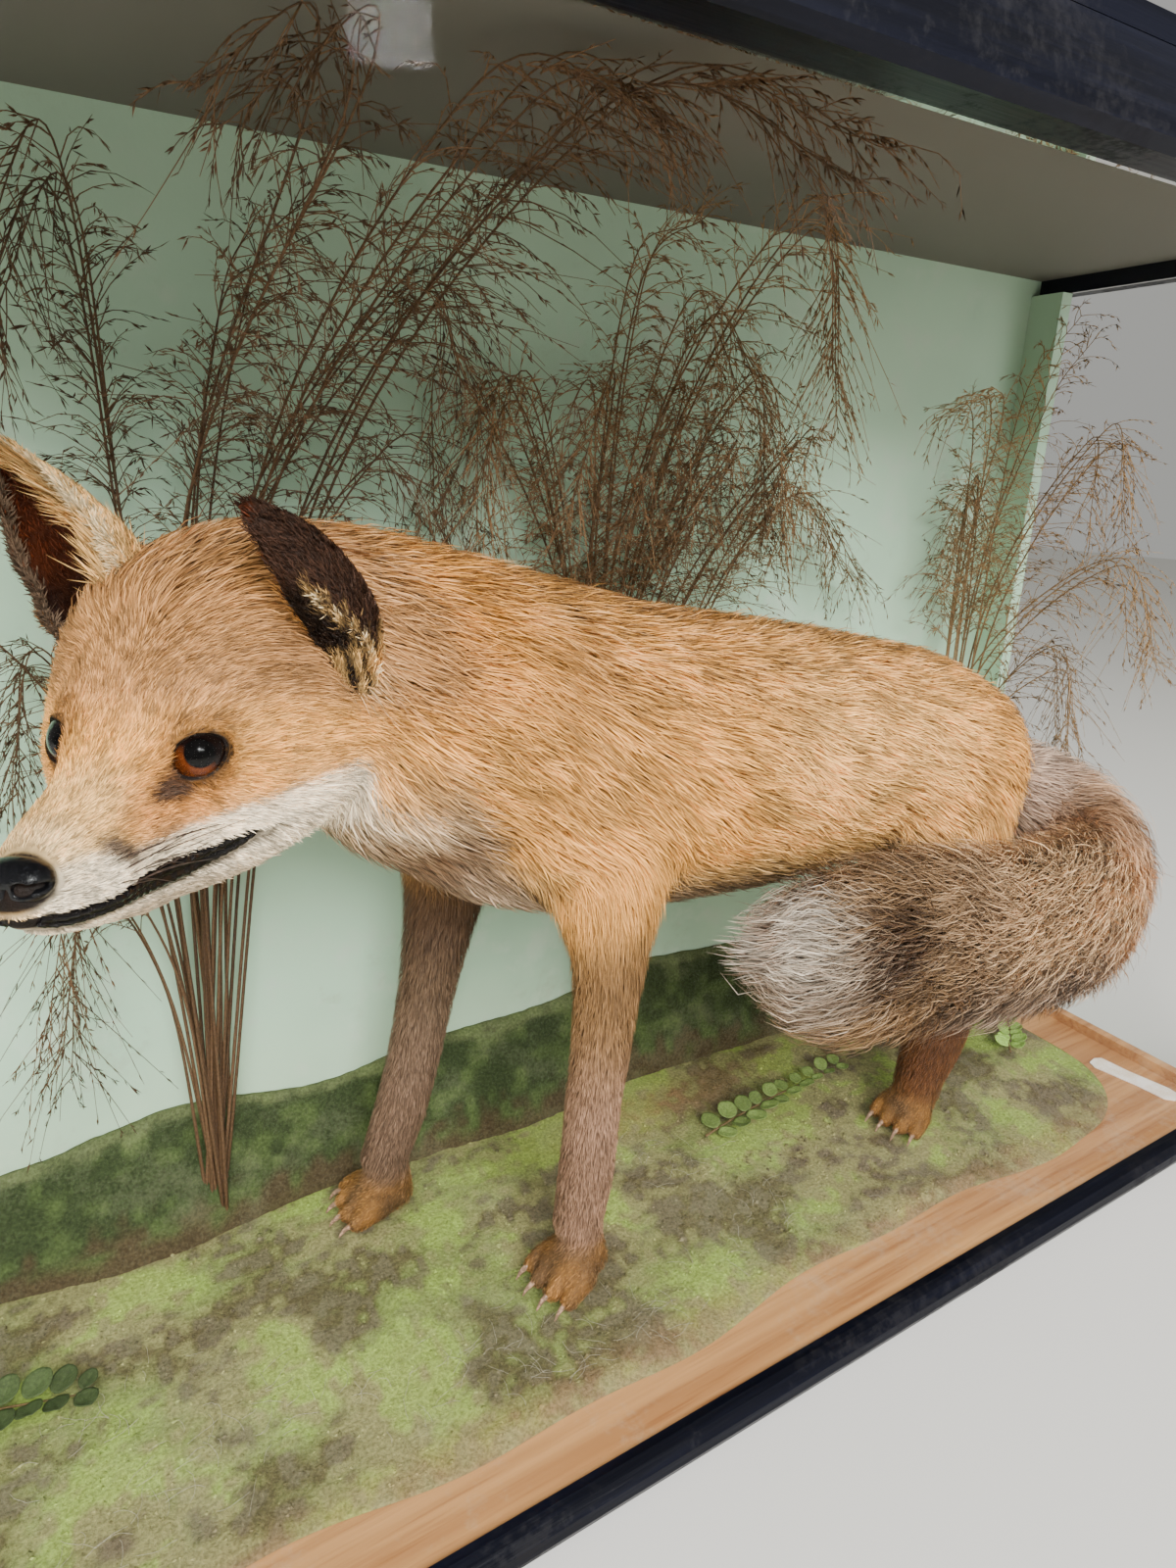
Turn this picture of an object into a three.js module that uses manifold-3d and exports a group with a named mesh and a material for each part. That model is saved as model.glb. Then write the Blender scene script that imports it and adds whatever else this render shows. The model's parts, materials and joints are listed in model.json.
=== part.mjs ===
// A mounted red fox in a glazed display case: the standing fox with its head turned to the front and its
// tail curled round its near hind leg, on a low bank of scatter and dried grass, behind glass on three sides.
// Millimetres, +Z up. X runs along the case, the fox faces -X, and the front glass faces -Y.
// The origin is at the middle of the case's underside.
import * as THREE from "three";
import { mergeVertices } from "three/addons/utils/BufferGeometryUtils.js";
import Module from "manifold-3d";

const wasm = await Module();
wasm.setup();

// ---------------------------------------------------------------------------------------------------------
// Driving dimensions
// ---------------------------------------------------------------------------------------------------------

const GAP = 0.3; // air left between pieces that touch

const CASE = {
  endGlass: 430, // inner face of each end glass, from the middle
  frontGlass: -134, // inner face of the front glass
  backFace: 133, // painted face of the back board
  back: 141, // outer face of the back board
  baseTop: 12,
  footHigh: 15,
  footDeep: 12.7,
  glassThick: 3,
  frontSight: 571, // lower edge of the front's top rail
  endSight: 591, // lower edge of each end's top rail
  railTop: 604,
  lidTop: 613,
  backPost: { wide: 9, from: 106 },
  oakBead: { wide: 8, high: 8 },
};

const GROUND = {
  top: 14, // level that the paws stand on
  left: -421,
  right: 384,
  front: -104,
  cornerRadius: 72,
  ripple: 3.2,
  pawClear: 42, // the scatter lies flat this close to a paw
};

const BANK = {
  toe: 95,
  heights: [64, 72, 83, 71, 79, 80, 93, 87, 78, 66, 58], // along the back board, evenly from end to end
};

const HEAD = {
  eyesMiddle: [-266.3, -52, 364.2], // point midway between the eyes
  forward: [-0.5318, -0.8429, 0.0817], // towards the nose
  left: [0.846, -0.5332, 0.0057], // the fox's own left, near the front glass
};

// ---------------------------------------------------------------------------------------------------------
// Materials
// ---------------------------------------------------------------------------------------------------------

const finish = (color, roughness, metalness = 0) =>
  new THREE.MeshStandardMaterial({ color, roughness, metalness });

const MATERIALS = {
  redCoat: finish(0xa9713f, 0.85),
  darkCoat: finish(0x5a4034, 0.85),
  tailCoat: finish(0x8c7a68, 0.9),
  paleCoat: finish(0xcdbfb0, 0.9),
  earBack: finish(0x2e2320, 0.9),
  eyeGlass: finish(0x6a2f12, 0.05),
  nosePad: finish(0x121214, 0.3),
  blackPaint: finish(0x15161c, 0.4),
  oak: finish(0xa9744a, 0.6),
  mintPaint: finish(0xb3d0bd, 0.7),
  glass: new THREE.MeshStandardMaterial({
    color: 0xe8f2ee,
    roughness: 0.03,
    transparent: true,
    opacity: 0.12,
  }),
  scatter: finish(0x6d7a35, 0.95),
  bank: finish(0x36502a, 0.95),
  straw: finish(0x8a6442, 0.85),
  leaf: finish(0x7a9a4a, 0.7),
  paper: finish(0xe6ddd3, 0.8),
};

// ---------------------------------------------------------------------------------------------------------
// Solids: lofts, blocks and the cuts between neighbours
// ---------------------------------------------------------------------------------------------------------

const X_AXIS = new THREE.Vector3(1, 0, 0);
const Z_AXIS = new THREE.Vector3(0, 0, 1);

/** Merges a geometry's shared corners and makes it a solid that faces out. */
function solidOf(geometry) {
  const bare = geometry.index ? geometry.toNonIndexed() : geometry.clone();
  bare.deleteAttribute("normal");
  bare.deleteAttribute("uv");
  const merged = mergeVertices(bare, 1e-4);
  const vertProperties = new Float32Array(merged.attributes.position.array);
  const triVerts = new Uint32Array(merged.index.array);
  const made = new wasm.Manifold(new wasm.Mesh({ numProp: 3, vertProperties, triVerts }));
  if (made.volume() > 0) return made;
  for (let i = 0; i < triVerts.length; i += 3) {
    [triVerts[i + 1], triVerts[i + 2]] = [triVerts[i + 2], triVerts[i + 1]];
  }
  return new wasm.Manifold(new wasm.Mesh({ numProp: 3, vertProperties, triVerts }));
}

/** The largest body of a solid, so that a cut leaves no loose scraps. */
function largest(solid) {
  return solid.decompose().reduce((a, b) => (a.volume() > b.volume() ? a : b));
}

/** A named mesh of a solid. */
function piece(name, material, solid) {
  const { numProp, numVert, vertProperties, triVerts } = largest(solid).getMesh();
  const positions = new Float32Array(numVert * 3);
  for (let i = 0; i < numVert; i++) {
    positions.set(vertProperties.subarray(i * numProp, i * numProp + 3), i * 3);
  }
  const geometry = new THREE.BufferGeometry();
  geometry.setAttribute("position", new THREE.BufferAttribute(positions, 3));
  geometry.setIndex(new THREE.BufferAttribute(new Uint32Array(triVerts), 1));
  geometry.computeVertexNormals();
  const mesh = new THREE.Mesh(geometry, material);
  mesh.name = name;
  return mesh;
}

/** Closes a stack of rings of points into one surface, with a point at each end. */
function skinOf(rings, first, last) {
  const sides = rings[0].length;
  const points = [...rings.flat(), first, last];
  const start = points.length - 2;
  const faces = [];
  for (let r = 0; r + 1 < rings.length; r++) {
    for (let s = 0; s < sides; s++) {
      const a = r * sides + s;
      const b = r * sides + ((s + 1) % sides);
      faces.push(a, b, a + sides, b, b + sides, a + sides);
    }
  }
  const end = (rings.length - 1) * sides;
  for (let s = 0; s < sides; s++) {
    const t = (s + 1) % sides;
    faces.push(start, t, s, start + 1, end + s, end + t);
  }
  const geometry = new THREE.BufferGeometry().setFromPoints(points);
  geometry.setIndex(faces);
  return solidOf(geometry);
}

/**
 * A body part lofted through stations. Each station is [x, y, z, across, along]: the centre and the two
 * half-widths, across being level and square to the line, and along square to both.
 * grow adds to each half-width, blunt is each end's dome as a share of its smaller half-width, and rounds is
 * how many rings shape each dome.
 */
function loft(stations, options) {
  const { sides = 14, steps = 2, grow = 0, blunt = [0.8, 0.8], rounds = 2, upright = Z_AXIS } = options;
  const line = new THREE.CatmullRomCurve3(
    stations.map(([x, y, z]) => new THREE.Vector3(x, y, z)),
    false,
    "centripetal",
  );
  const girth = new THREE.SplineCurve(stations.map(([, , , a, b]) => new THREE.Vector2(a, b)));
  const ring = (t, share, shift) => {
    const way = line.getTangent(t);
    const across = new THREE.Vector3().crossVectors(upright, way).normalize();
    const along = new THREE.Vector3().crossVectors(way, across);
    const { x: a, y: b } = girth.getPoint(t);
    const centre = line.getPoint(t).addScaledVector(way, shift * (Math.min(a, b) + grow));
    return Array.from({ length: sides }, (_, i) => {
      const turn = (2 * Math.PI * i) / sides;
      return centre
        .clone()
        .addScaledVector(across, (a + grow) * share * Math.cos(turn))
        .addScaledVector(along, (b + grow) * share * Math.sin(turn));
    });
  };
  const domeRing = (t, dome, lift) => ring(t, Math.cos(lift), (t ? 1 : -1) * dome * Math.sin(lift));
  const lifts = rounds > 1 ? [1.15, 0.65] : [0.9];
  const count = (stations.length - 1) * steps;
  const rings = [
    ...lifts.map((lift) => domeRing(0, blunt[0], lift)),
    ...Array.from({ length: count + 1 }, (_, i) => ring(i / count, 1, 0)),
    ...[...lifts].reverse().map((lift) => domeRing(1, blunt[1], lift)),
  ];
  const sumOf = (points) => points.reduce((sum, p) => sum.add(p), new THREE.Vector3());
  const middleOf = (points) => sumOf(points).divideScalar(points.length);
  const tip = (t, dome) => middleOf(ring(t, 0.01, (t ? 1 : -1) * dome));
  return skinOf(rings, tip(0, blunt[0]), tip(1, blunt[1]));
}

/** A block between two corners. */
function block([x0, y0, z0], [x1, y1, z1]) {
  const geometry = new THREE.BoxGeometry(x1 - x0, y1 - y0, z1 - z0);
  geometry.translate((x0 + x1) / 2, (y0 + y1) / 2, (z0 + z1) / 2);
  return solidOf(geometry);
}

/** An outline in the YZ plane run along X, from x0 to x1. */
function rail(outline, x0, x1) {
  const shape = new THREE.Shape(outline.map(([y, z]) => new THREE.Vector2(y, z)));
  const geometry = new THREE.ExtrudeGeometry(shape, { depth: x1 - x0, bevelEnabled: false });
  geometry.applyMatrix4(new THREE.Matrix4().set(0, 0, 1, x0, 1, 0, 0, 0, 0, 1, 0, 0, 0, 0, 0, 1));
  return solidOf(geometry);
}

/** What is left of a solid when its neighbours are cut from it. */
const without = (solid, ...neighbours) => neighbours.reduce((left, n) => left.subtract(n), solid);

/** Solids joined into one. */
const joined = (solids) => solids.reduce((all, solid) => all.add(solid));

// ---------------------------------------------------------------------------------------------------------
// The fox: trunk, neck, tail and legs as stations in the case's frame
// ---------------------------------------------------------------------------------------------------------

// From breast to rump: centre, half-width and half-height.
const TRUNK = [
  [-150, 14, 322, 44, 52],
  [-115, 17, 322, 58, 72],
  [-70, 19, 311, 66, 84],
  [0, 20, 300, 66, 86],
  [75, 19, 292, 63, 83],
  [140, 16, 288, 60, 75],
  [195, 12, 284, 60, 66],
  [242, 8, 272, 54, 56],
];

// From the shoulders to the back of the skull.
const NECK = [
  [-66, 18, 320, 50, 66],
  [-105, 16, 335, 54, 71],
  [-145, 14, 353, 55, 70],
  [-185, 12, 367, 55, 66],
  [-218, 8, 376, 54, 58],
  [-246, 0, 376, 46, 46],
];

// From the rump, out behind the thigh and round to the front.
const TAIL = [
  [262, 12, 262, 24, 26],
  [305, 4, 246, 34, 38],
  [334, -24, 218, 38, 50],
  [318, -62, 194, 40, 60],
  [262, -84, 188, 38, 62],
  [196, -88, 192, 37, 60],
  [128, -87, 204, 37, 59],
  [66, -86, 211, 36, 57],
  [32, -85, 221, 22, 32],
  [18, -84, 224, 9, 14],
];

// Where the tail is parted into its three lengths.
const TAIL_CUTS = { rootY: -20, tipX: 110 };

// Each leg runs from inside the trunk down to the paw: centre, half-width and half-depth.
// A paw has its heel, its toes and its half-width.
const LEGS = {
  front_left: {
    stations: [
      [-58, -22, 300, 22, 44],
      [-60, -34, 250, 24, 36],
      [-61, -37, 215, 20, 25],
      [-64, -37, 170, 17, 20],
      [-68, -36, 125, 16, 18],
      [-71, -36, 85, 17, 18],
      [-76, -36, 52, 18, 18],
    ],
    heel: [-70, -36],
    toe: [-104, -42],
    wide: 21,
  },
  front_right: {
    stations: [
      [-98, 52, 300, 22, 42],
      [-106, 60, 250, 23, 32],
      [-112, 64, 212, 19, 24],
      [-121, 66, 166, 16, 19],
      [-132, 66, 118, 15, 17],
      [-143, 66, 80, 16, 17],
      [-154, 67, 50, 17, 18],
    ],
    heel: [-148, 66],
    toe: [-184, 70],
    wide: 20,
  },
  hind_left: {
    stations: [
      [222, -14, 275, 26, 54],
      [212, -26, 222, 28, 50],
      [212, -30, 172, 23, 36],
      [226, -33, 132, 18, 27],
      [226, -34, 102, 18, 25],
      [215, -34, 72, 19, 24],
      [204, -35, 46, 19, 21],
    ],
    heel: [208, -34],
    toe: [174, -40],
    wide: 20,
  },
  hind_right: {
    stations: [
      [232, 34, 275, 24, 50],
      [238, 46, 222, 25, 42],
      [258, 52, 172, 20, 30],
      [292, 54, 132, 16, 22],
      [304, 55, 104, 16, 20],
      [300, 55, 72, 17, 20],
      [292, 56, 46, 18, 19],
    ],
    heel: [294, 56],
    toe: [259, 60],
    wide: 20,
  },
};

// Rows of a paw's shapes: the place along it, the place or share across it, how far below its top, and the
// half-width and half-depth. The pad's places and half-widths are shares of the paw's reach and half-width.
const PAW = {
  high: 19,
  toes: [-0.72, -0.26, 0.26, 0.72], // each toe's place across the paw
  toeReach: { middle: 0.93, setBack: 0.22 },
  pad: [
    [-0.12, 0, -4, 0.86, 26],
    [0.35, 0, 3, 1, 19],
    [0.62, 0, 6, 0.98, 15],
  ],
  toe: [
    [-16, 0.9, 7, 6.4, 9],
    [0, 1.04, 11.5, 5.6, 6.4],
  ],
  claw: [
    [2, 1.05, 9, 2.2, 2.7],
    [7, 1.09, 12, 1.6, 2],
    [11, 1.12, 15.6, 0.8, 1],
  ],
};

/** A leg's outline with the fur on it. */
const legForm = ({ stations }, grow) =>
  loft(stations, { sides: 10, steps: 1, grow, upright: X_AXIS, blunt: [0.6, 0.5] });

/** A paw with its toes and claws, flat underneath. */
function paw({ heel, toe, wide }) {
  const way = new THREE.Vector2(toe[0] - heel[0], toe[1] - heel[1]);
  const reach = way.length();
  way.normalize();
  const spot = (on, off, drop) => [
    heel[0] + way.x * on - way.y * off,
    heel[1] + way.y * on + way.x * off,
    GROUND.top + PAW.high - drop,
  ];
  const padRows = PAW.pad.map(([on, off, drop, a, b]) => [...spot(on * reach, off, drop), a * wide, b]);
  const toes = PAW.toes.map((place) => {
    const { middle, setBack } = PAW.toeReach;
    const end = reach * (middle - setBack * Math.abs(place));
    const rowsOf = (shape) =>
      shape.map(([on, off, drop, a, b]) => [...spot(end + on, place * wide * off, drop), a, b]);
    const ball = loft(rowsOf(PAW.toe), { sides: 6, steps: 1, rounds: 1 });
    return ball.add(loft(rowsOf(PAW.claw), { sides: 4, steps: 1, rounds: 1 }));
  });
  const pad = loft(padRows, { sides: 8, steps: 1, rounds: 1, blunt: [0.7, 0.6] });
  const room = 200;
  const above = block([heel[0] - room, heel[1] - room, GROUND.top], [heel[0] + room, heel[1] + room, room]);
  return joined([pad, ...toes]).intersect(above);
}

// ---------------------------------------------------------------------------------------------------------
// The head, in its own frame: x towards the nose, y to the fox's left, z up, from midway between the eyes
// ---------------------------------------------------------------------------------------------------------

const forward = new THREE.Vector3(...HEAD.forward).normalize();
const sideways = new THREE.Vector3(...HEAD.left);
const leftward = sideways.addScaledVector(forward, -forward.dot(sideways)).normalize();
const upward = new THREE.Vector3().crossVectors(forward, leftward);
const headPlace = new THREE.Matrix4().makeBasis(forward, leftward, upward).setPosition(...HEAD.eyesMiddle);
const inHead = (x, y, z) => new THREE.Vector3(x, y, z).applyMatrix4(headPlace);

// Sections from the back of the cheeks to the muzzle's end: x, top, underside, half-width, height of the
// widest place, and how square the section is (2 is an ellipse).
const HEAD_SECTIONS = [
  [-104, 56, -40, 34, -2, 2.0],
  [-92, 62, -52, 52, -6, 2.0],
  [-72, 58, -58, 62, -12, 2.0],
  [-50, 52, -62, 61, -16, 2.0],
  [-28, 44, -63, 51, -18, 2.1],
  [-10, 34, -62, 39, -16, 2.2],
  [4, 22, -60, 29.5, -16, 2.2],
  [18, 8, -59, 23, -24, 2.2],
  [34, -3, -55, 18.5, -30, 2.2],
  [50, -10, -51, 16, -32, 2.2],
  [63, -16, -47, 13, -32, 2.2],
  [70, -21, -43, 9.6, -32, 2.1],
];

const EYE = { radius: 11, look: [0.8, 0.58, 0.1], socket: { ahead: 9, radius: 13 } };
const EYES = { left: { at: [2.6, 20.8, -5.6], side: 1 }, right: { at: [1.6, -18, -1.8], side: -1 } };
const NOSE = { at: [71.5, 0, -28], size: [8, 10, 8.5] };

// The mouth's line runs from under the nose to its corner, and the lower jaw ends in the chin.
const MOUTH = { front: [66, -43], corner: [-8, -36], chin: 60 };

// Each ear's line runs from inside the head to its tip, with its half-width and depth along the line as
// shares of its width. Its hollow faces the opening.
const EARS = {
  left: {
    line: [
      [-66, 56, 10],
      [-57, 54, 36],
      [-38, 45, 57],
      [-16, 36.5, 74],
    ],
    taper: [
      [0.66, 0.5],
      [0.78, 0.6],
      [0.7, 0.56],
      [0.24, 0.2],
    ],
    opening: [0.14, -0.82, -0.56],
    wide: 25,
  },
  right: {
    line: [
      [-66, -36, 22],
      [-60, -45, 46],
      [-55, -58.5, 72],
      [-51, -71, 98],
    ],
    taper: [
      [0.7, 0.5],
      [0.95, 0.6],
      [0.76, 0.44],
      [0.16, 0.12],
    ],
    opening: [0.85, -0.42, -0.3],
    wide: 33,
  },
};
const EAR_THICK = 2.6;

/** The head's outline with the fur on it, closed at both ends. */
function headForm(grow) {
  const columns = HEAD_SECTIONS[0].map(
    (_, c) => new THREE.SplineCurve(HEAD_SECTIONS.map((section, i) => new THREE.Vector2(i, section[c]))),
  );
  const count = (HEAD_SECTIONS.length - 1) * 2;
  const sides = 16;
  const rings = Array.from({ length: count + 1 }, (_, i) => {
    const [x, top, low, wide, middle, square] = columns.map((column) => column.getPoint(i / count).y);
    const bend = 2 / square;
    return Array.from({ length: sides }, (_, s) => {
      const turn = (2 * Math.PI * s) / sides;
      const [c, n] = [Math.cos(turn), Math.sin(turn)];
      const reach = (n > 0 ? top - middle : middle - low) + grow;
      return inHead(
        x,
        (wide + grow) * Math.sign(c) * Math.abs(c) ** bend,
        middle + reach * Math.sign(n) * Math.abs(n) ** bend,
      );
    });
  });
  const [backX, backTop, backLow] = HEAD_SECTIONS[0];
  const [frontX, frontTop, frontLow] = HEAD_SECTIONS.at(-1);
  return skinOf(
    rings,
    inHead(backX - 8 - grow, 0, (backTop + backLow) / 2),
    inHead(frontX + 3 + grow, 0, (frontTop + frontLow) / 2),
  );
}

/** A ball at a place in the head's frame, stretched along the head's axes. */
function headBall([x, y, z], [a, b, c], rows = 6) {
  const geometry = new THREE.SphereGeometry(1, rows * 2, rows);
  geometry.scale(a, b, c);
  geometry.translate(x, y, z);
  geometry.applyMatrix4(headPlace);
  return solidOf(geometry);
}

/** An eyeball. */
const eyeball = ({ at }, grow) => headBall(at, Array(3).fill(EYE.radius + grow));

/** The hollow between the lids in front of an eye. */
function eyeSocket({ at, side }) {
  const [x, y, z] = EYE.look;
  const look = new THREE.Vector3(x, side * y, z).normalize().multiplyScalar(EYE.socket.ahead);
  return headBall([at[0] + look.x, at[1] + look.y, at[2] + look.z], Array(3).fill(EYE.socket.radius), 5);
}

/** The space of the lower jaw: what is under the mouth's line. */
function underMouth(grow) {
  const { front, corner, chin } = MOUTH;
  const slope = (front[1] - corner[1]) / (front[0] - corner[0]);
  const [long, wide, deep] = [chin - corner[0] + 40 + grow, 140, 60];
  const geometry = new THREE.BoxGeometry(long, wide, deep);
  geometry.translate(corner[0] - grow + long / 2, 0, -deep / 2);
  geometry.applyMatrix4(new THREE.Matrix4().makeShear(0, slope, 0, 0, 0, 0));
  geometry.translate(0, 0, corner[1] - slope * corner[0] + grow);
  geometry.applyMatrix4(headPlace);
  return solidOf(geometry);
}

/** A cupped ear: a tapering cone hollowed towards its opening. */
function ear({ line, taper, opening, wide }) {
  const open = new THREE.Vector3(...opening).normalize();
  const upright = open.clone().transformDirection(headPlace);
  const cone = (thin, shift) => {
    const stations = line.map(([x, y, z], i) => {
      const [a, b] = taper[i].map((share) => share * wide);
      const at = new THREE.Vector3(x, y, z).addScaledVector(open, b * shift).applyMatrix4(headPlace);
      return [...at.toArray(), Math.max(a - thin, 0.9), Math.max(b - thin, 0.9)];
    });
    return loft(stations, { sides: 10, upright, rounds: 1, blunt: [0.3, 0.5] });
  };
  return cone(0, 0).subtract(cone(EAR_THICK, 0.62));
}

// ---------------------------------------------------------------------------------------------------------
// The ground, the dried grasses and the leaf sprigs
// ---------------------------------------------------------------------------------------------------------

/** A closed sheet over a grid: low and high give each surface's point for u and v from 0 to 1. */
function sheetOf(columns, rows, low, high) {
  const points = [];
  for (const side of [low, high]) {
    for (let i = 0; i <= columns; i++) {
      for (let j = 0; j <= rows; j++) points.push(new THREE.Vector3(...side(i / columns, j / rows)));
    }
  }
  const half = points.length / 2;
  const at = (i, j) => i * (rows + 1) + j;
  const faces = [];
  const four = (a, b, c, d) => faces.push(a, b, c, a, c, d);
  for (let i = 0; i < columns; i++) {
    for (let j = 0; j < rows; j++) {
      four(at(i, j), at(i, j + 1), at(i + 1, j + 1), at(i + 1, j));
      four(half + at(i, j), half + at(i + 1, j), half + at(i + 1, j + 1), half + at(i, j + 1));
    }
    four(at(i, 0), at(i + 1, 0), half + at(i + 1, 0), half + at(i, 0));
    four(at(i + 1, rows), at(i, rows), half + at(i, rows), half + at(i + 1, rows));
  }
  for (let j = 0; j < rows; j++) {
    four(at(0, j + 1), at(0, j), half + at(0, j), half + at(0, j + 1));
    four(at(columns, j), at(columns, j + 1), half + at(columns, j + 1), half + at(columns, j));
  }
  const geometry = new THREE.BufferGeometry().setFromPoints(points);
  geometry.setIndex(faces);
  return solidOf(geometry);
}

/** The front edge of the scatter at x, rounded off at its right end. */
function groundFront(x) {
  const bend = GROUND.right - GROUND.cornerRadius;
  const wave = 5 * Math.sin(x / 61) + 2.5 * Math.sin(x / 23);
  if (x < bend) return GROUND.front + wave;
  const across = Math.min((x - bend) / GROUND.cornerRadius, 1);
  return GROUND.front + wave + GROUND.cornerRadius * (1 - Math.sqrt(1 - across * across));
}

/** The level of the scatter at a place: flat under the paws, gently uneven elsewhere. */
function groundLevel(x, y) {
  const awayFrom = ({ heel, toe }) => Math.hypot(x - (heel[0] + toe[0]) / 2, y - (heel[1] + toe[1]) / 2);
  const nearest = Math.min(...Object.values(LEGS).map(awayFrom));
  const away = THREE.MathUtils.smoothstep(nearest, GROUND.pawClear, GROUND.pawClear + 30);
  const wave = Math.max(Math.sin(x / 41 + 1) * Math.sin(y / 27 + 2), 0);
  return GROUND.top - GAP + GROUND.ripple * wave * away;
}

/** The scatter that the fox stands on. */
function groundwork() {
  const bottom = CASE.baseTop + GAP;
  const place = (u, v) => {
    const x = THREE.MathUtils.lerp(GROUND.left, GROUND.right, u);
    return [x, THREE.MathUtils.lerp(groundFront(x), CASE.backFace - GAP, v)];
  };
  const high = (u, v) => {
    const [x, y] = place(u, v);
    return [x, y, v === 0 || u === 1 ? bottom + 0.8 : groundLevel(x, y)];
  };
  return sheetOf(22, 6, (u, v) => [...place(u, v), bottom], high);
}

/** The bank along the back board, raised by grow. */
function bank(grow) {
  const { toe, heights } = BANK;
  const crest = new THREE.SplineCurve(heights.map((h, i) => new THREE.Vector2(i, h)));
  const bottom = GROUND.top + GROUND.ripple + GAP;
  const place = (u, v) => {
    const x = THREE.MathUtils.lerp(GROUND.left - grow, GROUND.right + 16 + grow, u);
    return [x, THREE.MathUtils.lerp(toe + 5 * Math.sin(x / 37) - grow, CASE.backFace - GAP, v)];
  };
  const high = (u, v) => {
    const rise = crest.getPoint(u).y - bottom;
    return [...place(u, v), bottom + 1 + grow + (rise - 1) * Math.sin((v * Math.PI) / 2) ** 1.2];
  };
  return sheetOf(16, 4, (u, v) => [...place(u, v), bottom - grow], high);
}

// Each bunch of dried grass: its foot, and for each plume the top of its arch and its drooping tip.
const GRASSES = {
  left: {
    foot: [-244, 106],
    plumes: [
      [[-169, -43, 580], [-201, -30, 568]],
      [[-115, -33, 582], [-60, -56, 578]],
      [[-91, -49, 575], [-3, -105, 556]],
      [[-115, 60, 528], [-90, 60, 490]],
      [[-121, 90, 465], [-83, 80, 422]],
      [[-254, 80, 555], [-290, 60, 500]],
      [[-290, 98, 370], [-312, 98, 300]],
      [[-285, 95, 250], [-312, 84, 161]],
      [[-187, 90, 525], [-163, 60, 564]],
    ],
  },
  middle: {
    foot: [22, 112],
    plumes: [
      [[-64, 95, 496], [-76, 90, 410]],
      [[4, 70, 546], [24, 50, 575]],
      [[49, 60, 531], [88, 50, 492]],
      [[96, 80, 500], [122, 80, 407]],
      [[83, 20, 582], [141, 44, 490]],
      [[150, 90, 440], [225, 90, 384]],
    ],
  },
  right: {
    foot: [372, 104],
    plumes: [
      [[345, 98, 450], [322, 95, 373]],
      [[395, 88, 500], [408, 60, 560]],
      [[412, 40, 480], [414, 19, 420]],
      [[412, 20, 400], [415, -24, 330]],
      [[408, 50, 330], [405, 22, 250]],
      [[330, 84, 500], [290, 86, 498]],
    ],
  },
};

const STEM = { radius: 1.5, plume: 8, footRadius: 9, footHigh: 26 };

/** A bunch of stems that spring from one foot and end in drooping plumes. */
function grassBunch({ foot: [x, y], plumes }) {
  const low = GROUND.top;
  const stems = plumes.map(([crest, tip], i) => {
    const spread = 0.25 + 0.1 * (i % 3);
    const [cx, , cz] = crest;
    const shoulder = [x + (cx - x) * spread, y + 2, low + (cz - low) * 0.68];
    const { radius, plume } = STEM;
    const stations = [
      [x, y, low, radius, radius],
      [...shoulder, radius, radius],
      [...crest, plume * 0.7, plume * 0.7],
      [...crest.map((c, axis) => (c + 2 * tip[axis]) / 3), plume, plume],
      [...tip, 1.2, 1.2],
    ];
    return loft(stations, { sides: 4, steps: 1, rounds: 1, upright: new THREE.Vector3(0.6, 0.8, 0.02) });
  });
  const { footRadius, footHigh } = STEM;
  const binding = loft(
    [
      [x, y, low, footRadius, footRadius],
      [x, y, low + footHigh * 2.4, footRadius, footRadius],
      [x, y, low + footHigh * 3.4, footRadius * 0.7, footRadius * 0.7],
    ],
    { sides: 6, steps: 1, rounds: 1, upright: X_AXIS },
  );
  return joined([binding, ...stems]);
}

// Each sprig of leaves lies along a line, with its leaves in pairs.
const SPRIGS = {
  left: { from: [-392, 30], to: [-322, 14], pairs: 6, leaf: 10 },
  middle: { from: [58, 17], to: [196, 30], pairs: 10, leaf: 9 },
  right: { from: [334, -22], to: [368, 6], pairs: 6, leaf: 8 },
};

/** A flat leaf: a four-cornered rim with a point above and below its middle. */
function leaf(at, along, long, wide, thick) {
  const side = new THREE.Vector3(-along.y, along.x, 0).normalize();
  const corners = 4;
  const rim = Array.from({ length: corners }, (_, i) => {
    const turn = (i * 2 * Math.PI) / corners;
    return at
      .clone()
      .addScaledVector(along, (long / 2) * (Math.cos(turn) + 0.9))
      .addScaledVector(side, (wide / 2) * Math.sin(turn));
  });
  const middle = at.clone().addScaledVector(along, long * 0.45);
  const lift = new THREE.Vector3(0, 0, thick);
  const points = [...rim, middle.clone().add(lift), middle.clone().sub(lift)];
  const geometry = new THREE.BufferGeometry().setFromPoints(points);
  geometry.setIndex(
    rim.flatMap((_, i) => [i, (i + 1) % corners, corners, (i + 1) % corners, i, corners + 1]),
  );
  return solidOf(geometry);
}

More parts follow.
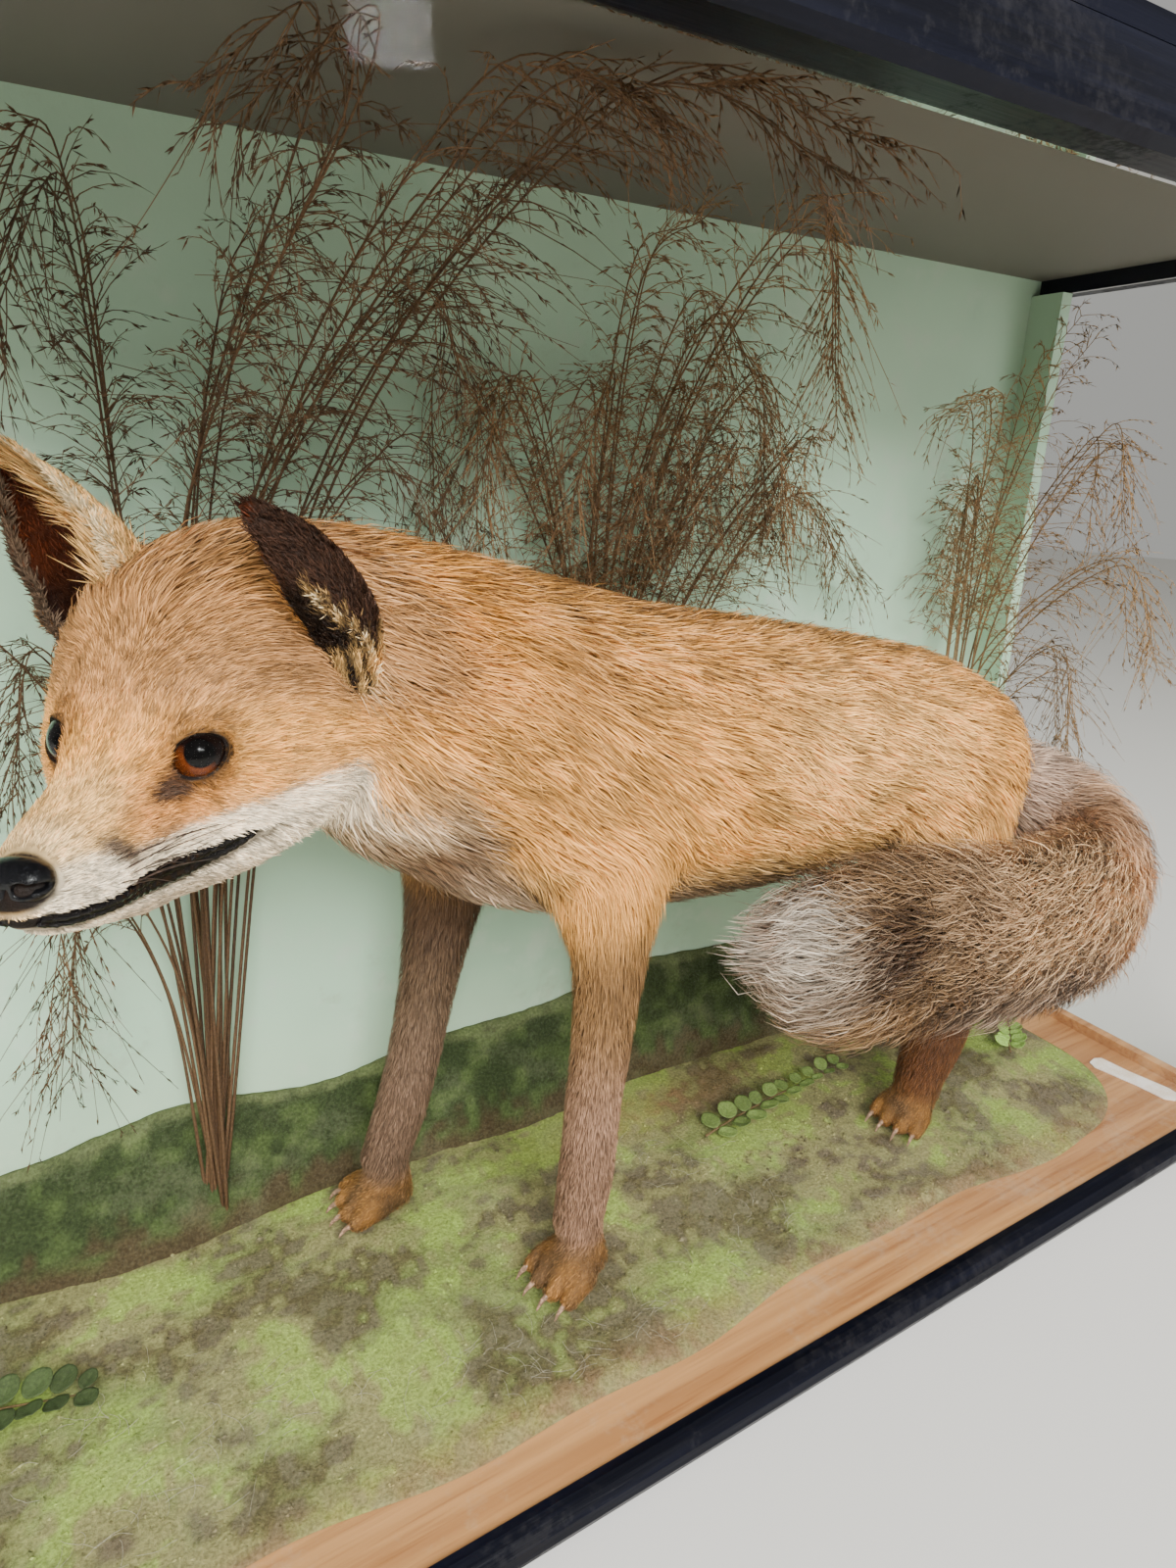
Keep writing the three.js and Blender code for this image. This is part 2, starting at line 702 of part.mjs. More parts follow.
/** A sprig that lies on the scatter with its leaves raised a little. */
function sprig({ from, to, pairs, leaf: long }) {
  const level = GROUND.top + GROUND.ripple + 2;
  const start = new THREE.Vector3(...from, level);
  const end = new THREE.Vector3(...to, level + 3);
  const way = end.clone().sub(start).normalize();
  const turn = Math.PI / 3.2;
  const leaves = Array.from({ length: pairs * 2 }, (_, i) => {
    const at = start.clone().lerp(end, (Math.floor(i / 2) + 0.7) / pairs);
    const along = way.clone().applyAxisAngle(Z_AXIS, i % 2 ? turn : -turn);
    along.z = 0.25;
    return leaf(at, along.normalize(), long * 1.3, long, 0.9);
  });
  const middle = start.clone().lerp(end, 0.5);
  const stem = loft(
    [start, middle, end].map((p) => [...p.toArray(), 1.1, 1.1]),
    { sides: 4, steps: 1, rounds: 1 },
  );
  return joined([stem, ...leaves]);
}

// A blank slip of card, with nibbled corners: its outline as shares of its length and width.
const LABEL = {
  middle: [398, -86],
  turn: -80,
  size: [62, 17],
  thick: 0.8,
  outline: [
    [-0.5, -0.3],
    [-0.42, -0.5],
    [0.1, -0.42],
    [0.4, -0.5],
    [0.5, -0.22],
    [0.5, 0.35],
    [0.36, 0.5],
    [-0.1, 0.42],
    [-0.44, 0.5],
    [-0.5, 0.2],
  ],
};

/** The label slip, lying on the base board. */
function labelSlip() {
  const { middle, turn, size, thick, outline } = LABEL;
  const shape = new THREE.Shape(outline.map(([u, v]) => new THREE.Vector2(u * size[0], v * size[1])));
  const geometry = new THREE.ExtrudeGeometry(shape, { depth: thick, bevelEnabled: false });
  geometry.rotateZ(THREE.MathUtils.degToRad(turn));
  geometry.translate(...middle, CASE.baseTop + GAP);
  return solidOf(geometry);
}

// ---------------------------------------------------------------------------------------------------------
// The case
// ---------------------------------------------------------------------------------------------------------

// A rail's section, outward from the glass and up from the rail's lower edge.
const TOP_RAIL = [
  [0, 0],
  [19, 0],
  [23, 4],
  [23, 10],
  [18, 13],
  [0, 13],
];
const FOOT_RAIL = [
  [0, 0],
  [11.5, 0],
  [12.7, 4],
  [11.8, 9],
  [8, 13.5],
  [4, 15],
  [0, 15],
];

/** A rail's section as an outline, out from a face at y = -sight and up from low, its upper face at top. */
function outward(section, sight, low, top) {
  const full = section.at(-1)[1];
  return section.map(([out, up]) => [-(sight + out), up === full ? top : low + up]);
}

/** A rail that runs along the case's right or left end: side is 1 or -1. */
function endRail(section, side, y0, y1) {
  const run = side > 0 ? rail(section, y0, y1) : rail(section, -y1, -y0);
  return run.rotate([0, 0, side * 90]);
}

/** The frame of the case: boards, rails and posts. */
function frameParts() {
  const { endGlass, frontGlass, backFace, back, baseTop, footHigh, footDeep, glassThick } = CASE;
  const { frontSight, endSight, railTop, lidTop, backPost, oakBead } = CASE;
  const glassOut = endGlass + glassThick;
  const frontOut = frontGlass - glassThick;
  const { blackPaint, oak, mintPaint } = MATERIALS;
  const parts = [
    piece("base_board", oak, block([-glassOut, frontOut, 0], [glassOut, back, baseTop])),
    piece(
      "back_board",
      mintPaint,
      block([-glassOut, backFace, baseTop + GAP], [glassOut, back, railTop - GAP]),
    ),
  ];
  const footFront = outward(FOOT_RAIL, -frontOut + GAP, 0, footHigh);
  const footEnd = outward(FOOT_RAIL, glassOut + GAP, 0, footHigh);
  const footReach = glassOut + GAP + footDeep;
  parts.push(piece("foot_rail_front", blackPaint, rail(footFront, -footReach, footReach)));
  const topFront = outward(TOP_RAIL, -frontGlass, frontSight, railTop);
  const topEnd = outward(TOP_RAIL, endGlass, endSight, railTop);
  const topReach = endGlass + TOP_RAIL[2][0];
  const backReach = topReach - 6;
  parts.push(
    piece("top_rail_front", blackPaint, rail(topFront, -topReach, topReach)),
    piece(
      "foot_rail_back",
      blackPaint,
      block([-footReach, back + GAP, 0], [footReach, back + footDeep, footHigh]),
    ),
    piece(
      "top_rail_back",
      blackPaint,
      block([-backReach, back + GAP, frontSight], [backReach, -topFront[2][0], railTop]),
    ),
  );
  for (const [side, name] of [
    [-1, "left"],
    [1, "right"],
  ]) {
    const span = (x0, x1, y0, y1, z0, z1) => {
      const [a, b] = side > 0 ? [x0, x1] : [-x1, -x0];
      return block([a, y0, z0], [b, y1, z1]);
    };
    const postTop = frontSight - GAP;
    const endTop = endSight - GAP;
    const backPostFrom = glassOut - backPost.wide - glassThick;
    const floor = baseTop + GAP;
    const postOut = footReach - 1;
    const beadOut = endGlass - GAP;
    const runEnd = backPost.from - GAP;
    parts.push(
      piece("foot_rail_" + name, blackPaint, endRail(footEnd, side, frontOut, back)),
      piece("top_rail_" + name, blackPaint, endRail(topEnd, side, frontGlass + GAP, backFace - GAP)),
      piece(
        "front_post_" + name,
        blackPaint,
        span(endGlass - 1 + GAP, postOut, frontOut - footDeep, frontGlass, footHigh + GAP, postTop),
      ),
      piece(
        "back_post_" + name,
        mintPaint,
        span(backPostFrom, glassOut, backPost.from, backFace - GAP, floor, endTop),
      ),
      piece(
        "glass_bead_" + name,
        oak,
        span(beadOut - oakBead.wide, beadOut, frontGlass + GAP, runEnd, floor, floor + oakBead.high),
      ),
      piece(
        "pane_" + name,
        MATERIALS.glass,
        span(endGlass, glassOut, frontGlass + GAP, runEnd, floor, endTop),
      ),
    );
  }
  const paneEnd = endGlass - 1;
  const lidLip = TOP_RAIL[4][0];
  parts.push(
    piece(
      "pane_front",
      MATERIALS.glass,
      block([-paneEnd, frontOut, baseTop + GAP], [paneEnd, frontGlass, frontSight - GAP]),
    ),
    piece(
      "top_board",
      blackPaint,
      block([-backReach, frontGlass - lidLip, railTop + GAP], [backReach, -frontGlass + lidLip, lidTop]),
    ),
  );
  return parts;
}

/** The case's contents that aren't the fox. */
function sceneryParts() {
  const { scatter, bank: bankFinish, straw, leaf: leafFinish, paper } = MATERIALS;
  const bankRoom = bank(GAP);
  const parts = [
    piece("groundwork", scatter, groundwork()),
    piece("ground_bank", bankFinish, bank(0)),
    piece("label_slip", paper, labelSlip()),
  ];
  for (const [name, bunch] of Object.entries(GRASSES)) {
    parts.push(piece("grass_" + name, straw, without(grassBunch(bunch), bankRoom)));
  }
  for (const [name, shape] of Object.entries(SPRIGS)) {
    parts.push(piece("sprig_" + name, leafFinish, sprig(shape)));
  }
  return parts;
}

/** The fox, parted where a person would name its parts. */
function foxParts() {
  const { redCoat, darkCoat, tailCoat, paleCoat, earBack, eyeGlass, nosePad } = MATERIALS;
  const trunkForm = (grow) => loft(TRUNK, { sides: 14, grow, blunt: [0.55, 0.75] });
  const neckForm = (grow) => loft(NECK, { sides: 14, steps: 1, grow, rounds: 1, blunt: [0.3, 0.3] });
  const tailForm = loft(TAIL, { sides: 10, rounds: 1, blunt: [0.3, 1.0] });
  const trunkRoom = trunkForm(GAP);
  const headRoom = headForm(GAP);
  const neckRoom = neckForm(GAP);
  const parts = [
    piece("trunk", redCoat, trunkForm(0)),
    piece("neck", redCoat, without(neckForm(0), trunkRoom, headRoom)),
  ];

  for (const [name, limb] of Object.entries(LEGS)) {
    const foot = paw(limb);
    const leg = without(legForm(limb, 0), trunkRoom, foot.translate([0, 0, GAP]), foot);
    parts.push(piece("leg_" + name, redCoat, leg), piece("paw_" + name, darkCoat, foot));
  }

  const tail = without(tailForm, trunkRoom, ...Object.values(LEGS).map((limb) => legForm(limb, GAP)));
  const { rootY, tipX } = TAIL_CUTS;
  const [far, high] = [500, 500];
  const rootSpace = block([0, rootY, 0], [far, far, high]);
  const middleSpace = block([tipX + GAP, -far, 0], [far, rootY - GAP, high]);
  const tipSpace = block([-far, -far, 0], [tipX, rootY - GAP, high]);
  parts.push(
    piece("tail_root", tailCoat, tail.intersect(rootSpace)),
    piece("tail_middle", tailCoat, tail.intersect(middleSpace)),
    piece("tail_tip", paleCoat, tail.intersect(tipSpace)),
  );

  const nose = (grow) => headBall(NOSE.at, NOSE.size.map((s) => s + grow));
  const eyeRooms = Object.values(EYES).flatMap((eye) => [eyeball(eye, GAP), eyeSocket(eye)]);
  const headWhole = without(headForm(0), ...eyeRooms, nose(GAP));
  const chinSpace = headBall([0, 0, -30], [MOUTH.chin, 80, 80], 10);
  parts.push(
    piece("head", redCoat, headWhole.subtract(underMouth(GAP))),
    piece("lower_jaw", paleCoat, headWhole.intersect(underMouth(0)).intersect(chinSpace)),
    piece("nose_pad", nosePad, nose(0)),
  );
  for (const [name, eye] of Object.entries(EYES)) {
    parts.push(piece("eye_" + name, eyeGlass, eyeball(eye, 0)));
  }
  for (const [name, shape] of Object.entries(EARS)) {
    parts.push(piece("ear_" + name, earBack, without(ear(shape), headRoom, neckRoom, trunkRoom)));
  }
  return parts;
}

const display = new THREE.Group();
display.add(...foxParts(), ...sceneryParts(), ...frameParts());

export default display;
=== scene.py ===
"""A mounted red fox in a glazed display case, dressed for rendering.

The fox stands on a low bank of scatter and dried grass with its head turned to the front. One skin covers its
body, and its coat is many joined blades of hair that follow the lie of the fur. Lengths are in millimetres in
the case's frame, with X along the case, the front glass facing -Y and Z up. They turn into metres where a
mesh is made.
"""

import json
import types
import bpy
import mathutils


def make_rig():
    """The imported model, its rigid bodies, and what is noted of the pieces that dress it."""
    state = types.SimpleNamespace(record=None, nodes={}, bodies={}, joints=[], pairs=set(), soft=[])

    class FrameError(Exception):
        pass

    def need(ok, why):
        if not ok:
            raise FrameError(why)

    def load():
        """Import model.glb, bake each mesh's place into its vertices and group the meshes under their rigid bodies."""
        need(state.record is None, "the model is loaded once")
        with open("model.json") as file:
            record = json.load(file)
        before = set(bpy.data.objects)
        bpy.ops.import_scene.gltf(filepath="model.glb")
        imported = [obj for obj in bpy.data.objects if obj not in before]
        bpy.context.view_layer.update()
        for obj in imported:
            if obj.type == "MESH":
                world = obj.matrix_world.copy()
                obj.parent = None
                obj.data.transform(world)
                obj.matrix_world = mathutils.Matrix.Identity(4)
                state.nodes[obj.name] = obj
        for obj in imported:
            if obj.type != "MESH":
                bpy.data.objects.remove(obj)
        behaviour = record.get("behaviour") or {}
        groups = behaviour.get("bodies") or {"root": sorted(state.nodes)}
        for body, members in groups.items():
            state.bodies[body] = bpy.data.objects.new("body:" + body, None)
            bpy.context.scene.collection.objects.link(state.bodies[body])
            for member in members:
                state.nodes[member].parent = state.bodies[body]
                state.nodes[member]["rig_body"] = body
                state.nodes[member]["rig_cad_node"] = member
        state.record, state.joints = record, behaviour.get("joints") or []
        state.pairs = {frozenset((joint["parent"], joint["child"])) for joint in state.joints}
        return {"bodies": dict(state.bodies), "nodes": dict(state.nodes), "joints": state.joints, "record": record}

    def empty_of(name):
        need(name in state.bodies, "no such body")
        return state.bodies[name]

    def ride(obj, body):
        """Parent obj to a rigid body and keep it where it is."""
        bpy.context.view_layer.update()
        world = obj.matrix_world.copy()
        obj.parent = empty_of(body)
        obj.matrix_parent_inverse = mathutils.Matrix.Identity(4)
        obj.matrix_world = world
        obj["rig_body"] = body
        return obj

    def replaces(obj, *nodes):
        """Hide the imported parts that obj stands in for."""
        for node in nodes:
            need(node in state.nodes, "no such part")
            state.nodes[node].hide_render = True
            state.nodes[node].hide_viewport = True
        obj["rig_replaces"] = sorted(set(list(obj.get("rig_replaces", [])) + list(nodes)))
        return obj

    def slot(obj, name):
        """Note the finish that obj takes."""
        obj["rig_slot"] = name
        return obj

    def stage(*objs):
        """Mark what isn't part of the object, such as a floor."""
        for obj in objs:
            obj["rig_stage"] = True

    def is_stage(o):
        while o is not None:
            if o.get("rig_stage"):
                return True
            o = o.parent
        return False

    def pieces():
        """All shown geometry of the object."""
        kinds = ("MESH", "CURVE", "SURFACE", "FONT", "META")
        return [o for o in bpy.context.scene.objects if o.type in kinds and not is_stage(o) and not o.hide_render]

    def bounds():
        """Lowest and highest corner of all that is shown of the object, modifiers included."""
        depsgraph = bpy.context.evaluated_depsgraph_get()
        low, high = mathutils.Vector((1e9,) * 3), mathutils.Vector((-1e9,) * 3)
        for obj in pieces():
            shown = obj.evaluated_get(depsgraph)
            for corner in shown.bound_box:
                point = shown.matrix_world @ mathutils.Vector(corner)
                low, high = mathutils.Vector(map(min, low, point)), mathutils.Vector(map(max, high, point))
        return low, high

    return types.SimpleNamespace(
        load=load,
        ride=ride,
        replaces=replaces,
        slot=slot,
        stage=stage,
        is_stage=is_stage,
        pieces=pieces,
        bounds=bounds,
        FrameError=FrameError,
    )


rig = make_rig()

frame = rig.load()

import json
import logging
import math
from dataclasses import dataclass, field
from enum import Enum
from functools import partial
from itertools import product
from typing import Callable, Sequence

import bpy
import numpy as np
from mathutils import Matrix, Vector

log = logging.getLogger("fox_case")

Array = np.ndarray
Measure = Callable[[Array], Array]
Socket = bpy.types.NodeSocket
Material = bpy.types.Material
Piece = bpy.types.Object
MM = 0.001
CAD_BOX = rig.bounds()
CELL_PRIMES = np.array([73856093, 19349663, 83492791])
SEED_PRIME, MIX_PRIME = 26544357, 1274126177
TIP_LENGTH = 0.4
INSIDE_OF_CASE = ((-424, -128, 22), (424, 128, 588))


# ---- Arithmetic shared by the pieces ----


def unit(vectors: Array) -> Array:
    """Vectors scaled to a length of one."""
    return vectors / np.maximum(np.linalg.norm(vectors, axis=-1, keepdims=True), 1e-9)


def dot(a: Array, b: Array) -> Array:
    """The dot product of each row of a with the same row of b."""
    return np.sum(a * b, axis=-1)


def ramp(value: Array, low: float, high: float) -> Array:
    """Zero at low, one at high and an S curve between, where low may be above high."""
    t = np.clip((value - low) / (high - low), 0.0, 1.0)
    return t * t * (3.0 - 2.0 * t)


def hump(*spreads: tuple[Array, float, float]) -> Array:
    """A soft hump of one, from the values, middle and reach along each of its axes."""
    total = 0.0
    for values, middle, reach in spreads:
        total = total - ((values - middle) / reach) ** 2
    return np.exp(total)


def closeness(away: Array, reach: float = 5.0) -> Array:
    """One at a surface, falling away over a reach from it."""
    return np.exp(-np.clip(away, 0, 60) / reach)


def columns_at(at: Array, places: Array, table: Array) -> Array:
    """Each column of a table at places between its rows."""
    return np.stack([np.interp(at, places, column) for column in table.T], axis=-1)


def spline(rows: Array, steps: int) -> Array:
    """Rows of numbers run through a Catmull-Rom curve.

    Args:
        rows: the rows that the curve passes through.
        steps: how many rows come out for each gap.

    Returns:
        The rows of the finer run.
    """
    rows = np.asarray(rows, float)
    padded = np.vstack([2 * rows[0] - rows[1], rows, 2 * rows[-1] - rows[-2]])
    out = []
    for i in range(len(rows) - 1):
        a, b, c, d = padded[i : i + 4]
        for t in np.arange(steps) / steps:
            start = 2 * b + (c - a) * t + (2 * a - 5 * b + 4 * c - d) * t**2
            out.append(0.5 * (start + (3 * b - a - 3 * c + d) * t**3))
    return np.array([*out, rows[-1]])


def within(points: Array, low: Sequence[float], high: Sequence[float]) -> Array:
    """Whether each point is inside a box."""
    return ((points > low) & (points < high)).all(axis=1)


def blend_min(a: Array, b: Array, reach: float) -> Array:
    """The lesser of two distances, rounded where they are within reach of each other."""
    near = np.clip(reach - np.abs(a - b), 0.0, None) / reach
    return np.minimum(a, b) - near * near * reach / 4.0


def blend_max(a: Array, b: Array, reach: float) -> Array:
    """The greater of two distances, rounded where they are within reach of each other."""
    return -blend_min(-a, -b, reach)


def srgb(red: int, green: int, blue: int) -> Array:
    """A tone given as 0 to 255 on a screen, as linear light."""
    share = np.array([red, green, blue], float) / 255.0
    return np.where(share <= 0.04045, share / 12.92, ((share + 0.055) / 1.055) ** 2.4)


def fur(red: int, green: int, blue: int) -> Array:
    """A tone of the coat, with its hue deepened for the pale light between hairs."""
    tone = srgb(red, green, blue)
    return tone.max() * (tone / tone.max()) ** np.array([1.3, 1.2, 1.42])


def between_corners(low: Array, share: Array, value_at: Measure) -> Array:
    """A value at points in a grid's cells, from the values at each cell's eight corners."""
    total = np.zeros(len(low))
    for corner in product((0, 1), repeat=3):
        weight = np.prod(np.where(corner, share, 1.0 - share), axis=1)
        total += weight * value_at(low + corner)
    return total


@dataclass(frozen=True)
class Noise:
    """Smooth noise from -1 to 1 over space, with features about one cell across."""

    cell: float
    seed: int = 0

    def at(self, points: Array) -> Array:
        """The noise at each point."""
        place = np.asarray(points, float) / self.cell
        low = np.floor(place)
        share = place - low
        share = share * share * (3.0 - 2.0 * share)
        return between_corners(low.astype(np.int64), share, self.lattice)

    def lattice(self, cells: Array) -> Array:
        """A fixed random value from -1 to 1 for each whole-numbered cell."""
        mixed = np.bitwise_xor.reduce(cells * CELL_PRIMES, axis=1) ^ (self.seed + 7) * SEED_PRIME
        mixed = (mixed ^ (mixed >> 13)) * MIX_PRIME
        mixed = mixed ^ (mixed >> 16)
        return (mixed & 0xFFFF) / 0x7FFF - 1.0


# ---- Meshes ----


def faces_of(*corners: Array) -> Array:
    """Faces, from an array for each of their corners."""
    return np.stack(corners, axis=-1).reshape(-1, len(corners))


def fan(centre: int, ring: Array, after: Array) -> Array:
    """Three-sided faces from a centre to a ring's points and the points after them."""
    return faces_of(np.full(len(ring), centre), ring, after)


def grid_faces(index: Array) -> Array:
    """Four-sided faces over a grid of numbered points."""
    return faces_of(index[:-1, :-1], index[1:, :-1], index[1:, 1:], index[:-1, 1:])


@dataclass
class Parts:
    """Points and faces gathered from many small shapes into one mesh."""

    points: list[Array] = field(default_factory=list)
    faces: list[Array] = field(default_factory=list)
    count: int = 0

    def add(self, points: Array, *faces: Array) -> None:
        """Takes in one shape, whose faces count from its own first point."""
        self.points.append(np.asarray(points, float))
        self.faces.extend(np.asarray(f, np.int64) + self.count for f in faces)
        self.count += len(points)

    def add_tube(self, line: Array, radii: Array, sides: int, flat: float = 1.0) -> None:
        """Takes in a round tube along a line, closed to a point at each end.

        Args:
            line: the points of its middle.
            radii: its radius at each point.
            sides: how many sides it has.
            flat: its second radius as a share of its first.
        """
        line = np.asarray(line, float)
        ways = unit(np.gradient(line, axis=0))
        aside = unit(np.cross(ways, [0.31, 0.17, 0.93]))
        other = np.cross(ways, aside)
        turns = 2 * np.pi * np.arange(sides) / sides
        ring = aside[:, None] * np.cos(turns)[:, None] + flat * other[:, None] * np.sin(turns)[:, None]
        points = (line[:, None] + ring * np.asarray(radii, float)[:, None, None]).reshape(-1, 3)
        index = np.arange(len(points)).reshape(len(line), sides)
        after = np.roll(index, -1, axis=1)
        quads = faces_of(index[:-1], after[:-1], after[1:], index[1:])
        first, last = (np.full(sides, len(points) + k) for k in (0, 1))
        caps = np.vstack([faces_of(after[0], index[0], first), faces_of(index[-1], after[-1], last)])
        ends = [line[0] - ways[0] * radii[0] * TIP_LENGTH, line[-1] + ways[-1] * radii[-1] * TIP_LENGTH]
        self.add(np.vstack([points, ends]), quads, caps)

    def make(self, name: str, material: Material, smooth: bool = True) -> Piece:
        """The gathered shapes as one object."""
        widths = sorted({f.shape[1] for f in self.faces})
        faces = [np.vstack([f for f in self.faces if f.shape[1] == w]) for w in widths]
        return make_object(name, np.vstack(self.points), faces, material, smooth)


def make_object(
    name: str, points: Array, faces: Sequence[Array], material: Material, smooth: bool = True
) -> Piece:
    """A mesh object in the scene.

    Args:
        name: the piece's name.
        points: its points in millimetres.
        faces: arrays of faces, each with one number of corners.
        material: its finish.
        smooth: whether its faces are shaded smooth.

    Returns:
        The new object.
    """
    mesh = bpy.data.meshes.new(name)
    mesh.vertices.add(len(points))
    mesh.vertices.foreach_set("co", (np.asarray(points) * MM).astype(np.float32).ravel())
    loops = np.concatenate([f.ravel() for f in faces]).astype(np.int32)
    sizes = np.concatenate([np.full(len(f), f.shape[1]) for f in faces])
    mesh.loops.add(len(loops))
    mesh.loops.foreach_set("vertex_index", loops)
    mesh.polygons.add(len(sizes))
    mesh.polygons.foreach_set("loop_start", np.concatenate([[0], np.cumsum(sizes)[:-1]]).astype(np.int32))
    mesh.update(calc_edges=True)
    mesh.polygons.foreach_set("use_smooth", np.full(len(sizes), smooth))
    mesh.materials.append(material)
    made = bpy.data.objects.new(name, mesh)
    bpy.context.scene.collection.objects.link(made)
    return made


def set_value(mesh: bpy.types.Mesh, name: str, values: Array) -> None:
    """Stores one number for each point of a mesh."""
    mesh.attributes.new(name, "FLOAT", "POINT").data.foreach_set("value", values.astype(np.float32).ravel())


def set_colour(mesh: bpy.types.Mesh, name: str, colours: Array) -> None:
    """Stores one colour for each point of a mesh."""
    full = np.concatenate([colours, np.ones((len(colours), 1))], axis=1)
    stored = mesh.attributes.new(name, "FLOAT_COLOR", "POINT").data
    stored.foreach_set("color", full.astype(np.float32).ravel())


def mark_coat(mesh: bpy.types.Mesh, tone: Array, along: Array, strand: Array, grizzle: Array) -> None:
    """Stores what the coat's finish is coloured by."""
    set_colour(mesh, "tone", tone)
    for name, values in (("along", along), ("strand", strand), ("grizzle", grizzle)):
        set_value(mesh, name, values)


def surface_of(values: Array, low: Array, pitch: float) -> tuple[Array, Array]:
    """The surface where a field of distances over a grid is zero.

    Args:
        values: the distance at each grid point, below zero inside.
        low: the grid's first corner.
        pitch: the grid's spacing.

    Returns:
        The surface's points and its four-sided faces.
    """
    inside = values < 0
    shape = tuple(n - 1 for n in values.shape)
    corners = [np.array(c) for c in product((0, 1), repeat=3)]
    full = sum(inside[tuple(slice(a, a + n) for a, n in zip(c, shape))].astype(np.int8) for c in corners)
    cells = np.argwhere((full > 0) & (full < 8))
    number = np.full(shape, -1, np.int64)
    number[tuple(cells.T)] = np.arange(len(cells))
    total, count = np.zeros((len(cells), 3)), np.zeros(len(cells))
    for a, b in product(corners, corners):
        if (b - a).min() < 0 or (b - a).sum() != 1:
            continue
        va, vb = values[tuple((cells + a).T)], values[tuple((cells + b).T)]
        crossed = (va < 0) != (vb < 0)
        share = np.where(crossed, va / np.where(crossed, va - vb, 1.0), 0.0)
        total += np.where(crossed[:, None], a + share[:, None] * (b - a), 0.0)
        count += crossed
    points = low + pitch * (cells + total / np.maximum(count, 1)[:, None])
    quads = []
    for axis in range(3):
        step, one, two = (np.eye(3, dtype=int)[(axis + k) % 3] for k in range(3))
        here = np.argwhere(np.diff(inside.astype(np.int8), axis=axis) != 0)
        here = here[((here >= 1) | (step == 1)).all(axis=1) & (here < np.array(shape)).all(axis=1)]
        face = faces_of(*(number[tuple((here - s).T)] for s in (one * 0, one, one + two, two)))
        outward = inside[tuple(here.T)]
        face = np.where(outward[:, None], face, face[:, ::-1])
        quads.append(face[(face >= 0).all(axis=1)])
    return points, np.vstack(quads)


# ---- The fox's form, as distances from its surface ----


@dataclass
class Nearest:
    """Where points lie against a body part: distance, share of its line, turn round it and its way."""

    distance: Array
    along: Array
    turn: Array
    way: Array


class Tube:
    """A body part as a run of oval stations: centre, half-width across and half-depth along."""

    def __init__(
        self, stations: Sequence, depth: float | Sequence[float], upright: tuple = (0, 0, 1), cap: float = 0.8
    ) -> None:
        """Lays out the part's line.

        Args:
            stations: rows of x, y, z, across and along, out to the tips of the coat.
            depth: the coat's depth at each station.
            upright: what the widths are square to.
            cap: each end's roundness, as a share of the lesser half-width.
        """
        rows = np.column_stack([np.array(stations, float), np.broadcast_to(depth, len(stations))])
        self.line = spline(rows, 4)
        self.ways = unit(np.gradient(self.line[:, :3], axis=0))
        self.across = unit(np.cross(np.array(upright, float), self.ways))
        self.deep = np.cross(self.ways, self.across)
        self.cap = cap

    def block(self, margin: float) -> tuple[Array, Array]:
        """The corners of a box that holds the part with a margin round it."""
        reach = self.line[:, 3:5].max(axis=1)[:, None] + margin
        return (self.line[:, :3] - reach).min(axis=0), (self.line[:, :3] + reach).max(axis=0)

    def measure(self, points: Array, skin: bool = True) -> Nearest:
        """Places points against the part.

        Args:
            points: where to measure.
            skin: whether to measure from the skin, or else from the coat's outline.

        Returns:
            Each point's nearest place on the part.
        """
        size = len(points)
        found = Nearest(np.full(size, 1e3), np.zeros(size), np.zeros(size), np.zeros((size, 3)))
        pieces = len(self.line) - 1
        for i in range(pieces):
            a, b = self.line[i], self.line[i + 1]
            step = b[:3] - a[:3]
            rel = points - a[:3]
            share = np.clip(rel @ step / (step @ step), 0.0, 1.0)
            rel = rel - share[:, None] * step
            u, v, w = rel @ self.across[i], rel @ self.deep[i], rel @ self.ways[i]
            wide, thick, coat = (a[c] + (b[c] - a[c]) * share for c in (3, 4, 5))
            if skin:
                wide, thick = np.maximum(wide - coat, 2.0), np.maximum(thick - coat, 2.0)
            least = np.minimum(wide, thick)
            rho = np.sqrt((u / wide) ** 2 + (v / thick) ** 2 + (w / (self.cap * least)) ** 2)
            radius = np.sqrt(u * u + v * v + w * w)
            away = np.where(rho < 0.05, -least, radius - radius / np.maximum(rho, 0.05))
            nearer = away < found.distance
            found.distance = np.where(nearer, away, found.distance)
            found.along = np.where(nearer, (i + share) / pieces, found.along)
            found.turn = np.where(nearer, np.arctan2(v / thick, u / wide), found.turn)
            found.way[nearer] = self.ways[i]
        return found

    def gap(self, points: Array, skin: bool = True) -> Array:
        """How far points are from the part."""
        return self.measure(points, skin).distance


@dataclass(frozen=True)
class HeadFrame:
    """The head's own frame, from midway between the eyes: x to the nose, y to the fox's left and z up."""

    origin: tuple = (-266.3, -52.0, 364.2)
    forward: tuple = (-0.5318, -0.8429, 0.0817)
    left: tuple = (0.846, -0.5332, 0.0057)

    @property
    def axes(self) -> Array:
        """The frame's three axes as rows."""
        ahead = unit(np.array(self.forward))
        side = np.array(self.left)
        side = unit(side - ahead * (ahead @ side))
        return np.stack([ahead, side, np.cross(ahead, side)])

    def inside(self, points: Array) -> Array:
        """Points of the case's frame in the head's frame."""
        return (points - np.array(self.origin)) @ self.axes.T

    def outside(self, points: Array) -> Array:
        """Points of the head's frame in the case's frame."""
        return np.asarray(points, float) @ self.axes + np.array(self.origin)

    def turned(self, ways: Array) -> Array:
        """Directions of the head's frame in the case's frame."""
        return np.asarray(ways, float) @ self.axes


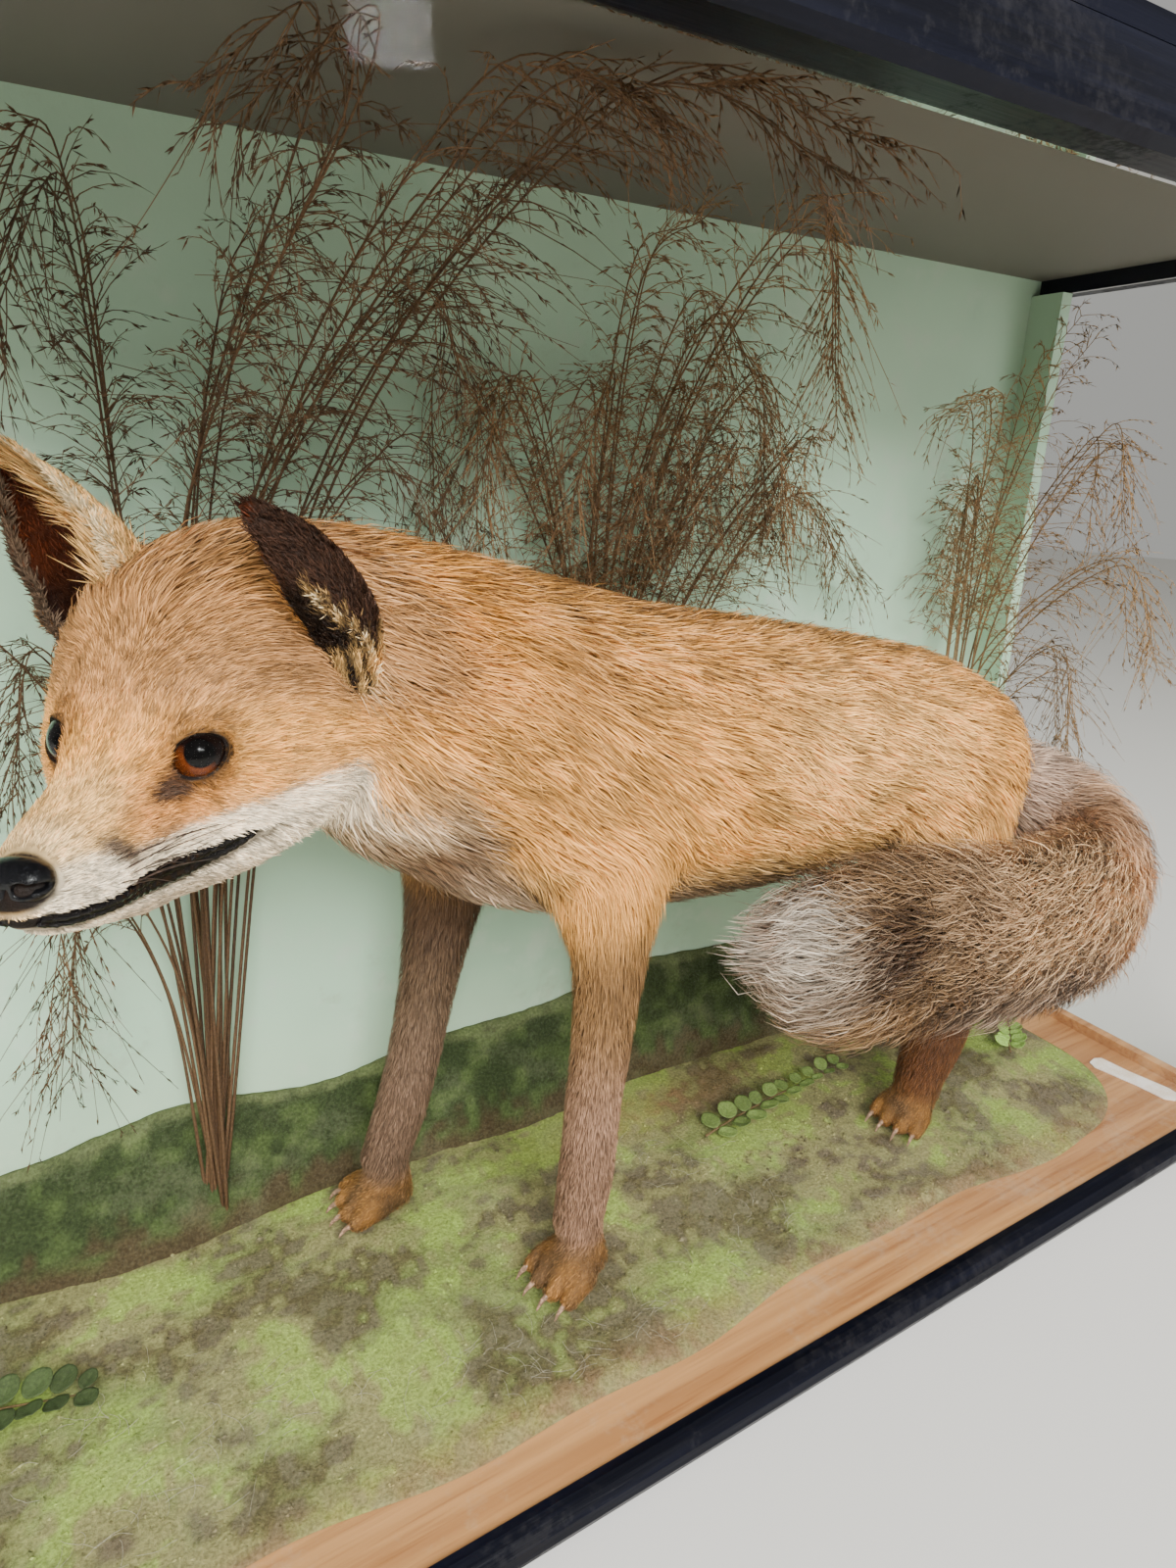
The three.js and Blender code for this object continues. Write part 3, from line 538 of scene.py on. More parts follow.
@dataclass(frozen=True)
class EyeSeat:
    """An eyeball's seat in the head, and the opening between its lids."""

    at: tuple
    look: tuple
    radius: float = 11.2
    opening: float = 10.3
    height: float = 6.1
    tilt: float = 0.42

    @property
    def axes(self) -> Array:
        """The way it looks, the way to its outer corner and the way up, as rows."""
        look = unit(np.array(self.look))
        outer = np.cross([0.0, 0.0, 1.0], look) * (1 if self.at[1] > 0 else -1)
        outer = unit(outer + self.tilt * np.array([0.0, 0.0, 1.0]))
        outer = unit(outer - look * (look @ outer))
        up = np.cross(look, outer)
        return np.stack([look, outer, up if up[2] > 0 else -up])

    def lens(self, local: Array) -> Array:
        """How far points are outside the almond between the lids, seen along the look."""
        arc = (self.opening**2 + self.height**2) / (2 * self.height)
        drop = arc - self.height
        over = np.hypot(local[:, 1], local[:, 2] + drop) - arc
        under = np.hypot(local[:, 1], local[:, 2] - drop * 0.8) - arc * 0.97
        return blend_max(over, under, 2.0)

    def local(self, points: Array) -> Array:
        """Points of the head's frame along the eye's own axes."""
        return (points - np.array(self.at)) @ self.axes.T


@dataclass(frozen=True)
class HeadForm:
    """The head: oval sections along the muzzle and skull, with eyes, brows, cheeks and a mouth line."""

    # x, top, underside, half-width, height of the widest place, squareness and the coat's depth.
    sections: tuple = (
        (-104, 56, -40, 34, -2, 2.0, 9), (-92, 62, -52, 52, -6, 2.0, 9),
        (-72, 58, -58, 62, -12, 2.0, 8), (-50, 52, -62, 61, -16, 2.0, 7),
        (-28, 44, -63, 51, -18, 2.1, 5), (-10, 34, -62, 39, -16, 2.2, 3.4),
        (4, 22, -60, 29.5, -16, 2.2, 2.2), (18, 8, -59, 23, -24, 2.2, 1.8),
        (34, -3, -55, 18.5, -30, 2.2, 1.5), (50, -10, -51, 16, -32, 2.2, 1.3),
        (63, -16, -47, 13, -32, 2.2, 1.1), (70, -21, -43, 9.6, -32, 2.1, 0.9),
    )
    # Bulges and hollows on both sides: centre, reach along each axis and height.
    relief: tuple = (
        ((-3, 18, 10), (14, 7, 5), 3.4), ((-24, 38, -14), (17, 10, 9), 1.6),
        ((-12, 32, 20), (18, 12, 14), -3.5), ((50, 17, -37), (13, 7, 8), 1.9),
        ((10, 0, 12), (15, 8, 7), -1.8), ((-22, 0, 42), (24, 4, 14), -1.0),
        ((-36, 40, 20), (14, 10, 12), -2.0), ((19, 19, -12), (9, 5, 6), -2.0),
        ((30, 21, -24), (12, 5, 6), 0.9), ((-6, 34, -30), (10, 7, 6), -0.8),
    )
    eyes: tuple = (
        EyeSeat((2.6, 20.8, -5.6), (0.86, 0.46, 0.12)),
        EyeSeat((1.6, -17.6, -1.8), (0.86, -0.46, 0.12)),
    )
    # Where the right side of the muzzle is pressed in, in the same terms.
    pressed: tuple = ((27, -19, -22), (21, 10, 17), -4.6)
    # The line between the lips, from under the nose back to the corner: x, z and half-thickness.
    mouth: tuple = (
        (73, -38.5, 1.5), (66, -40.5, 1.9), (54, -41.3, 2.3), (42, -41, 2.8), (30, -41, 3.4),
        (12, -41, 3.7), (-4, -39, 3.3), (-14, -36.5, 1.8),
    )
    lid: float = 1.2

    def width_at(self, x: Array) -> Array:
        """The sections' values at each place along the head, one column each."""
        rows = spline(np.array(self.sections, float), 5)
        return columns_at(x, rows[:, 0], rows[:, 1:])

    def mouth_at(self, x: Array) -> tuple[Array, Array]:
        """The height and half-thickness of the line between the lips, along the head."""
        line = spline(np.array(self.mouth), 4)[::-1]
        return np.interp(x, line[:, 0], line[:, 1]), np.interp(x, line[:, 0], line[:, 2])

    def shell(self, points: Array, skin: bool) -> Array:
        """The distance from the plain sections, before the face's features."""
        x, y, z = points.T
        inner = np.clip(x, self.sections[0][0], self.sections[-1][0])
        over = x - inner
        top, low, wide, middle, square, coat = self.width_at(inner).T
        if skin:
            top, low, wide = top - coat, low + coat, wide - coat
        tall = np.where(z > middle, top - middle, middle - low)
        ring = ((np.abs(y) / wide) ** square + (np.abs(z - middle) / tall) ** square) ** (1.0 / square)
        rho = np.hypot(ring, over / 7.0)
        radius = np.sqrt(y * y + (z - middle) ** 2 + over * over)
        return np.where(rho < 0.05, -np.minimum(wide, tall), radius - radius / np.maximum(rho, 0.05))

    def measure(self, points: Array, skin: bool = True, fine: bool = True) -> Array:
        """The distance from the head.

        Args:
            points: where to measure, in the head's frame.
            skin: whether to measure from the skin, or else from the coat's outline.
            fine: whether to open the lids and press in the mouth.

        Returns:
            The distances, below zero inside.
        """
        away = self.shell(points, skin)
        sided = np.column_stack([points[:, 0], np.abs(points[:, 1]), points[:, 2]])
        for centre, reach, height in self.relief:
            away = away - height * np.exp(-(((sided - centre) / reach) ** 2).sum(axis=1))
        centre, reach, height = self.pressed
        away = away - height * np.exp(-(((points - centre) / reach) ** 2).sum(axis=1))
        for seat in self.eyes:
            local = seat.local(points)
            lens = seat.lens(local)
            cover = self.lid
            if fine:
                cover = self.lid - 2.7 + 2.7 * ramp(lens, -1.0, 1.0)
                away = blend_max(away, -np.maximum(lens, -local[:, 0]), 2.0)
            away = blend_min(away, np.linalg.norm(local, axis=1) - seat.radius - cover, 3.0)
            fold = np.exp(-(((lens - 4.4) / 1.2) ** 2)) * ramp(local[:, 2], 0.0, 5.0)
            away = away + 0.9 * fold * (local[:, 0] > 0)
        if fine:
            level, thick = self.mouth_at(points[:, 0])
            on = ramp(points[:, 0], -18, -11) * ramp(points[:, 0], 76, 68)
            away = away + 1.3 * on * np.exp(-(((points[:, 2] - level) / (thick + 0.6)) ** 2))
        return away


class Limb(Enum):
    """The fox's parts that are not its head."""

    TRUNK = "trunk"
    NECK = "neck"
    TAIL = "tail"
    FRONT_LEFT = "front_left"
    FRONT_RIGHT = "front_right"
    HIND_LEFT = "hind_left"
    HIND_RIGHT = "hind_right"


LEG_UP = (1, 0, 0)
LEG_COAT = (10, 7, 4.5, 3, 2.2, 2, 2)
LIMB_STATIONS = {
    Limb.TRUNK: (
        [
            [-150, 14, 322, 44, 52], [-115, 17, 322, 58, 72], [-70, 19, 311, 66, 84],
            [0, 20, 300, 66, 86], [75, 19, 292, 63, 83], [140, 16, 288, 60, 75], [195, 12, 284, 60, 66],
            [242, 8, 272, 54, 56],
        ],
        (11, 10, 9, 9, 9, 9, 9, 9),
    ),
    Limb.NECK: (
        [
            [-66, 18, 320, 50, 66], [-105, 16, 335, 54, 71], [-145, 14, 353, 55, 70],
            [-185, 12, 367, 55, 66], [-218, 8, 376, 54, 58], [-246, 0, 376, 46, 46],
        ],
        (11, 12, 12, 11, 9, 8),
    ),
    Limb.TAIL: (
        [
            [262, 12, 262, 24, 26], [305, 4, 246, 34, 38], [334, -24, 218, 38, 50],
            [318, -62, 194, 40, 60], [262, -84, 188, 38, 62], [196, -88, 192, 37, 60],
            [128, -87, 204, 37, 59], [66, -86, 211, 36, 57], [32, -85, 221, 22, 32],
            [18, -84, 224, 9, 14],
        ],
        (9, 15, 20, 23, 23, 23, 23, 24, 16, 7),
    ),
    Limb.FRONT_LEFT: (
        [
            [-58, -22, 300, 20, 42], [-60, -34, 250, 22, 33], [-61, -37, 215, 18, 22],
            [-64, -37, 170, 16, 18], [-68, -36, 125, 15, 16.5], [-71, -36, 85, 15.5, 16.5],
            [-76, -36, 52, 14.5, 15],
        ],
        LEG_COAT,
    ),
    Limb.FRONT_RIGHT: (
        [
            [-98, 52, 300, 22, 42], [-106, 60, 250, 23, 32], [-112, 64, 212, 19, 24],
            [-121, 66, 166, 16, 19], [-132, 66, 118, 15, 17], [-143, 66, 80, 15.5, 16.5],
            [-154, 67, 50, 14.5, 15],
        ],
        LEG_COAT,
    ),
    Limb.HIND_LEFT: (
        [
            [222, -14, 275, 26, 54], [212, -26, 222, 28, 50], [212, -30, 172, 23, 36],
            [226, -33, 132, 18, 27], [226, -34, 102, 18, 25], [215, -34, 72, 19, 24],
            [204, -35, 46, 16, 17.5],
        ],
        LEG_COAT,
    ),
    Limb.HIND_RIGHT: (
        [
            [232, 34, 275, 24, 50], [238, 46, 222, 25, 42], [258, 52, 172, 20, 30],
            [292, 54, 132, 16, 22], [304, 55, 104, 16, 20], [300, 55, 72, 17, 20],
            [292, 56, 46, 15, 16],
        ],
        LEG_COAT,
    ),
}


@dataclass(frozen=True)
class PawSeat:
    """Where a paw stands: its heel, the front of its toes and its half-width."""

    heel: tuple
    toe: tuple
    wide: float
    high: float = 19.0
    floor: float = 14.0
    spread: tuple = (-0.76, -0.27, 0.27, 0.76)

    @property
    def middle(self) -> Array:
        """Midway between its heel and its toes."""
        return (np.array(self.heel) + np.array(self.toe)) / 2

    @property
    def way(self) -> Array:
        """The level direction that the toes point in."""
        return unit(np.array(self.toe, float) - np.array(self.heel, float))

    @property
    def reach(self) -> float:
        """The paw's length from heel to toes."""
        return float(np.linalg.norm(np.array(self.toe, float) - np.array(self.heel, float)))

    def toe_reach(self, off: float) -> float:
        """How far along the paw a toe ends, less for the outer toes."""
        return self.reach * (0.93 - 0.22 * abs(off))

    def spot(self, on: float, off: float, drop: float) -> list[float]:
        """A point on a way along the paw, off to its side and dropped from its top."""
        x, y = self.way
        across, along = self.heel[0] + x * on - y * off, self.heel[1] + y * on + x * off
        return [across, along, self.floor + self.high - drop]

    def tubes(self) -> list[Tube]:
        """The pad and the four toes."""
        pad = [
            [*self.spot(-2, 0, 2), self.wide * 0.7, 17.5],
            [*self.spot(self.reach * 0.35, 0, 5), self.wide * 0.86, 16],
            [*self.spot(self.reach * 0.6, 0, 9), self.wide * 0.9, 11.5],
        ]
        toes = []
        for off in self.spread:
            on = self.toe_reach(off)
            toes.append(
                [
                    [*self.spot(on - 17, off * self.wide * 0.9, 6), 5.0, 8.8],
                    [*self.spot(on - 6, off * self.wide, 8), 5.2, 8],
                    [*self.spot(on, off * self.wide * 1.04, 11.5), 5.0, 6.6],
                ]
            )
        return [Tube(pad, 2.0, cap=0.65), *(Tube(t, 0.9) for t in toes)]

    def claws(self) -> list[Array]:
        """Each claw's line, with its radius as a fourth column."""
        out = []
        for off in self.spread:
            on = self.toe_reach(off)
            rows = [
                [*self.spot(on + 1, off * self.wide * 1.05, 10.5), 1.6],
                [*self.spot(on + 5, off * self.wide * 1.07, 11.4), 1.3],
                [*self.spot(on + 8, off * self.wide * 1.09, 13.6), 0.85],
                [*self.spot(on + 10, off * self.wide * 1.1, 16.2), 0.3],
            ]
            out.append(spline(np.array(rows), 4))
        return out


PAWS = {
    Limb.FRONT_LEFT: PawSeat((-70, -36), (-104, -42), 21),
    Limb.FRONT_RIGHT: PawSeat((-148, 66), (-184, 70), 20),
    Limb.HIND_LEFT: PawSeat((208, -34), (174, -40), 20),
    Limb.HIND_RIGHT: PawSeat((294, 56), (259, 60), 20),
}


class FoxForm:
    """The whole fox as a field of distances, over a grid for the body and by formula for the head."""

    pitch = 3.0
    coarse = 4
    band = 15.0
    margin = 34.0
    paw_margin = 12.0
    floor = 14.4
    blends = {Limb.TRUNK: 1.0, Limb.NECK: 34.0, Limb.TAIL: 14.0}
    leg_blend = 22.0
    head_blend = 16.0
    paw_blend = 13.0
    toe_blend = 3.5

    def __init__(self) -> None:
        """Lays out the parts and fills the grid."""
        self.head_frame = HeadFrame()
        self.head = HeadForm()
        self.limbs = {
            limb: Tube(rows, coat, LEG_UP if limb in PAWS else (0, 0, 1), 0.6 if limb in PAWS else 0.8)
            for limb, (rows, coat) in LIMB_STATIONS.items()
        }
        self.paws = {limb: seat.tubes() for limb, seat in PAWS.items()}
        self.low = np.array([-350.0, -150.0, 2.0])
        self.high = np.array([400.0, 140.0, 470.0])
        self.skin = self.fill(True)
        self.outline = self.fill(False)

    def field(self, points: Array, skin: bool) -> Array:
        """How far points are from the skin, or else from the coat's outline."""
        away = np.full(len(points), 60.0)

        def lay(low: Array, high: Array, measure: Measure, reach: float) -> None:
            """Blends in a part that lies inside a box."""
            inside = np.flatnonzero(within(points, low, high))
            away[inside] = blend_min(away[inside], measure(points[inside]), reach)

        for limb, tube in self.limbs.items():
            reach = self.blends.get(limb, self.leg_blend)
            lay(*tube.block(self.margin), partial(tube.gap, skin=skin), reach)
        corners = product((-112 - self.margin, 80 + self.margin), (-96, 96), (-98, 96))
        corners = self.head_frame.outside(np.array(list(corners)))
        head = partial(self.head_gap, skin=skin, fine=False)
        lay(corners.min(axis=0), corners.max(axis=0), head, self.head_blend)
        for tubes in self.paws.values():
            for tube, reach in zip(tubes, (self.paw_blend, *[self.toe_blend] * 4)):
                lay(*tube.block(self.paw_margin), partial(tube.gap, skin=skin), reach)
        return np.maximum(away, self.floor - points[:, 2])

    def head_gap(self, points: Array, skin: bool = True, fine: bool = True) -> Array:
        """How far points are from the head."""
        return self.head.measure(self.head_frame.inside(points), skin, fine)

    def fill(self, skin: bool) -> Array:
        """The grid of distances, exact near the surface and from a coarse grid elsewhere."""
        cells = np.ceil((self.high - self.low) / self.pitch / self.coarse).astype(int)
        axes = [self.low[i] + self.pitch * self.coarse * np.arange(cells[i] + 1) for i in range(3)]
        corners = np.stack(np.meshgrid(*axes, indexing="ij"), axis=-1).reshape(-1, 3)
        values = self.field(corners, skin).reshape(cells + 1)
        for axis, count in enumerate(cells * self.coarse + 1):
            place = np.arange(count) / self.coarse
            low = np.minimum(place.astype(int), values.shape[axis] - 2)
            share = (place - low).reshape([-1 if a == axis else 1 for a in range(3)])
            values = values.take(low, axis) * (1 - share) + values.take(low + 1, axis) * share
        near = np.nonzero(np.abs(values) < self.band)
        values[near] = self.field(np.stack(near, axis=-1) * self.pitch + self.low, skin)
        return values

    def sample(self, grid: Array, points: Array) -> Array:
        """A grid's value at points between its corners."""
        place = (points - self.low) / self.pitch
        top = np.array(grid.shape) - 1.001
        place = np.clip(place, 0.0, top)
        low = place.astype(np.int64)
        return between_corners(low, place - low, lambda cells: grid[tuple(cells.T)])

    def body(self, points: Array) -> Array:
        """The distance from the skin, from the grid."""
        return self.sample(self.skin, points)

    def room(self, points: Array) -> Array:
        """How far inside the coat's outline points are."""
        return -self.sample(self.outline, points)

    def face(self, points: Array) -> Array:
        """The distance from the skin of the head and neck, by formula, with lids and mouth."""
        return blend_min(self.limbs[Limb.NECK].gap(points), self.head_gap(points), self.head_blend)

    @staticmethod
    def slope(measure: Measure, points: Array, step: float = 0.8) -> Array:
        """The way that leads straight out of a field of distances."""
        total = np.zeros((len(points), 3))
        for corner in np.array([[1, 1, 1], [1, -1, -1], [-1, 1, -1], [-1, -1, 1]], float):
            total += corner * measure(points + corner * step)[:, None]
        return unit(total)


# ---- The skin, its markings and the lie of its coat ----


def split_near(points: Array, tris: Array, near: Array) -> tuple[Array, Array]:
    """Halves the edges of a mesh whose two ends are both near, and fills in between.

    Args:
        points: the mesh's points.
        tris: its three-sided faces.
        near: whether each point is near.

    Returns:
        The finer mesh's points and faces.
    """
    edges = np.stack([tris, np.roll(tris, -1, axis=1)], axis=-1)
    flagged = near[edges].all(axis=-1)
    wanted, inverse = np.unique(np.sort(edges, axis=-1)[flagged], axis=0, return_inverse=True)
    middle = np.full(tris.shape, -1)
    middle[flagged] = len(points) + inverse.reshape(-1)
    points = np.vstack([points, points[wanted].mean(axis=1)])
    count = flagged.sum(axis=1)
    out = [tris[count == 0]]
    (a, b, c), (ab, bc, ca) = tris[count == 3].T, middle[count == 3].T
    out += [faces_of(*t) for t in ((a, ab, ca), (b, bc, ab), (c, ca, bc), (ab, bc, ca))]
    for k in range(3):
        turned, mid, flag = (np.roll(each, -k, axis=1) for each in (tris, middle, flagged))
        one, two = (count == 1) & flag[:, 0], (count == 2) & ~flag[:, 0]
        (a, b, c), ab = turned[one].T, mid[one, 0]
        out += [faces_of(*t) for t in ((a, ab, c), (ab, b, c))]
        (a, b, c), (_, bc, ca) = turned[two].T, mid[two].T
        out += [faces_of(*t) for t in ((a, b, bc), (a, bc, ca), (ca, bc, c))]
    return points, np.vstack(out)


def normals_of(points: Array, tris: Array) -> Array:
    """The normal at each point of a mesh of triangles."""
    a, b, c = (points[tris[:, i]] for i in range(3))
    face = np.cross(b - a, c - a)
    total = np.zeros_like(points)
    for i in range(3):
        for axis in range(3):
            total[:, axis] += np.bincount(tris[:, i], face[:, axis], len(points))
    return unit(total)


def nose_gap(local: Array) -> Array:
    """How far points of the head's frame are from the middle of the nose, less so to its sides."""
    return np.linalg.norm((local - [73, 0, -27]) / [1, 1.25, 1], axis=1)


class Region(Enum):
    """The stretches of coat that are made as pieces of their own."""

    HEAD = 0
    NECK = 1
    TRUNK = 2
    TAIL = 3
    FRONT_LEGS = 4
    HIND_LEGS = 5
    EARS = 6


@dataclass(frozen=True)
class Ear:
    """A cupped ear: a thin sheet rolled round its line, open on one side."""

    name: str
    line: tuple
    opening: tuple
    wide: float
    taper: tuple
    roll: tuple
    thick: float = 1.7
    rows: int = 40
    columns: int = 34

    def sheet(self, frame_of: HeadFrame) -> dict[str, Array]:
        """The ear's surface.

        Args:
            frame_of: the head's frame.

        Returns:
            Its points, faces, way to the tip, share of the line, share of the roll and side.
        """
        stations = spline(np.column_stack([self.line, self.taper, self.roll]), 16)
        share = np.linspace(0, len(stations) - 1, self.rows)
        rows = columns_at(share, np.arange(len(stations)), stations)
        ways = unit(np.gradient(rows[:, :3], axis=0))
        opened = unit(np.array(self.opening, float))
        across = unit(np.cross(opened, ways))
        deep = np.cross(ways, across)
        turns = np.linspace(-1, 1, self.columns)
        along = np.linspace(0, 1, self.rows)
        angle = turns[None, :] * rows[:, 5:6]
        layers = []
        for thick in (0.0, self.thick):
            shrink = thick * (1.1 - 0.5 * along)[:, None]
            wide = np.maximum(rows[:, 3:4] * self.wide - shrink, 0.6)
            tall = np.maximum(rows[:, 4:5] * self.wide - shrink, 0.5)
            ripple = 1 + 0.035 * np.sin(along[:, None] * 21 + turns * 2) * np.abs(turns) ** 3
            side = (wide * ripple * np.sin(angle))[..., None] * across[:, None]
            back = (-tall * np.cos(angle))[..., None] * deep[:, None]
            layers.append(rows[:, None, :3] + side + back)
        points = frame_of.outside(np.stack(layers).reshape(-1, 3))
        index = np.arange(self.rows * self.columns).reshape(self.rows, self.columns)
        quads = faces_of(index[:-1, :-1], index[:-1, 1:], index[1:, 1:], index[1:, :-1])
        half = index.size
        rim = np.concatenate([index[:, 0], index[-1, 1:], index[::-1, -1][1:]])
        edge = faces_of(rim[:-1], rim[1:], rim[1:] + half, rim[:-1] + half)
        quads = np.vstack([quads, quads[:, ::-1] + half, edge])
        tris = np.vstack([quads[:, :3], quads[:, [0, 2, 3]]])
        middle = frame_of.outside(rows[:, :3]).mean(axis=0)
        outer = points[:half]
        flipped = dot(normals_of(points, tris)[:half], outer - middle).mean() < 0

        def grid(values: Array) -> Array:
            """A number for each point of both sheets."""
            return np.tile(np.broadcast_to(values, index.shape).reshape(-1), 2)

        def grid_of_ways(vectors: Array) -> Array:
            """A direction for each point of both sheets, in the case's frame."""
            full = np.broadcast_to(vectors[:, None], (*index.shape, 3)).reshape(-1, 3)
            return np.tile(frame_of.turned(full), (2, 1))

        return {
            "points": points,
            "tris": tris[:, ::-1] if flipped else tris,
            "way": grid_of_ways(ways),
            "along": grid(along[:, None]),
            "turn": grid(turns[None, :]),
            "inner": np.repeat([0.0, 1.0], half),
            "open_way": np.tile(frame_of.turned(opened), (2 * half, 1)),
            "across": grid_of_ways(across),
        }


EARS = (
    Ear(
        "left",
        ((-66, 56, 10), (-57, 54, 36), (-38, 45, 57), (-16, 36.5, 74)),
        (0.14, -0.82, -0.56),
        25,
        ((0.66, 0.5), (0.78, 0.6), (0.7, 0.56), (0.24, 0.2)),
        (2.3, 2.3, 2.2, 1.9),
    ),
    Ear(
        "right",
        ((-66, -36, 22), (-60, -45, 46), (-55, -58.5, 72), (-51, -71, 98)),
        (0.85, -0.42, -0.3),
        33,
        ((0.7, 0.5), (0.95, 0.6), (0.76, 0.44), (0.16, 0.12)),
        (2.3, 1.8, 1.6, 1.3),
    ),
)


class Tones:
    """The coat's named tones."""

    gold = fur(222, 168, 110)
    amber = fur(216, 148, 76)
    rust = fur(198, 132, 72)
    saddle = fur(196, 144, 94)
    buff = fur(232, 192, 144)
    cream = fur(236, 212, 180)
    white = fur(234, 218, 200)
    grey = fur(170, 150, 132)
    crown = fur(172, 129, 94)
    leg_brown = fur(150, 112, 76)
    mauve = fur(148, 118, 104)
    umber = fur(104, 70, 48)
    soot = fur(58, 40, 34)
    lid = fur(34, 24, 20)
    smoke = fur(98, 82, 72)
    tail_dark = fur(68, 48, 38)
    tail_grey = fur(190, 178, 168)
    lilac = fur(180, 160, 152)
    ear_inside = fur(92, 50, 36)


class Skin:
    """The fox's skin as one mesh, with what its coat needs at each point."""

    # Boxes in the head's frame: where the mesh is made finer, finer still, and moved onto the formula.
    fine_box = ((-70.0, -84.0, -76.0), (math.inf, 84.0, math.inf))
    finest_box = ((-30.0, -60.0, -math.inf), (math.inf, 60.0, math.inf))
    settled_box = ((-80.0, -90.0, -80.0), (math.inf, 90.0, math.inf))
    far = 99.0

    def __init__(self, form: FoxForm, ears: Sequence[Ear]) -> None:
        """Meshes the form, joins the ears and works out the lie, length and tone of the coat."""
        self.form = form
        self.shape()
        self.join_ears(ears)
        self.normal = normals_of(self.points, self.tris)
        self.place_parts()
        self.lay_coat()
        self.colour()

    def shape(self) -> None:
        """Meshes the body, and the head again more finely."""
        form = self.form
        points, quads = surface_of(form.skin, form.low, form.pitch)
        tris = np.vstack([quads[:, :3], quads[:, [0, 2, 3]]])
        local = form.head_frame.inside(points)
        points, tris = split_near(points, tris, within(local, *self.fine_box))
        points = self.settle(points, 2)
        local = form.head_frame.inside(points)
        line = np.array(form.head.mouth)
        level = np.interp(local[:, 0], line[::-1, 0], line[::-1, 1])
        near = (local[:, 0] > 56) | ((local[:, 0] > -22) & (np.abs(local[:, 2] - level) < 7))
        for seat in form.head.eyes:
            near |= np.linalg.norm(local - np.array(seat.at), axis=1) < 22
        points, tris = split_near(points, tris, near & within(local, *self.finest_box))
        self.points, self.tris = self.settle(points, 3), tris

    def settle(self, points: Array, rounds: int) -> Array:
        """Moves the head's points onto its formula's surface."""
        form = self.form
        local = form.head_frame.inside(points)
        near = within(local, *self.settled_box)
        part = points[near]
        share = ramp(local[near, 0], -80, -64)[:, None]
        for _ in range(rounds):
            away = form.face(part)[:, None]
            part = part - share * np.clip(away, -2.5, 2.5) * form.slope(form.face, part, 0.4)
        points = points.copy()
        points[near] = part
        return points

    def join_ears(self, ears: Sequence[Ear]) -> None:
        """Adds the ears' sheets to the mesh."""
        self.body_count = len(self.points)
        sheets = [ear.sheet(self.form.head_frame) for ear in ears]
        size = self.body_count
        self.ear = {key: np.zeros((size, 3)) for key in ("way", "open_way", "across")}
        self.ear |= {key: np.zeros(size) for key in ("along", "turn", "inner", "side")}
        for ear, sheet in zip(ears, sheets):
            self.tris = np.vstack([self.tris, sheet["tris"] + len(self.points)])
            self.points = np.vstack([self.points, sheet["points"]])
            sheet["side"] = np.full(len(sheet["along"]), 1.0 if ear.name == "left" else -1.0)
            for key, known in self.ear.items():
                self.ear[key] = np.concatenate([known, sheet[key]])
        self.is_ear = np.arange(len(self.points)) >= self.body_count

    def place_parts(self) -> None:
        """Finds which part each point belongs to, and where it lies on it."""
        form = self.form
        self.local = form.head_frame.inside(self.points)
        self.found = {limb: tube.measure(self.points) for limb, tube in form.limbs.items()}
        head = form.head.measure(self.local, fine=False)
        weights = {limb: closeness(found.distance) for limb, found in self.found.items()}
        gaps = []
        for limb, tubes in form.paws.items():
            gaps.append(np.min([tube.gap(self.points) for tube in tubes], axis=0))
            weights[limb] = np.maximum(weights[limb], closeness(gaps[-1]))
        total = sum(weights.values()) + closeness(head)
        self.weight = {limb: w / total for limb, w in weights.items()}
        self.head_weight = closeness(head) / total
        self.paw_weight = closeness(np.min(gaps, axis=0), 4.0)
        front = self.weight[Limb.FRONT_LEFT] + self.weight[Limb.FRONT_RIGHT]
        hind = self.weight[Limb.HIND_LEFT] + self.weight[Limb.HIND_RIGHT]
        body = (self.weight[limb] for limb in (Limb.NECK, Limb.TRUNK, Limb.TAIL))
        self.region = np.argmax([self.head_weight, *body, front, hind], axis=0)
        self.region[self.is_ear] = Region.EARS.value
        self.leg_weight = front + hind
        self.eye_gap = np.full(len(self.points), self.far)
        for seat in form.head.eyes:
            local = seat.local(self.local)
            seen = (local[:, 0] > -2) & (np.linalg.norm(local, axis=1) < 26)
            self.eye_gap = np.minimum(self.eye_gap, np.where(seen, seat.lens(local), self.far))
        level, thick = form.head.mouth_at(self.local[:, 0])
        self.lip_gap = np.abs(self.local[:, 2] - level) - thick
        self.lip_gap[(self.local[:, 0] <= -18) | (self.head_weight < 0.5)] = self.far

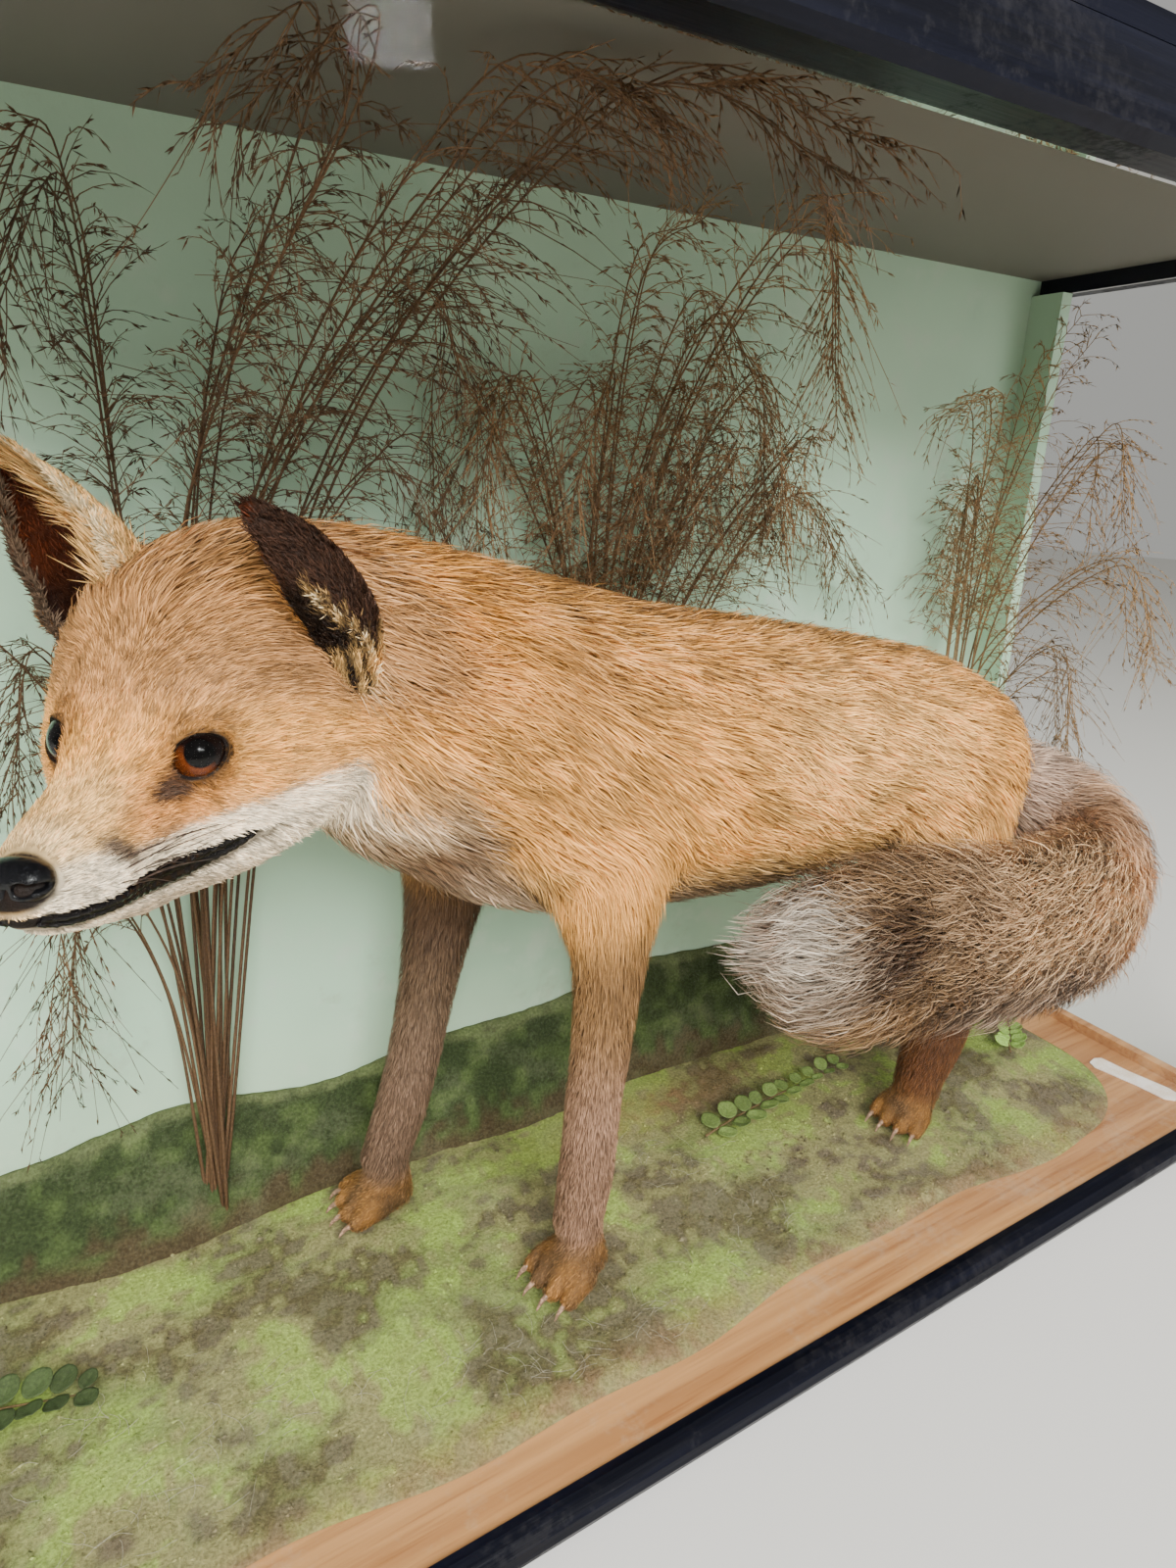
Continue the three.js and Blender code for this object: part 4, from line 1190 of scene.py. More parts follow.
    def lay_coat(self) -> None:
        """Sets the way, length, width and depth of the coat at each point."""
        size = len(self.points)
        ahead, side, up = self.form.head_frame.axes
        way = np.zeros((size, 3))
        sag = np.array([0.0, 0.0, -0.38])
        for limb, found in self.found.items():
            lie = -found.way if limb is Limb.NECK else found.way
            if limb in (Limb.TRUNK, Limb.NECK):
                lie = lie + sag * ramp(np.abs(np.cos(found.turn)), 0.2, 0.9)[:, None]
            way += self.weight[limb][:, None] * lie
        x, y, z = self.local.T
        low = ramp(z, -14, -44) * ramp(x, 30, -40)
        face = -ahead - up * (0.5 * low)[:, None]
        face = face + side * (np.sign(y) * 0.25 * ramp(x, 30, -10))[:, None]
        for seat in self.form.head.eyes:
            local = seat.local(self.local)
            near = np.exp(-((np.linalg.norm(local, axis=1) / 17.0) ** 2))
            aside = self.form.head_frame.turned((local * [0, 1, 1]) @ seat.axes / 12.0)
            face = face + aside * (1.1 * near)[:, None]
        way += self.head_weight[:, None] * face
        way[self.is_ear] = self.ear["way"][self.is_ear]
        self.loose = self.looseness()
        paw = self.paw_weight[:, None]
        toes = np.zeros((size, 3))
        for limb, seat in PAWS.items():
            toes[:, :2] += self.weight[limb][:, None] * seat.way
        way = way + paw * (toes * 1.6 - [0, 0, 0.2])
        rise = dot(way, self.normal) * (1 - self.loose)
        self.way = unit(way - self.normal * rise[:, None])
        self.room = np.maximum(self.form.room(self.points), 0.6)
        weight = self.weight
        leg_length = np.zeros(size)
        for limb in PAWS:
            share = self.found[limb].along
            leg_length += weight[limb] * np.interp(share, [0, 0.25, 0.45, 0.7, 1.0], [24, 15, 9, 7, 6])
        head_length = np.interp(x, [-104, -72, -50, -28, -10, 6, 20, 71], [24, 21, 17, 12, 9, 7, 6, 4])
        head_length = head_length * (1 - 0.4 * ramp(z, 0, 30) * ramp(x, -90, -60))
        head_length = head_length * (0.45 + 0.55 * ramp(self.lip_gap, 0.0, 7.0))
        head_length = head_length * (0.5 + 0.5 * ramp(self.eye_gap, 0.0, 5.0))
        self.length = weight[Limb.TRUNK] * 27 + weight[Limb.NECK] * 29 + leg_length
        self.length += self.head_weight * head_length
        tail = self.found[Limb.TAIL].along
        self.length += weight[Limb.TAIL] * np.interp(tail, [0, 0.2, 0.5, 0.8, 1.0], [24, 38, 44, 40, 28])
        self.length = self.length * (1 - 0.6 * self.paw_weight)
        self.width = weight[Limb.TRUNK] * 0.62 + weight[Limb.NECK] * 0.58 + weight[Limb.TAIL] * 0.54
        head_width = np.interp(x, [-90, -40, 10, 71], [0.58, 0.52, 0.44, 0.34])
        self.width += self.leg_weight * 0.4 + self.head_weight * head_width
        self.clump = np.clip(self.length * 0.3, 2.2, 13.0)
        ear = self.is_ear
        self.room[ear], self.length[ear], self.width[ear], self.clump[ear] = 1.4, 5.0, 0.5, 2.5
        self.unwrap = self.unwrapped(x, y, z)

    def unwrapped(self, x: Array, y: Array, z: Array) -> Array:
        """Each point's place on the coat's unwrap: round the part it is on, and along it."""
        size = len(self.points)
        around, share, best = np.zeros(size), np.zeros(size), np.zeros(size)
        for limb, found in self.found.items():
            mine = self.weight[limb] > best
            best = np.where(mine, self.weight[limb], best)
            around = np.where(mine, (found.turn / (2 * np.pi) + 0.5), around)
            share = np.where(mine, found.along, share)
            if limb in PAWS:
                right = 0.5 if limb in (Limb.FRONT_RIGHT, Limb.HIND_RIGHT) else 0.0
                around = np.where(mine, around * 0.5 + right, around)
        mine = self.region == Region.HEAD.value
        around = np.where(mine, np.arctan2(z + 14, y) / (2 * np.pi) + 0.5, around)
        share = np.where(mine, (x + 112) / 190, share)
        left = 0.5 * (self.ear["side"] > 0)
        around = np.where(self.is_ear, (self.ear["turn"] + 1) / 4 + left, around)
        share = np.where(self.is_ear, self.ear["along"] * 0.5 + 0.5 * self.ear["inner"], share)
        return np.column_stack([around, np.clip(share, 0, 1)])

    def looseness(self) -> Array:
        """How freely the hair leaves the body: on the tail's end, the belly's fringe and the ruff."""
        tail, trunk = self.found[Limb.TAIL], self.found[Limb.TRUNK]
        loose = self.weight[Limb.TAIL] * (0.2 + 0.7 * ramp(tail.along, 0.7, 0.95))
        loose += self.weight[Limb.TRUNK] * 0.5 * ramp(-np.sin(trunk.turn), 0.5, 0.85)
        loose += self.weight[Limb.NECK] * 0.3 * ramp(-np.sin(self.found[Limb.NECK].turn), 0.2, 0.8)
        return np.where(self.is_ear, 0.0, np.clip(loose, 0, 0.95))

    def colour(self) -> None:
        """Mixes the markings of the coat at each point, and paints shade under the jaw, on the belly, in the thigh's
        crease and on the far foreleg.
        """
        points, (x, y, z) = self.points, self.points.T
        weight = self.weight
        soft, fine = Noise(46, 3).at(points), Noise(13, 4).at(points)
        tone = np.tile(Tones.gold, (len(points), 1))

        def over(colour: Array, mask: Array) -> None:
            """Lays a tone over what is there, as far as its mask goes."""
            nonlocal tone
            mask = np.clip(mask, 0, 1)[:, None]
            tone = tone * (1 - mask) + colour * mask

        body = weight[Limb.TRUNK] + weight[Limb.NECK]
        lift = sum(weight[limb] * np.sin(self.found[limb].turn) for limb in (Limb.TRUNK, Limb.NECK))
        lift = lift / np.maximum(body, 1e-3)
        over(Tones.buff, 0.5 * body * ramp(x, -10, 60) * ramp(x, 230, 150))
        back = body * ramp(lift + 0.12 * soft, 0.35, 0.92)
        over(Tones.saddle, 0.6 * back * ramp(x, -240, -120))
        over(Tones.umber, 0.45 * body * ramp(lift + 0.05 * soft, 0.9, 0.99))
        dark = np.maximum(0.25, 0.9 * back)
        shoulder = hump((x, -104, 34), (z, 372, 26))
        over(Tones.umber, 0.35 * shoulder * body)
        over(Tones.leg_brown, 0.35 * hump((x, -84, 44), (z, 322, 40)) * body)
        over(Tones.amber, 0.85 * hump((x, -165, 34), (z, 385, 26)) * (body + self.head_weight))
        over(Tones.buff, 0.7 * body * ramp(-lift, 0.35, 0.7))
        # Painted shade: the underside of the body is darkened with smoke.
        over(Tones.smoke, 0.95 * body * ramp(-lift + 0.12 * fine, 0.5, 0.8))
        over(Tones.buff, 0.9 * body * ramp(x, 232, 285))
        # Painted shadow in the crease where the near thigh meets the flank.
        fold = np.exp(-(((x - np.interp(z, [240, 300], [187, 200])) / 5) ** 2)) * ramp(z, 236, 256)
        over(Tones.umber, 0.5 * fold * ramp(z, 322, 290) * (y < 0))
        places = [-260, -172, -155, -140, -125, -110, -94, -60]
        edge = np.interp(x, places, [344, 342, 334, 304, 284, 262, 242, 200])
        chest = ramp(z + 9 * fine + 7 * soft, edge + 16, edge - 14) * ramp(x, -56, -100)
        over(Tones.grey, 0.9 * chest * (body + self.head_weight))
        over(Tones.white, 0.32 * chest * ramp(fine + 0.5 * soft, -0.2, 0.6))
        over(Tones.mauve, 0.5 * chest * body * ramp(z + 10 * fine, 320, 260))
        # Painted shade under the jaw, on the throat.
        shade_under_jaw = hump((x, -158, 30), (z, 290, 26))
        over(Tones.umber, 0.75 * shade_under_jaw * (body + self.head_weight))
        over(Tones.umber, 0.7 * hump((x, 86, 7), (z, 309, 4)) * body * (y < 0))
        leg = self.leg_weight
        leg_share = sum(weight[limb] * self.found[limb].along for limb in PAWS) / np.maximum(leg, 1e-3)
        over(Tones.leg_brown, leg * 0.9 * ramp(leg_share, 0.12, 0.36))
        over(Tones.smoke, 0.5 * weight[Limb.FRONT_LEFT] * ramp(leg_share, 0.1, 0.24))
        over(Tones.mauve, leg * ramp(leg_share + 0.06 * soft, 0.42, 0.72))
        hind = weight[Limb.HIND_LEFT] + weight[Limb.HIND_RIGHT]
        over(Tones.rust, 0.6 * hind * ramp(leg_share, 0.22, 0.34))
        over(Tones.umber, hind * ramp(leg_share, 0.42, 0.6))
        rear = ramp(dot(self.normal, np.broadcast_to([1.0, 0, 0], points.shape)), 0.35, 0.85)
        over(Tones.rust, hind * rear * ramp(leg_share, 0.35, 0.6) * ramp(leg_share, 1.0, 0.75))
        over(Tones.buff, 0.55 * hind * ramp(leg_share, 0.32, 0.05))
        # Painted shade: the far foreleg is darker than the near one.
        far = weight[Limb.FRONT_RIGHT]
        over(Tones.smoke, 0.9 * far * ramp(leg_share, 0.08, 0.25) * (1 - 0.3 * ramp(leg_share, 0.5, 0.8)))
        over(Tones.tail_dark, 0.5 * far * ramp(leg_share, 0.08, 0.2) * ramp(leg_share, 0.5, 0.3))
        over(Tones.leg_brown, 0.9 * self.paw_weight)
        over(Tones.smoke, 0.5 * self.paw_weight * ramp(fine, 0.4, -0.4))
        over(Tones.saddle, 0.3 * self.paw_weight * ramp(z, 40, 24) * ramp(fine, -0.4, 0.4))
        self.colour_tail(over, soft, fine)
        dark = np.maximum(dark, 0.6 * weight[Limb.TAIL])
        self.colour_head(over, fine)
        crown = 0.35 * self.head_weight * ramp(self.local[:, 2], 0, 30)
        dark = np.maximum(dark, crown) * ~self.is_ear
        self.colour_ears(over)
        tone = tone * (1 + 0.12 * soft + 0.12 * fine)[:, None]
        self.tone, self.dark = np.clip(tone, 0.004, 0.95), dark

    def colour_tail(self, over: Callable, soft: Array, fine: Array) -> None:
        """Marks the tail: brown root, buff bend, dark middle and long grey tip."""
        tail = self.weight[Limb.TAIL]
        share = self.found[Limb.TAIL].along + 0.03 * soft
        x, _, z = self.points.T
        over(Tones.lilac, 0.85 * tail * ramp(share, 0.26, 0.06))
        over(Tones.saddle, tail * ramp(share, 0.1, 0.24) * ramp(share, 0.42, 0.3))
        over(Tones.buff, 0.85 * tail * ramp(share, 0.3, 0.42))
        over(Tones.mauve, 0.6 * tail * ramp(share, 0.5, 0.62))
        over(Tones.tail_dark, tail * hump((x, 96, 46), (z, 214, 30)))
        over(Tones.soot, 0.75 * tail * hump((x, 90, 28), (z, 222, 17)))
        over(Tones.lilac, 0.85 * hump((x, 116, 20), (z, 262, 14)) * tail)
        grey = ramp(x + 12 * fine + 8 * soft, 84, 44) * ramp(share, 0.5, 0.6)
        over(Tones.tail_grey, tail * grey)
        over(Tones.mauve, 0.7 * tail * grey * ramp(Noise(7, 8).at(self.points) + 0.5 * fine, 0.1, 0.7))
        over(Tones.tail_dark, 0.8 * tail * ramp(z + 8 * fine, 190, 166) * ramp(share, 0.36, 0.46))
        over(Tones.umber, 0.4 * tail * ramp(fine + 0.4 * soft, 0.15, 0.8))
        over(Tones.lilac, 0.45 * tail * ramp(share, 0.7, 0.5))

    def colour_head(self, over: Callable, fine: Array) -> None:
        """Marks the head: tan crown, orange under the eyes, white cheeks and lips, and dark lids."""
        x, y, z = self.local.T
        side = np.abs(y)
        head = self.head_weight + self.weight[Limb.NECK] * ramp(x, -95, -70)
        over(Tones.crown, head * ramp(z, -6, 14) * ramp(x, 50, 20))
        over(Tones.gold, 0.6 * head * ramp(z, 12, -2) * ramp(x, 30, -10))
        over(Tones.rust, 0.7 * head * hump((x, 20, 22), (z, -17, 11)) * ramp(side, 8, 15))
        over(Tones.rust, 0.6 * head * hump((x, 45, 14), (z, -21, 7)) * ramp(side, 8, 14))
        over(Tones.buff, 0.85 * head * ramp(x, 26, 48) * ramp(side + 0.35 * (z + 12), 15, 8))
        over(Tones.rust, 0.2 * head * ramp(x, 4, 20) * ramp(x, 60, 44) * ramp(side, 10, 15))
        places = [-90, -75, -61, -44, -19, -2, 14, 31, 49, 60]
        edge = np.interp(x, places, [-45, -32, -20, -19, -21, -23, -26, -29, -27, -24])
        white = ramp(z + 1.2 * fine, edge + 1.8, edge - 2.2) * ramp(side, 2, 8)
        over(Tones.white, head * white * ramp(x, -92, -70) * ramp(side, 76, 64))
        smudge = hump((x, 50, 9), (z + 24.5 + 0.55 * (53 - x), 0, 4.6)) * ramp(side, 9, 13)
        over(Tones.smoke, head * ramp(smudge, 0.1, 0.8))
        over(Tones.cream, 0.5 * head * ramp(x, 54, 66) * ramp(z, -36, -20))
        over(Tones.white, 0.9 * head * ramp(z, -34, -38) * ramp(x, 20, 50))
        over(Tones.white, 0.8 * head * ramp(z, -41, -46) * ramp(x, -40, 0))
        over(Tones.grey, 0.6 * head * ramp(z, -44, -50) * ramp(x, 60, 30))
        for end in (1, -1):
            start, reach = np.array([12.0, 18.5 * end, -7.5]), np.array([21.0, -2.5 * end, -2.0])
            share = np.clip((self.local - start) @ reach / (reach @ reach), 0, 1)
            away = np.linalg.norm(self.local - start - share[:, None] * reach, axis=1)
            over(Tones.soot, 0.9 * ramp(away, 4.0 - 2.2 * share, 0.6) * ramp(share, 1.05, 0.3))
        over(Tones.umber, 0.4 * head * hump((x, -30, 16), (z, 28, 12)) * ramp(side, 20, 34))
        for seat in self.form.head.eyes:
            local = seat.local(self.local)
            corner = hump((local[:, 1], -15.5, 7.5), (local[:, 2], -4.5, 4.6)) * (local[:, 0] > -8)
            over(Tones.tail_dark, ramp(corner, 0.1, 0.7))
            over(Tones.lid, 0.8 * hump((local[:, 1], -11.5, 3.0), (local[:, 2], -2.4, 2.0)))
            brow = np.exp(-(((self.eye_gap - 4.2) / 1.5) ** 2)) * ramp(local[:, 2], 1, 6)
            over(Tones.umber, 0.35 * brow)
        over(Tones.umber, 0.6 * ramp(self.eye_gap, 3.8, 1.2))
        over(Tones.lid, ramp(self.eye_gap, 1.5, 0.7))
        over(Tones.lid, head * ramp(x, -19, -13) * ramp(self.lip_gap, 0.9, 0.1))
        over(Tones.lid, head * ramp(nose_gap(self.local), 9.5, 8.0))

    def colour_ears(self, over: Callable) -> None:
        """Marks the ears: sooty backs, cream rims and dark insides, with painted shadow on the head under the near ear
        and painted shade in its hollow.
        """
        ear = self.is_ear.astype(float)
        inner, along, turn = self.ear["inner"], self.ear["along"], self.ear["turn"]
        tuft = np.exp(-(np.linalg.norm((self.local - [-47, 53, 24]) / [7, 6, 8], axis=1) ** 2))
        over(Tones.cream, 0.7 * tuft * (1 - ear))
        # Painted shadow on the head under the near ear's lifted edge.
        shadow_under_ear = np.exp(-(np.linalg.norm((self.local - [-50, 45, 40]) / [9, 7, 9], axis=1) ** 2))
        over(Tones.lid, ramp(shadow_under_ear, 0.25, 0.7) * (1 - ear))
        turned = ramp(-turn, 0.35, 0.6) * (self.ear["side"] < 0)
        over(Tones.soot, ear * (1 - inner))
        over(Tones.buff, ear * (1 - inner) * turned)
        over(Tones.ear_inside, ear * inner)
        over(Tones.lid, 0.8 * ear * inner * ramp(along, 0.6, 0.3))
        base = np.where(self.ear["side"] > 0, 0.22, 0.36)
        over(Tones.amber, 0.8 * ear * (1 - inner) * ramp(along, base, base - 0.12))
        rim = ramp(np.abs(turn), 0.88, 0.96) * np.where(self.ear["side"] > 0, ramp(along, 0.62, 0.5), 1.0)
        over(Tones.buff, ear * rim * np.where(self.ear["side"] > 0, 0.7, 0.85 * (turn < 0)))
        near = ear * (1 - inner) * (self.ear["side"] > 0)
        away = turn - self.fold_line(along) + 0.05 * np.sin(along * 60) + 0.04 * np.sin(along * 137)
        # Painted shade: past the folded rim line the near ear's back is painted black, for the hollow of the ear seen
        # under its rim.
        low = near * ramp(along, 0.74, 0.66)
        over(Tones.lid, low * ramp(away, -0.02, -0.08))
        over(Tones.buff, 0.75 * low * ramp(np.abs(away), 0.05, 0.015))
        tufts = near * ramp(along, 0.3, 0.2) * ramp(turn, 0.2, -0.1)
        over(Tones.buff, tufts * ramp(np.sin(turn * 31 + 5 * along), -0.1, 0.5))
        medial = ramp(-turn, 0.2, 0.8) * (self.ear["side"] < 0)
        over(Tones.buff, 0.8 * ear * inner * medial)

    @staticmethod
    def fold_line(along: Array) -> Array:
        """Where the near ear's folded rim runs round it, at each share of its length."""
        return np.interp(along, [0.0, 0.15, 0.36, 0.54, 0.68], [-0.3, -0.4, -0.52, -0.64, -0.7])

    def make(self, material: Material) -> Piece:
        """The skin as an object."""
        skin = make_object("skin", self.points, [self.tris], material)
        # The skin takes the colour near a hair's root: partly undercoat, partly painted shade deep in the coat.
        along = np.full(len(self.points), 0.25)
        mark_coat(skin.data, self.tone, along, 0.5 + 0.3 * Noise(2.4, 9).at(self.points), self.dark)
        return skin


# ---- The coat: joined blades of hair over the skin ----


@dataclass
class Roots:
    """Where hairs grow from, and how each one is."""

    place: Array
    normal: Array
    way: Array
    tone: Array
    room: Array
    length: Array
    width: Array
    grizzle: Array
    clump: Array
    loose: Array
    unwrap: Array

    def __len__(self) -> int:
        """How many hairs there are."""
        return len(self.place)

    def chosen(self, keep: Array) -> "Roots":
        """Only some of the roots."""
        return Roots(*(getattr(self, name)[keep] for name in self.__dataclass_fields__))


def sow(skin: Skin, density: Array, count: int, seed: int) -> tuple[Roots, Array]:
    """Scatters roots over the skin.

    Args:
        skin: the skin to grow from.
        density: how thickly hair grows at each point, with zero for none.
        count: how many roots to scatter.
        seed: the scatter's own seed.

    Returns:
        The roots, and the number of the skin's point nearest to each one.
    """
    draw = np.random.default_rng(seed)
    tris = skin.tris
    a, b, c = (skin.points[tris[:, i]] for i in range(3))
    weight = np.linalg.norm(np.cross(b - a, c - a), axis=1) * density[tris].min(axis=1)
    steps = np.cumsum(weight)
    chosen = np.searchsorted(steps, (np.arange(count) + draw.random(count)) / count * steps[-1])
    chosen = np.minimum(chosen, len(tris) - 1)
    u, v = np.sqrt(draw.random(count)), draw.random(count)
    share = np.stack([1 - u, u * (1 - v), u * v], axis=-1)
    corners = tris[chosen]
    nearest = corners[np.arange(count), share.argmax(axis=1)]

    def mixed(values: Array) -> Array:
        """The skin's values at the roots."""
        return np.einsum("ij,ij...->i...", share, values[corners])

    ways = (unit(mixed(values)) for values in (skin.normal, skin.way))
    kept = (skin.tone, skin.room, skin.length, skin.width, skin.dark, skin.clump, skin.loose)
    values = (mixed(values) for values in kept)
    return Roots(mixed(skin.points), *ways, *values, skin.unwrap[nearest]), nearest


@dataclass(frozen=True)
class Growth:
    """How one kind of hair stands: its bends, waves, clumps and spread."""

    bends: int = 2
    lift: tuple = (0.45, 1.05)
    sway: float = 0.30
    wave: float = 0.22
    stray: float = 0.12
    pull: float = 0.5
    roll: float = 0.45
    spread: float = 0.22
    contrast: float = 1.0

    @property
    def shares(self) -> tuple:
        """Where along a hair its rows of points are, its tip last."""
        return (0.38, 0.74, 1.0) if self.bends == 2 else (0.5, 1.0)


class Coat:
    """Grows blades of hair from roots and joins them into pieces."""

    patch = 0.0015
    root_depth = 0.8
    piece_triangles = 190_000

    def __init__(self, form: FoxForm, material: Material) -> None:
        """Takes the form that the hair follows and its finish."""
        self.form = form
        self.material = material
        self.triangles = 0

    def blades(self, roots: Roots, growth: Growth, seed: int, field_of: Measure | None) -> tuple[Array, ...]:
        """Shapes the blades.

        Args:
            roots: where they grow.
            growth: how they stand.
            seed: the seed of their variation.
            field_of: the distance from the skin that they follow, or None to grow straight.

        Returns:
            The points of each blade, the share along the blade of each point, and each blade's shade.
        """
        draw = np.random.default_rng(seed)
        count = len(roots)
        length = roots.length * (1 + growth.spread * draw.normal(size=count)).clip(0.45, 1.6)
        yaw = growth.sway * Noise(26, 21).at(roots.place) + growth.wave * Noise(9, 22).at(roots.place)
        yaw = yaw + growth.stray * draw.normal(size=count)
        side = np.cross(roots.way, roots.normal)
        way = roots.way * np.cos(yaw)[:, None] + side * np.sin(yaw)[:, None]
        lift = draw.uniform(*growth.lift, count) * (1 + 0.25 * (draw.random(count) > 0.95))
        cell = np.floor(roots.place / roots.clump[:, None])
        jitter = np.stack([Noise(1.0, 31 + k).lattice(cell.astype(np.int64)) for k in range(3)], axis=-1)
        towards = (cell + 0.5 + 0.4 * jitter) * roots.clump[:, None] - roots.place
        pull = growth.pull * draw.uniform(0.4, 1.1, count)
        roll = growth.roll * draw.normal(size=count)
        half = 0.5 * roots.width * draw.uniform(0.75, 1.3, count)
        spine, sides = [roots.place - roots.normal * self.root_depth], []
        place, last, hold = roots.place, 0.0, 1.0 - roots.loose
        for share in growth.shares:
            normal = roots.normal if field_of is None else self.form.slope(field_of, place)
            flat = unit(way - normal * (dot(way, normal) * hold)[:, None])
            place = place + flat * (length * (share - last))[:, None]
            last = share
            if field_of is not None:
                normal = self.form.slope(field_of, place)
                place = place - normal * (np.maximum(field_of(place), -3.0) * hold)[:, None]
                normal = unit(normal * hold[:, None] + roots.normal * roots.loose[:, None])
            tip = place + normal * (roots.room * lift * (1 - (1 - share) ** 1.7))[:, None]
            shift = towards - normal * dot(towards, normal)[:, None]
            spine.append(tip + shift * (pull * share**1.4)[:, None])
            across = unit(np.cross(flat, normal))
            sides.append(across * np.cos(roll)[:, None] + normal * np.sin(roll)[:, None])
        rows = [spine[0]]
        for k, taper in enumerate((1.0, 0.8)[: growth.bends]):
            reach = sides[k] * (half * taper)[:, None]
            rows += [spine[k + 1] - reach, spine[k + 1] + reach]
        rows.append(spine[-1])
        shades = np.array([0.0, *(s for s in growth.shares[:-1] for _ in (0, 1)), 1.0])
        lock = Noise(1.0, 35).lattice(cell.astype(np.int64))
        strand = 0.14 * Noise(5.0, 41).at(roots.place) + 0.2 * lock + 0.62 * (draw.random(count) - 0.5)
        return np.stack(rows, axis=1), shades, (0.5 + growth.contrast * strand).clip(0, 1)

    def grow(
        self, name: str, roots: Roots, growth: Growth, seed: int, field_of: Measure | None = None
    ) -> None:
        """Makes the pieces of one stretch of coat.

        Args:
            name: the pieces' name, to which a number is added.
            roots: where the hairs grow.
            growth: how they stand.
            seed: the seed of their variation.
            field_of: the distance from the skin that they follow, or None to grow straight.
        """
        each = 2 * growth.bends
        order = np.argsort(roots.unwrap[:, 1], kind="stable")
        batches = math.ceil(len(roots) * each / self.piece_triangles)
        for number, part in enumerate(np.array_split(order, batches)):
            mine = roots.chosen(part)
            rows, shades, strand = self.blades(mine, growth, seed + number, field_of)
            self.make(f"{name}_{number + 1}", mine, rows, shades, strand)

    def make(self, name: str, roots: Roots, rows: Array, shades: Array, strand: Array) -> None:
        """Joins blades into one piece, with a small patch of the unwrap for each blade."""
        count, width = rows.shape[:2]
        if width == 6:
            faces = np.array([[0, 2, 1], [1, 2, 4], [1, 4, 3], [3, 4, 5]])
            across = np.array([0, -1, 1, -1, 1, 0.0])
        else:
            faces = np.array([[0, 2, 1], [1, 2, 3]])
            across = np.array([0, -1, 1, 0.0])
        tris = (np.arange(count)[:, None, None] * width + faces[None]).reshape(-1, 3)
        made = make_object(name, rows.reshape(-1, 3), [tris], self.material)
        mesh = made.data
        tone, strands, grizzle = (np.repeat(v, width, axis=0) for v in (roots.tone, strand, roots.grizzle))
        mark_coat(mesh, tone, np.tile(shades, count), strands, grizzle)
        low, high = roots.unwrap.min(axis=0), roots.unwrap.max(axis=0)
        middle = 0.01 + 0.98 * (roots.unwrap - low) / np.maximum(high - low, 1e-6)
        patch = np.stack([across, 2 * shades - 1], axis=-1) * self.patch
        uv = (middle[:, None] + patch[None]).reshape(-1, 2)[tris.reshape(-1)]
        mesh.uv_layers.new(name="OFBake").data.foreach_set("uv", uv.astype(np.float32).ravel())
        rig.slot(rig.ride(made, "root"), "red_coat")
        self.triangles += len(tris)
        log.info("%s: %d blades, %d triangles", name, count, len(tris))


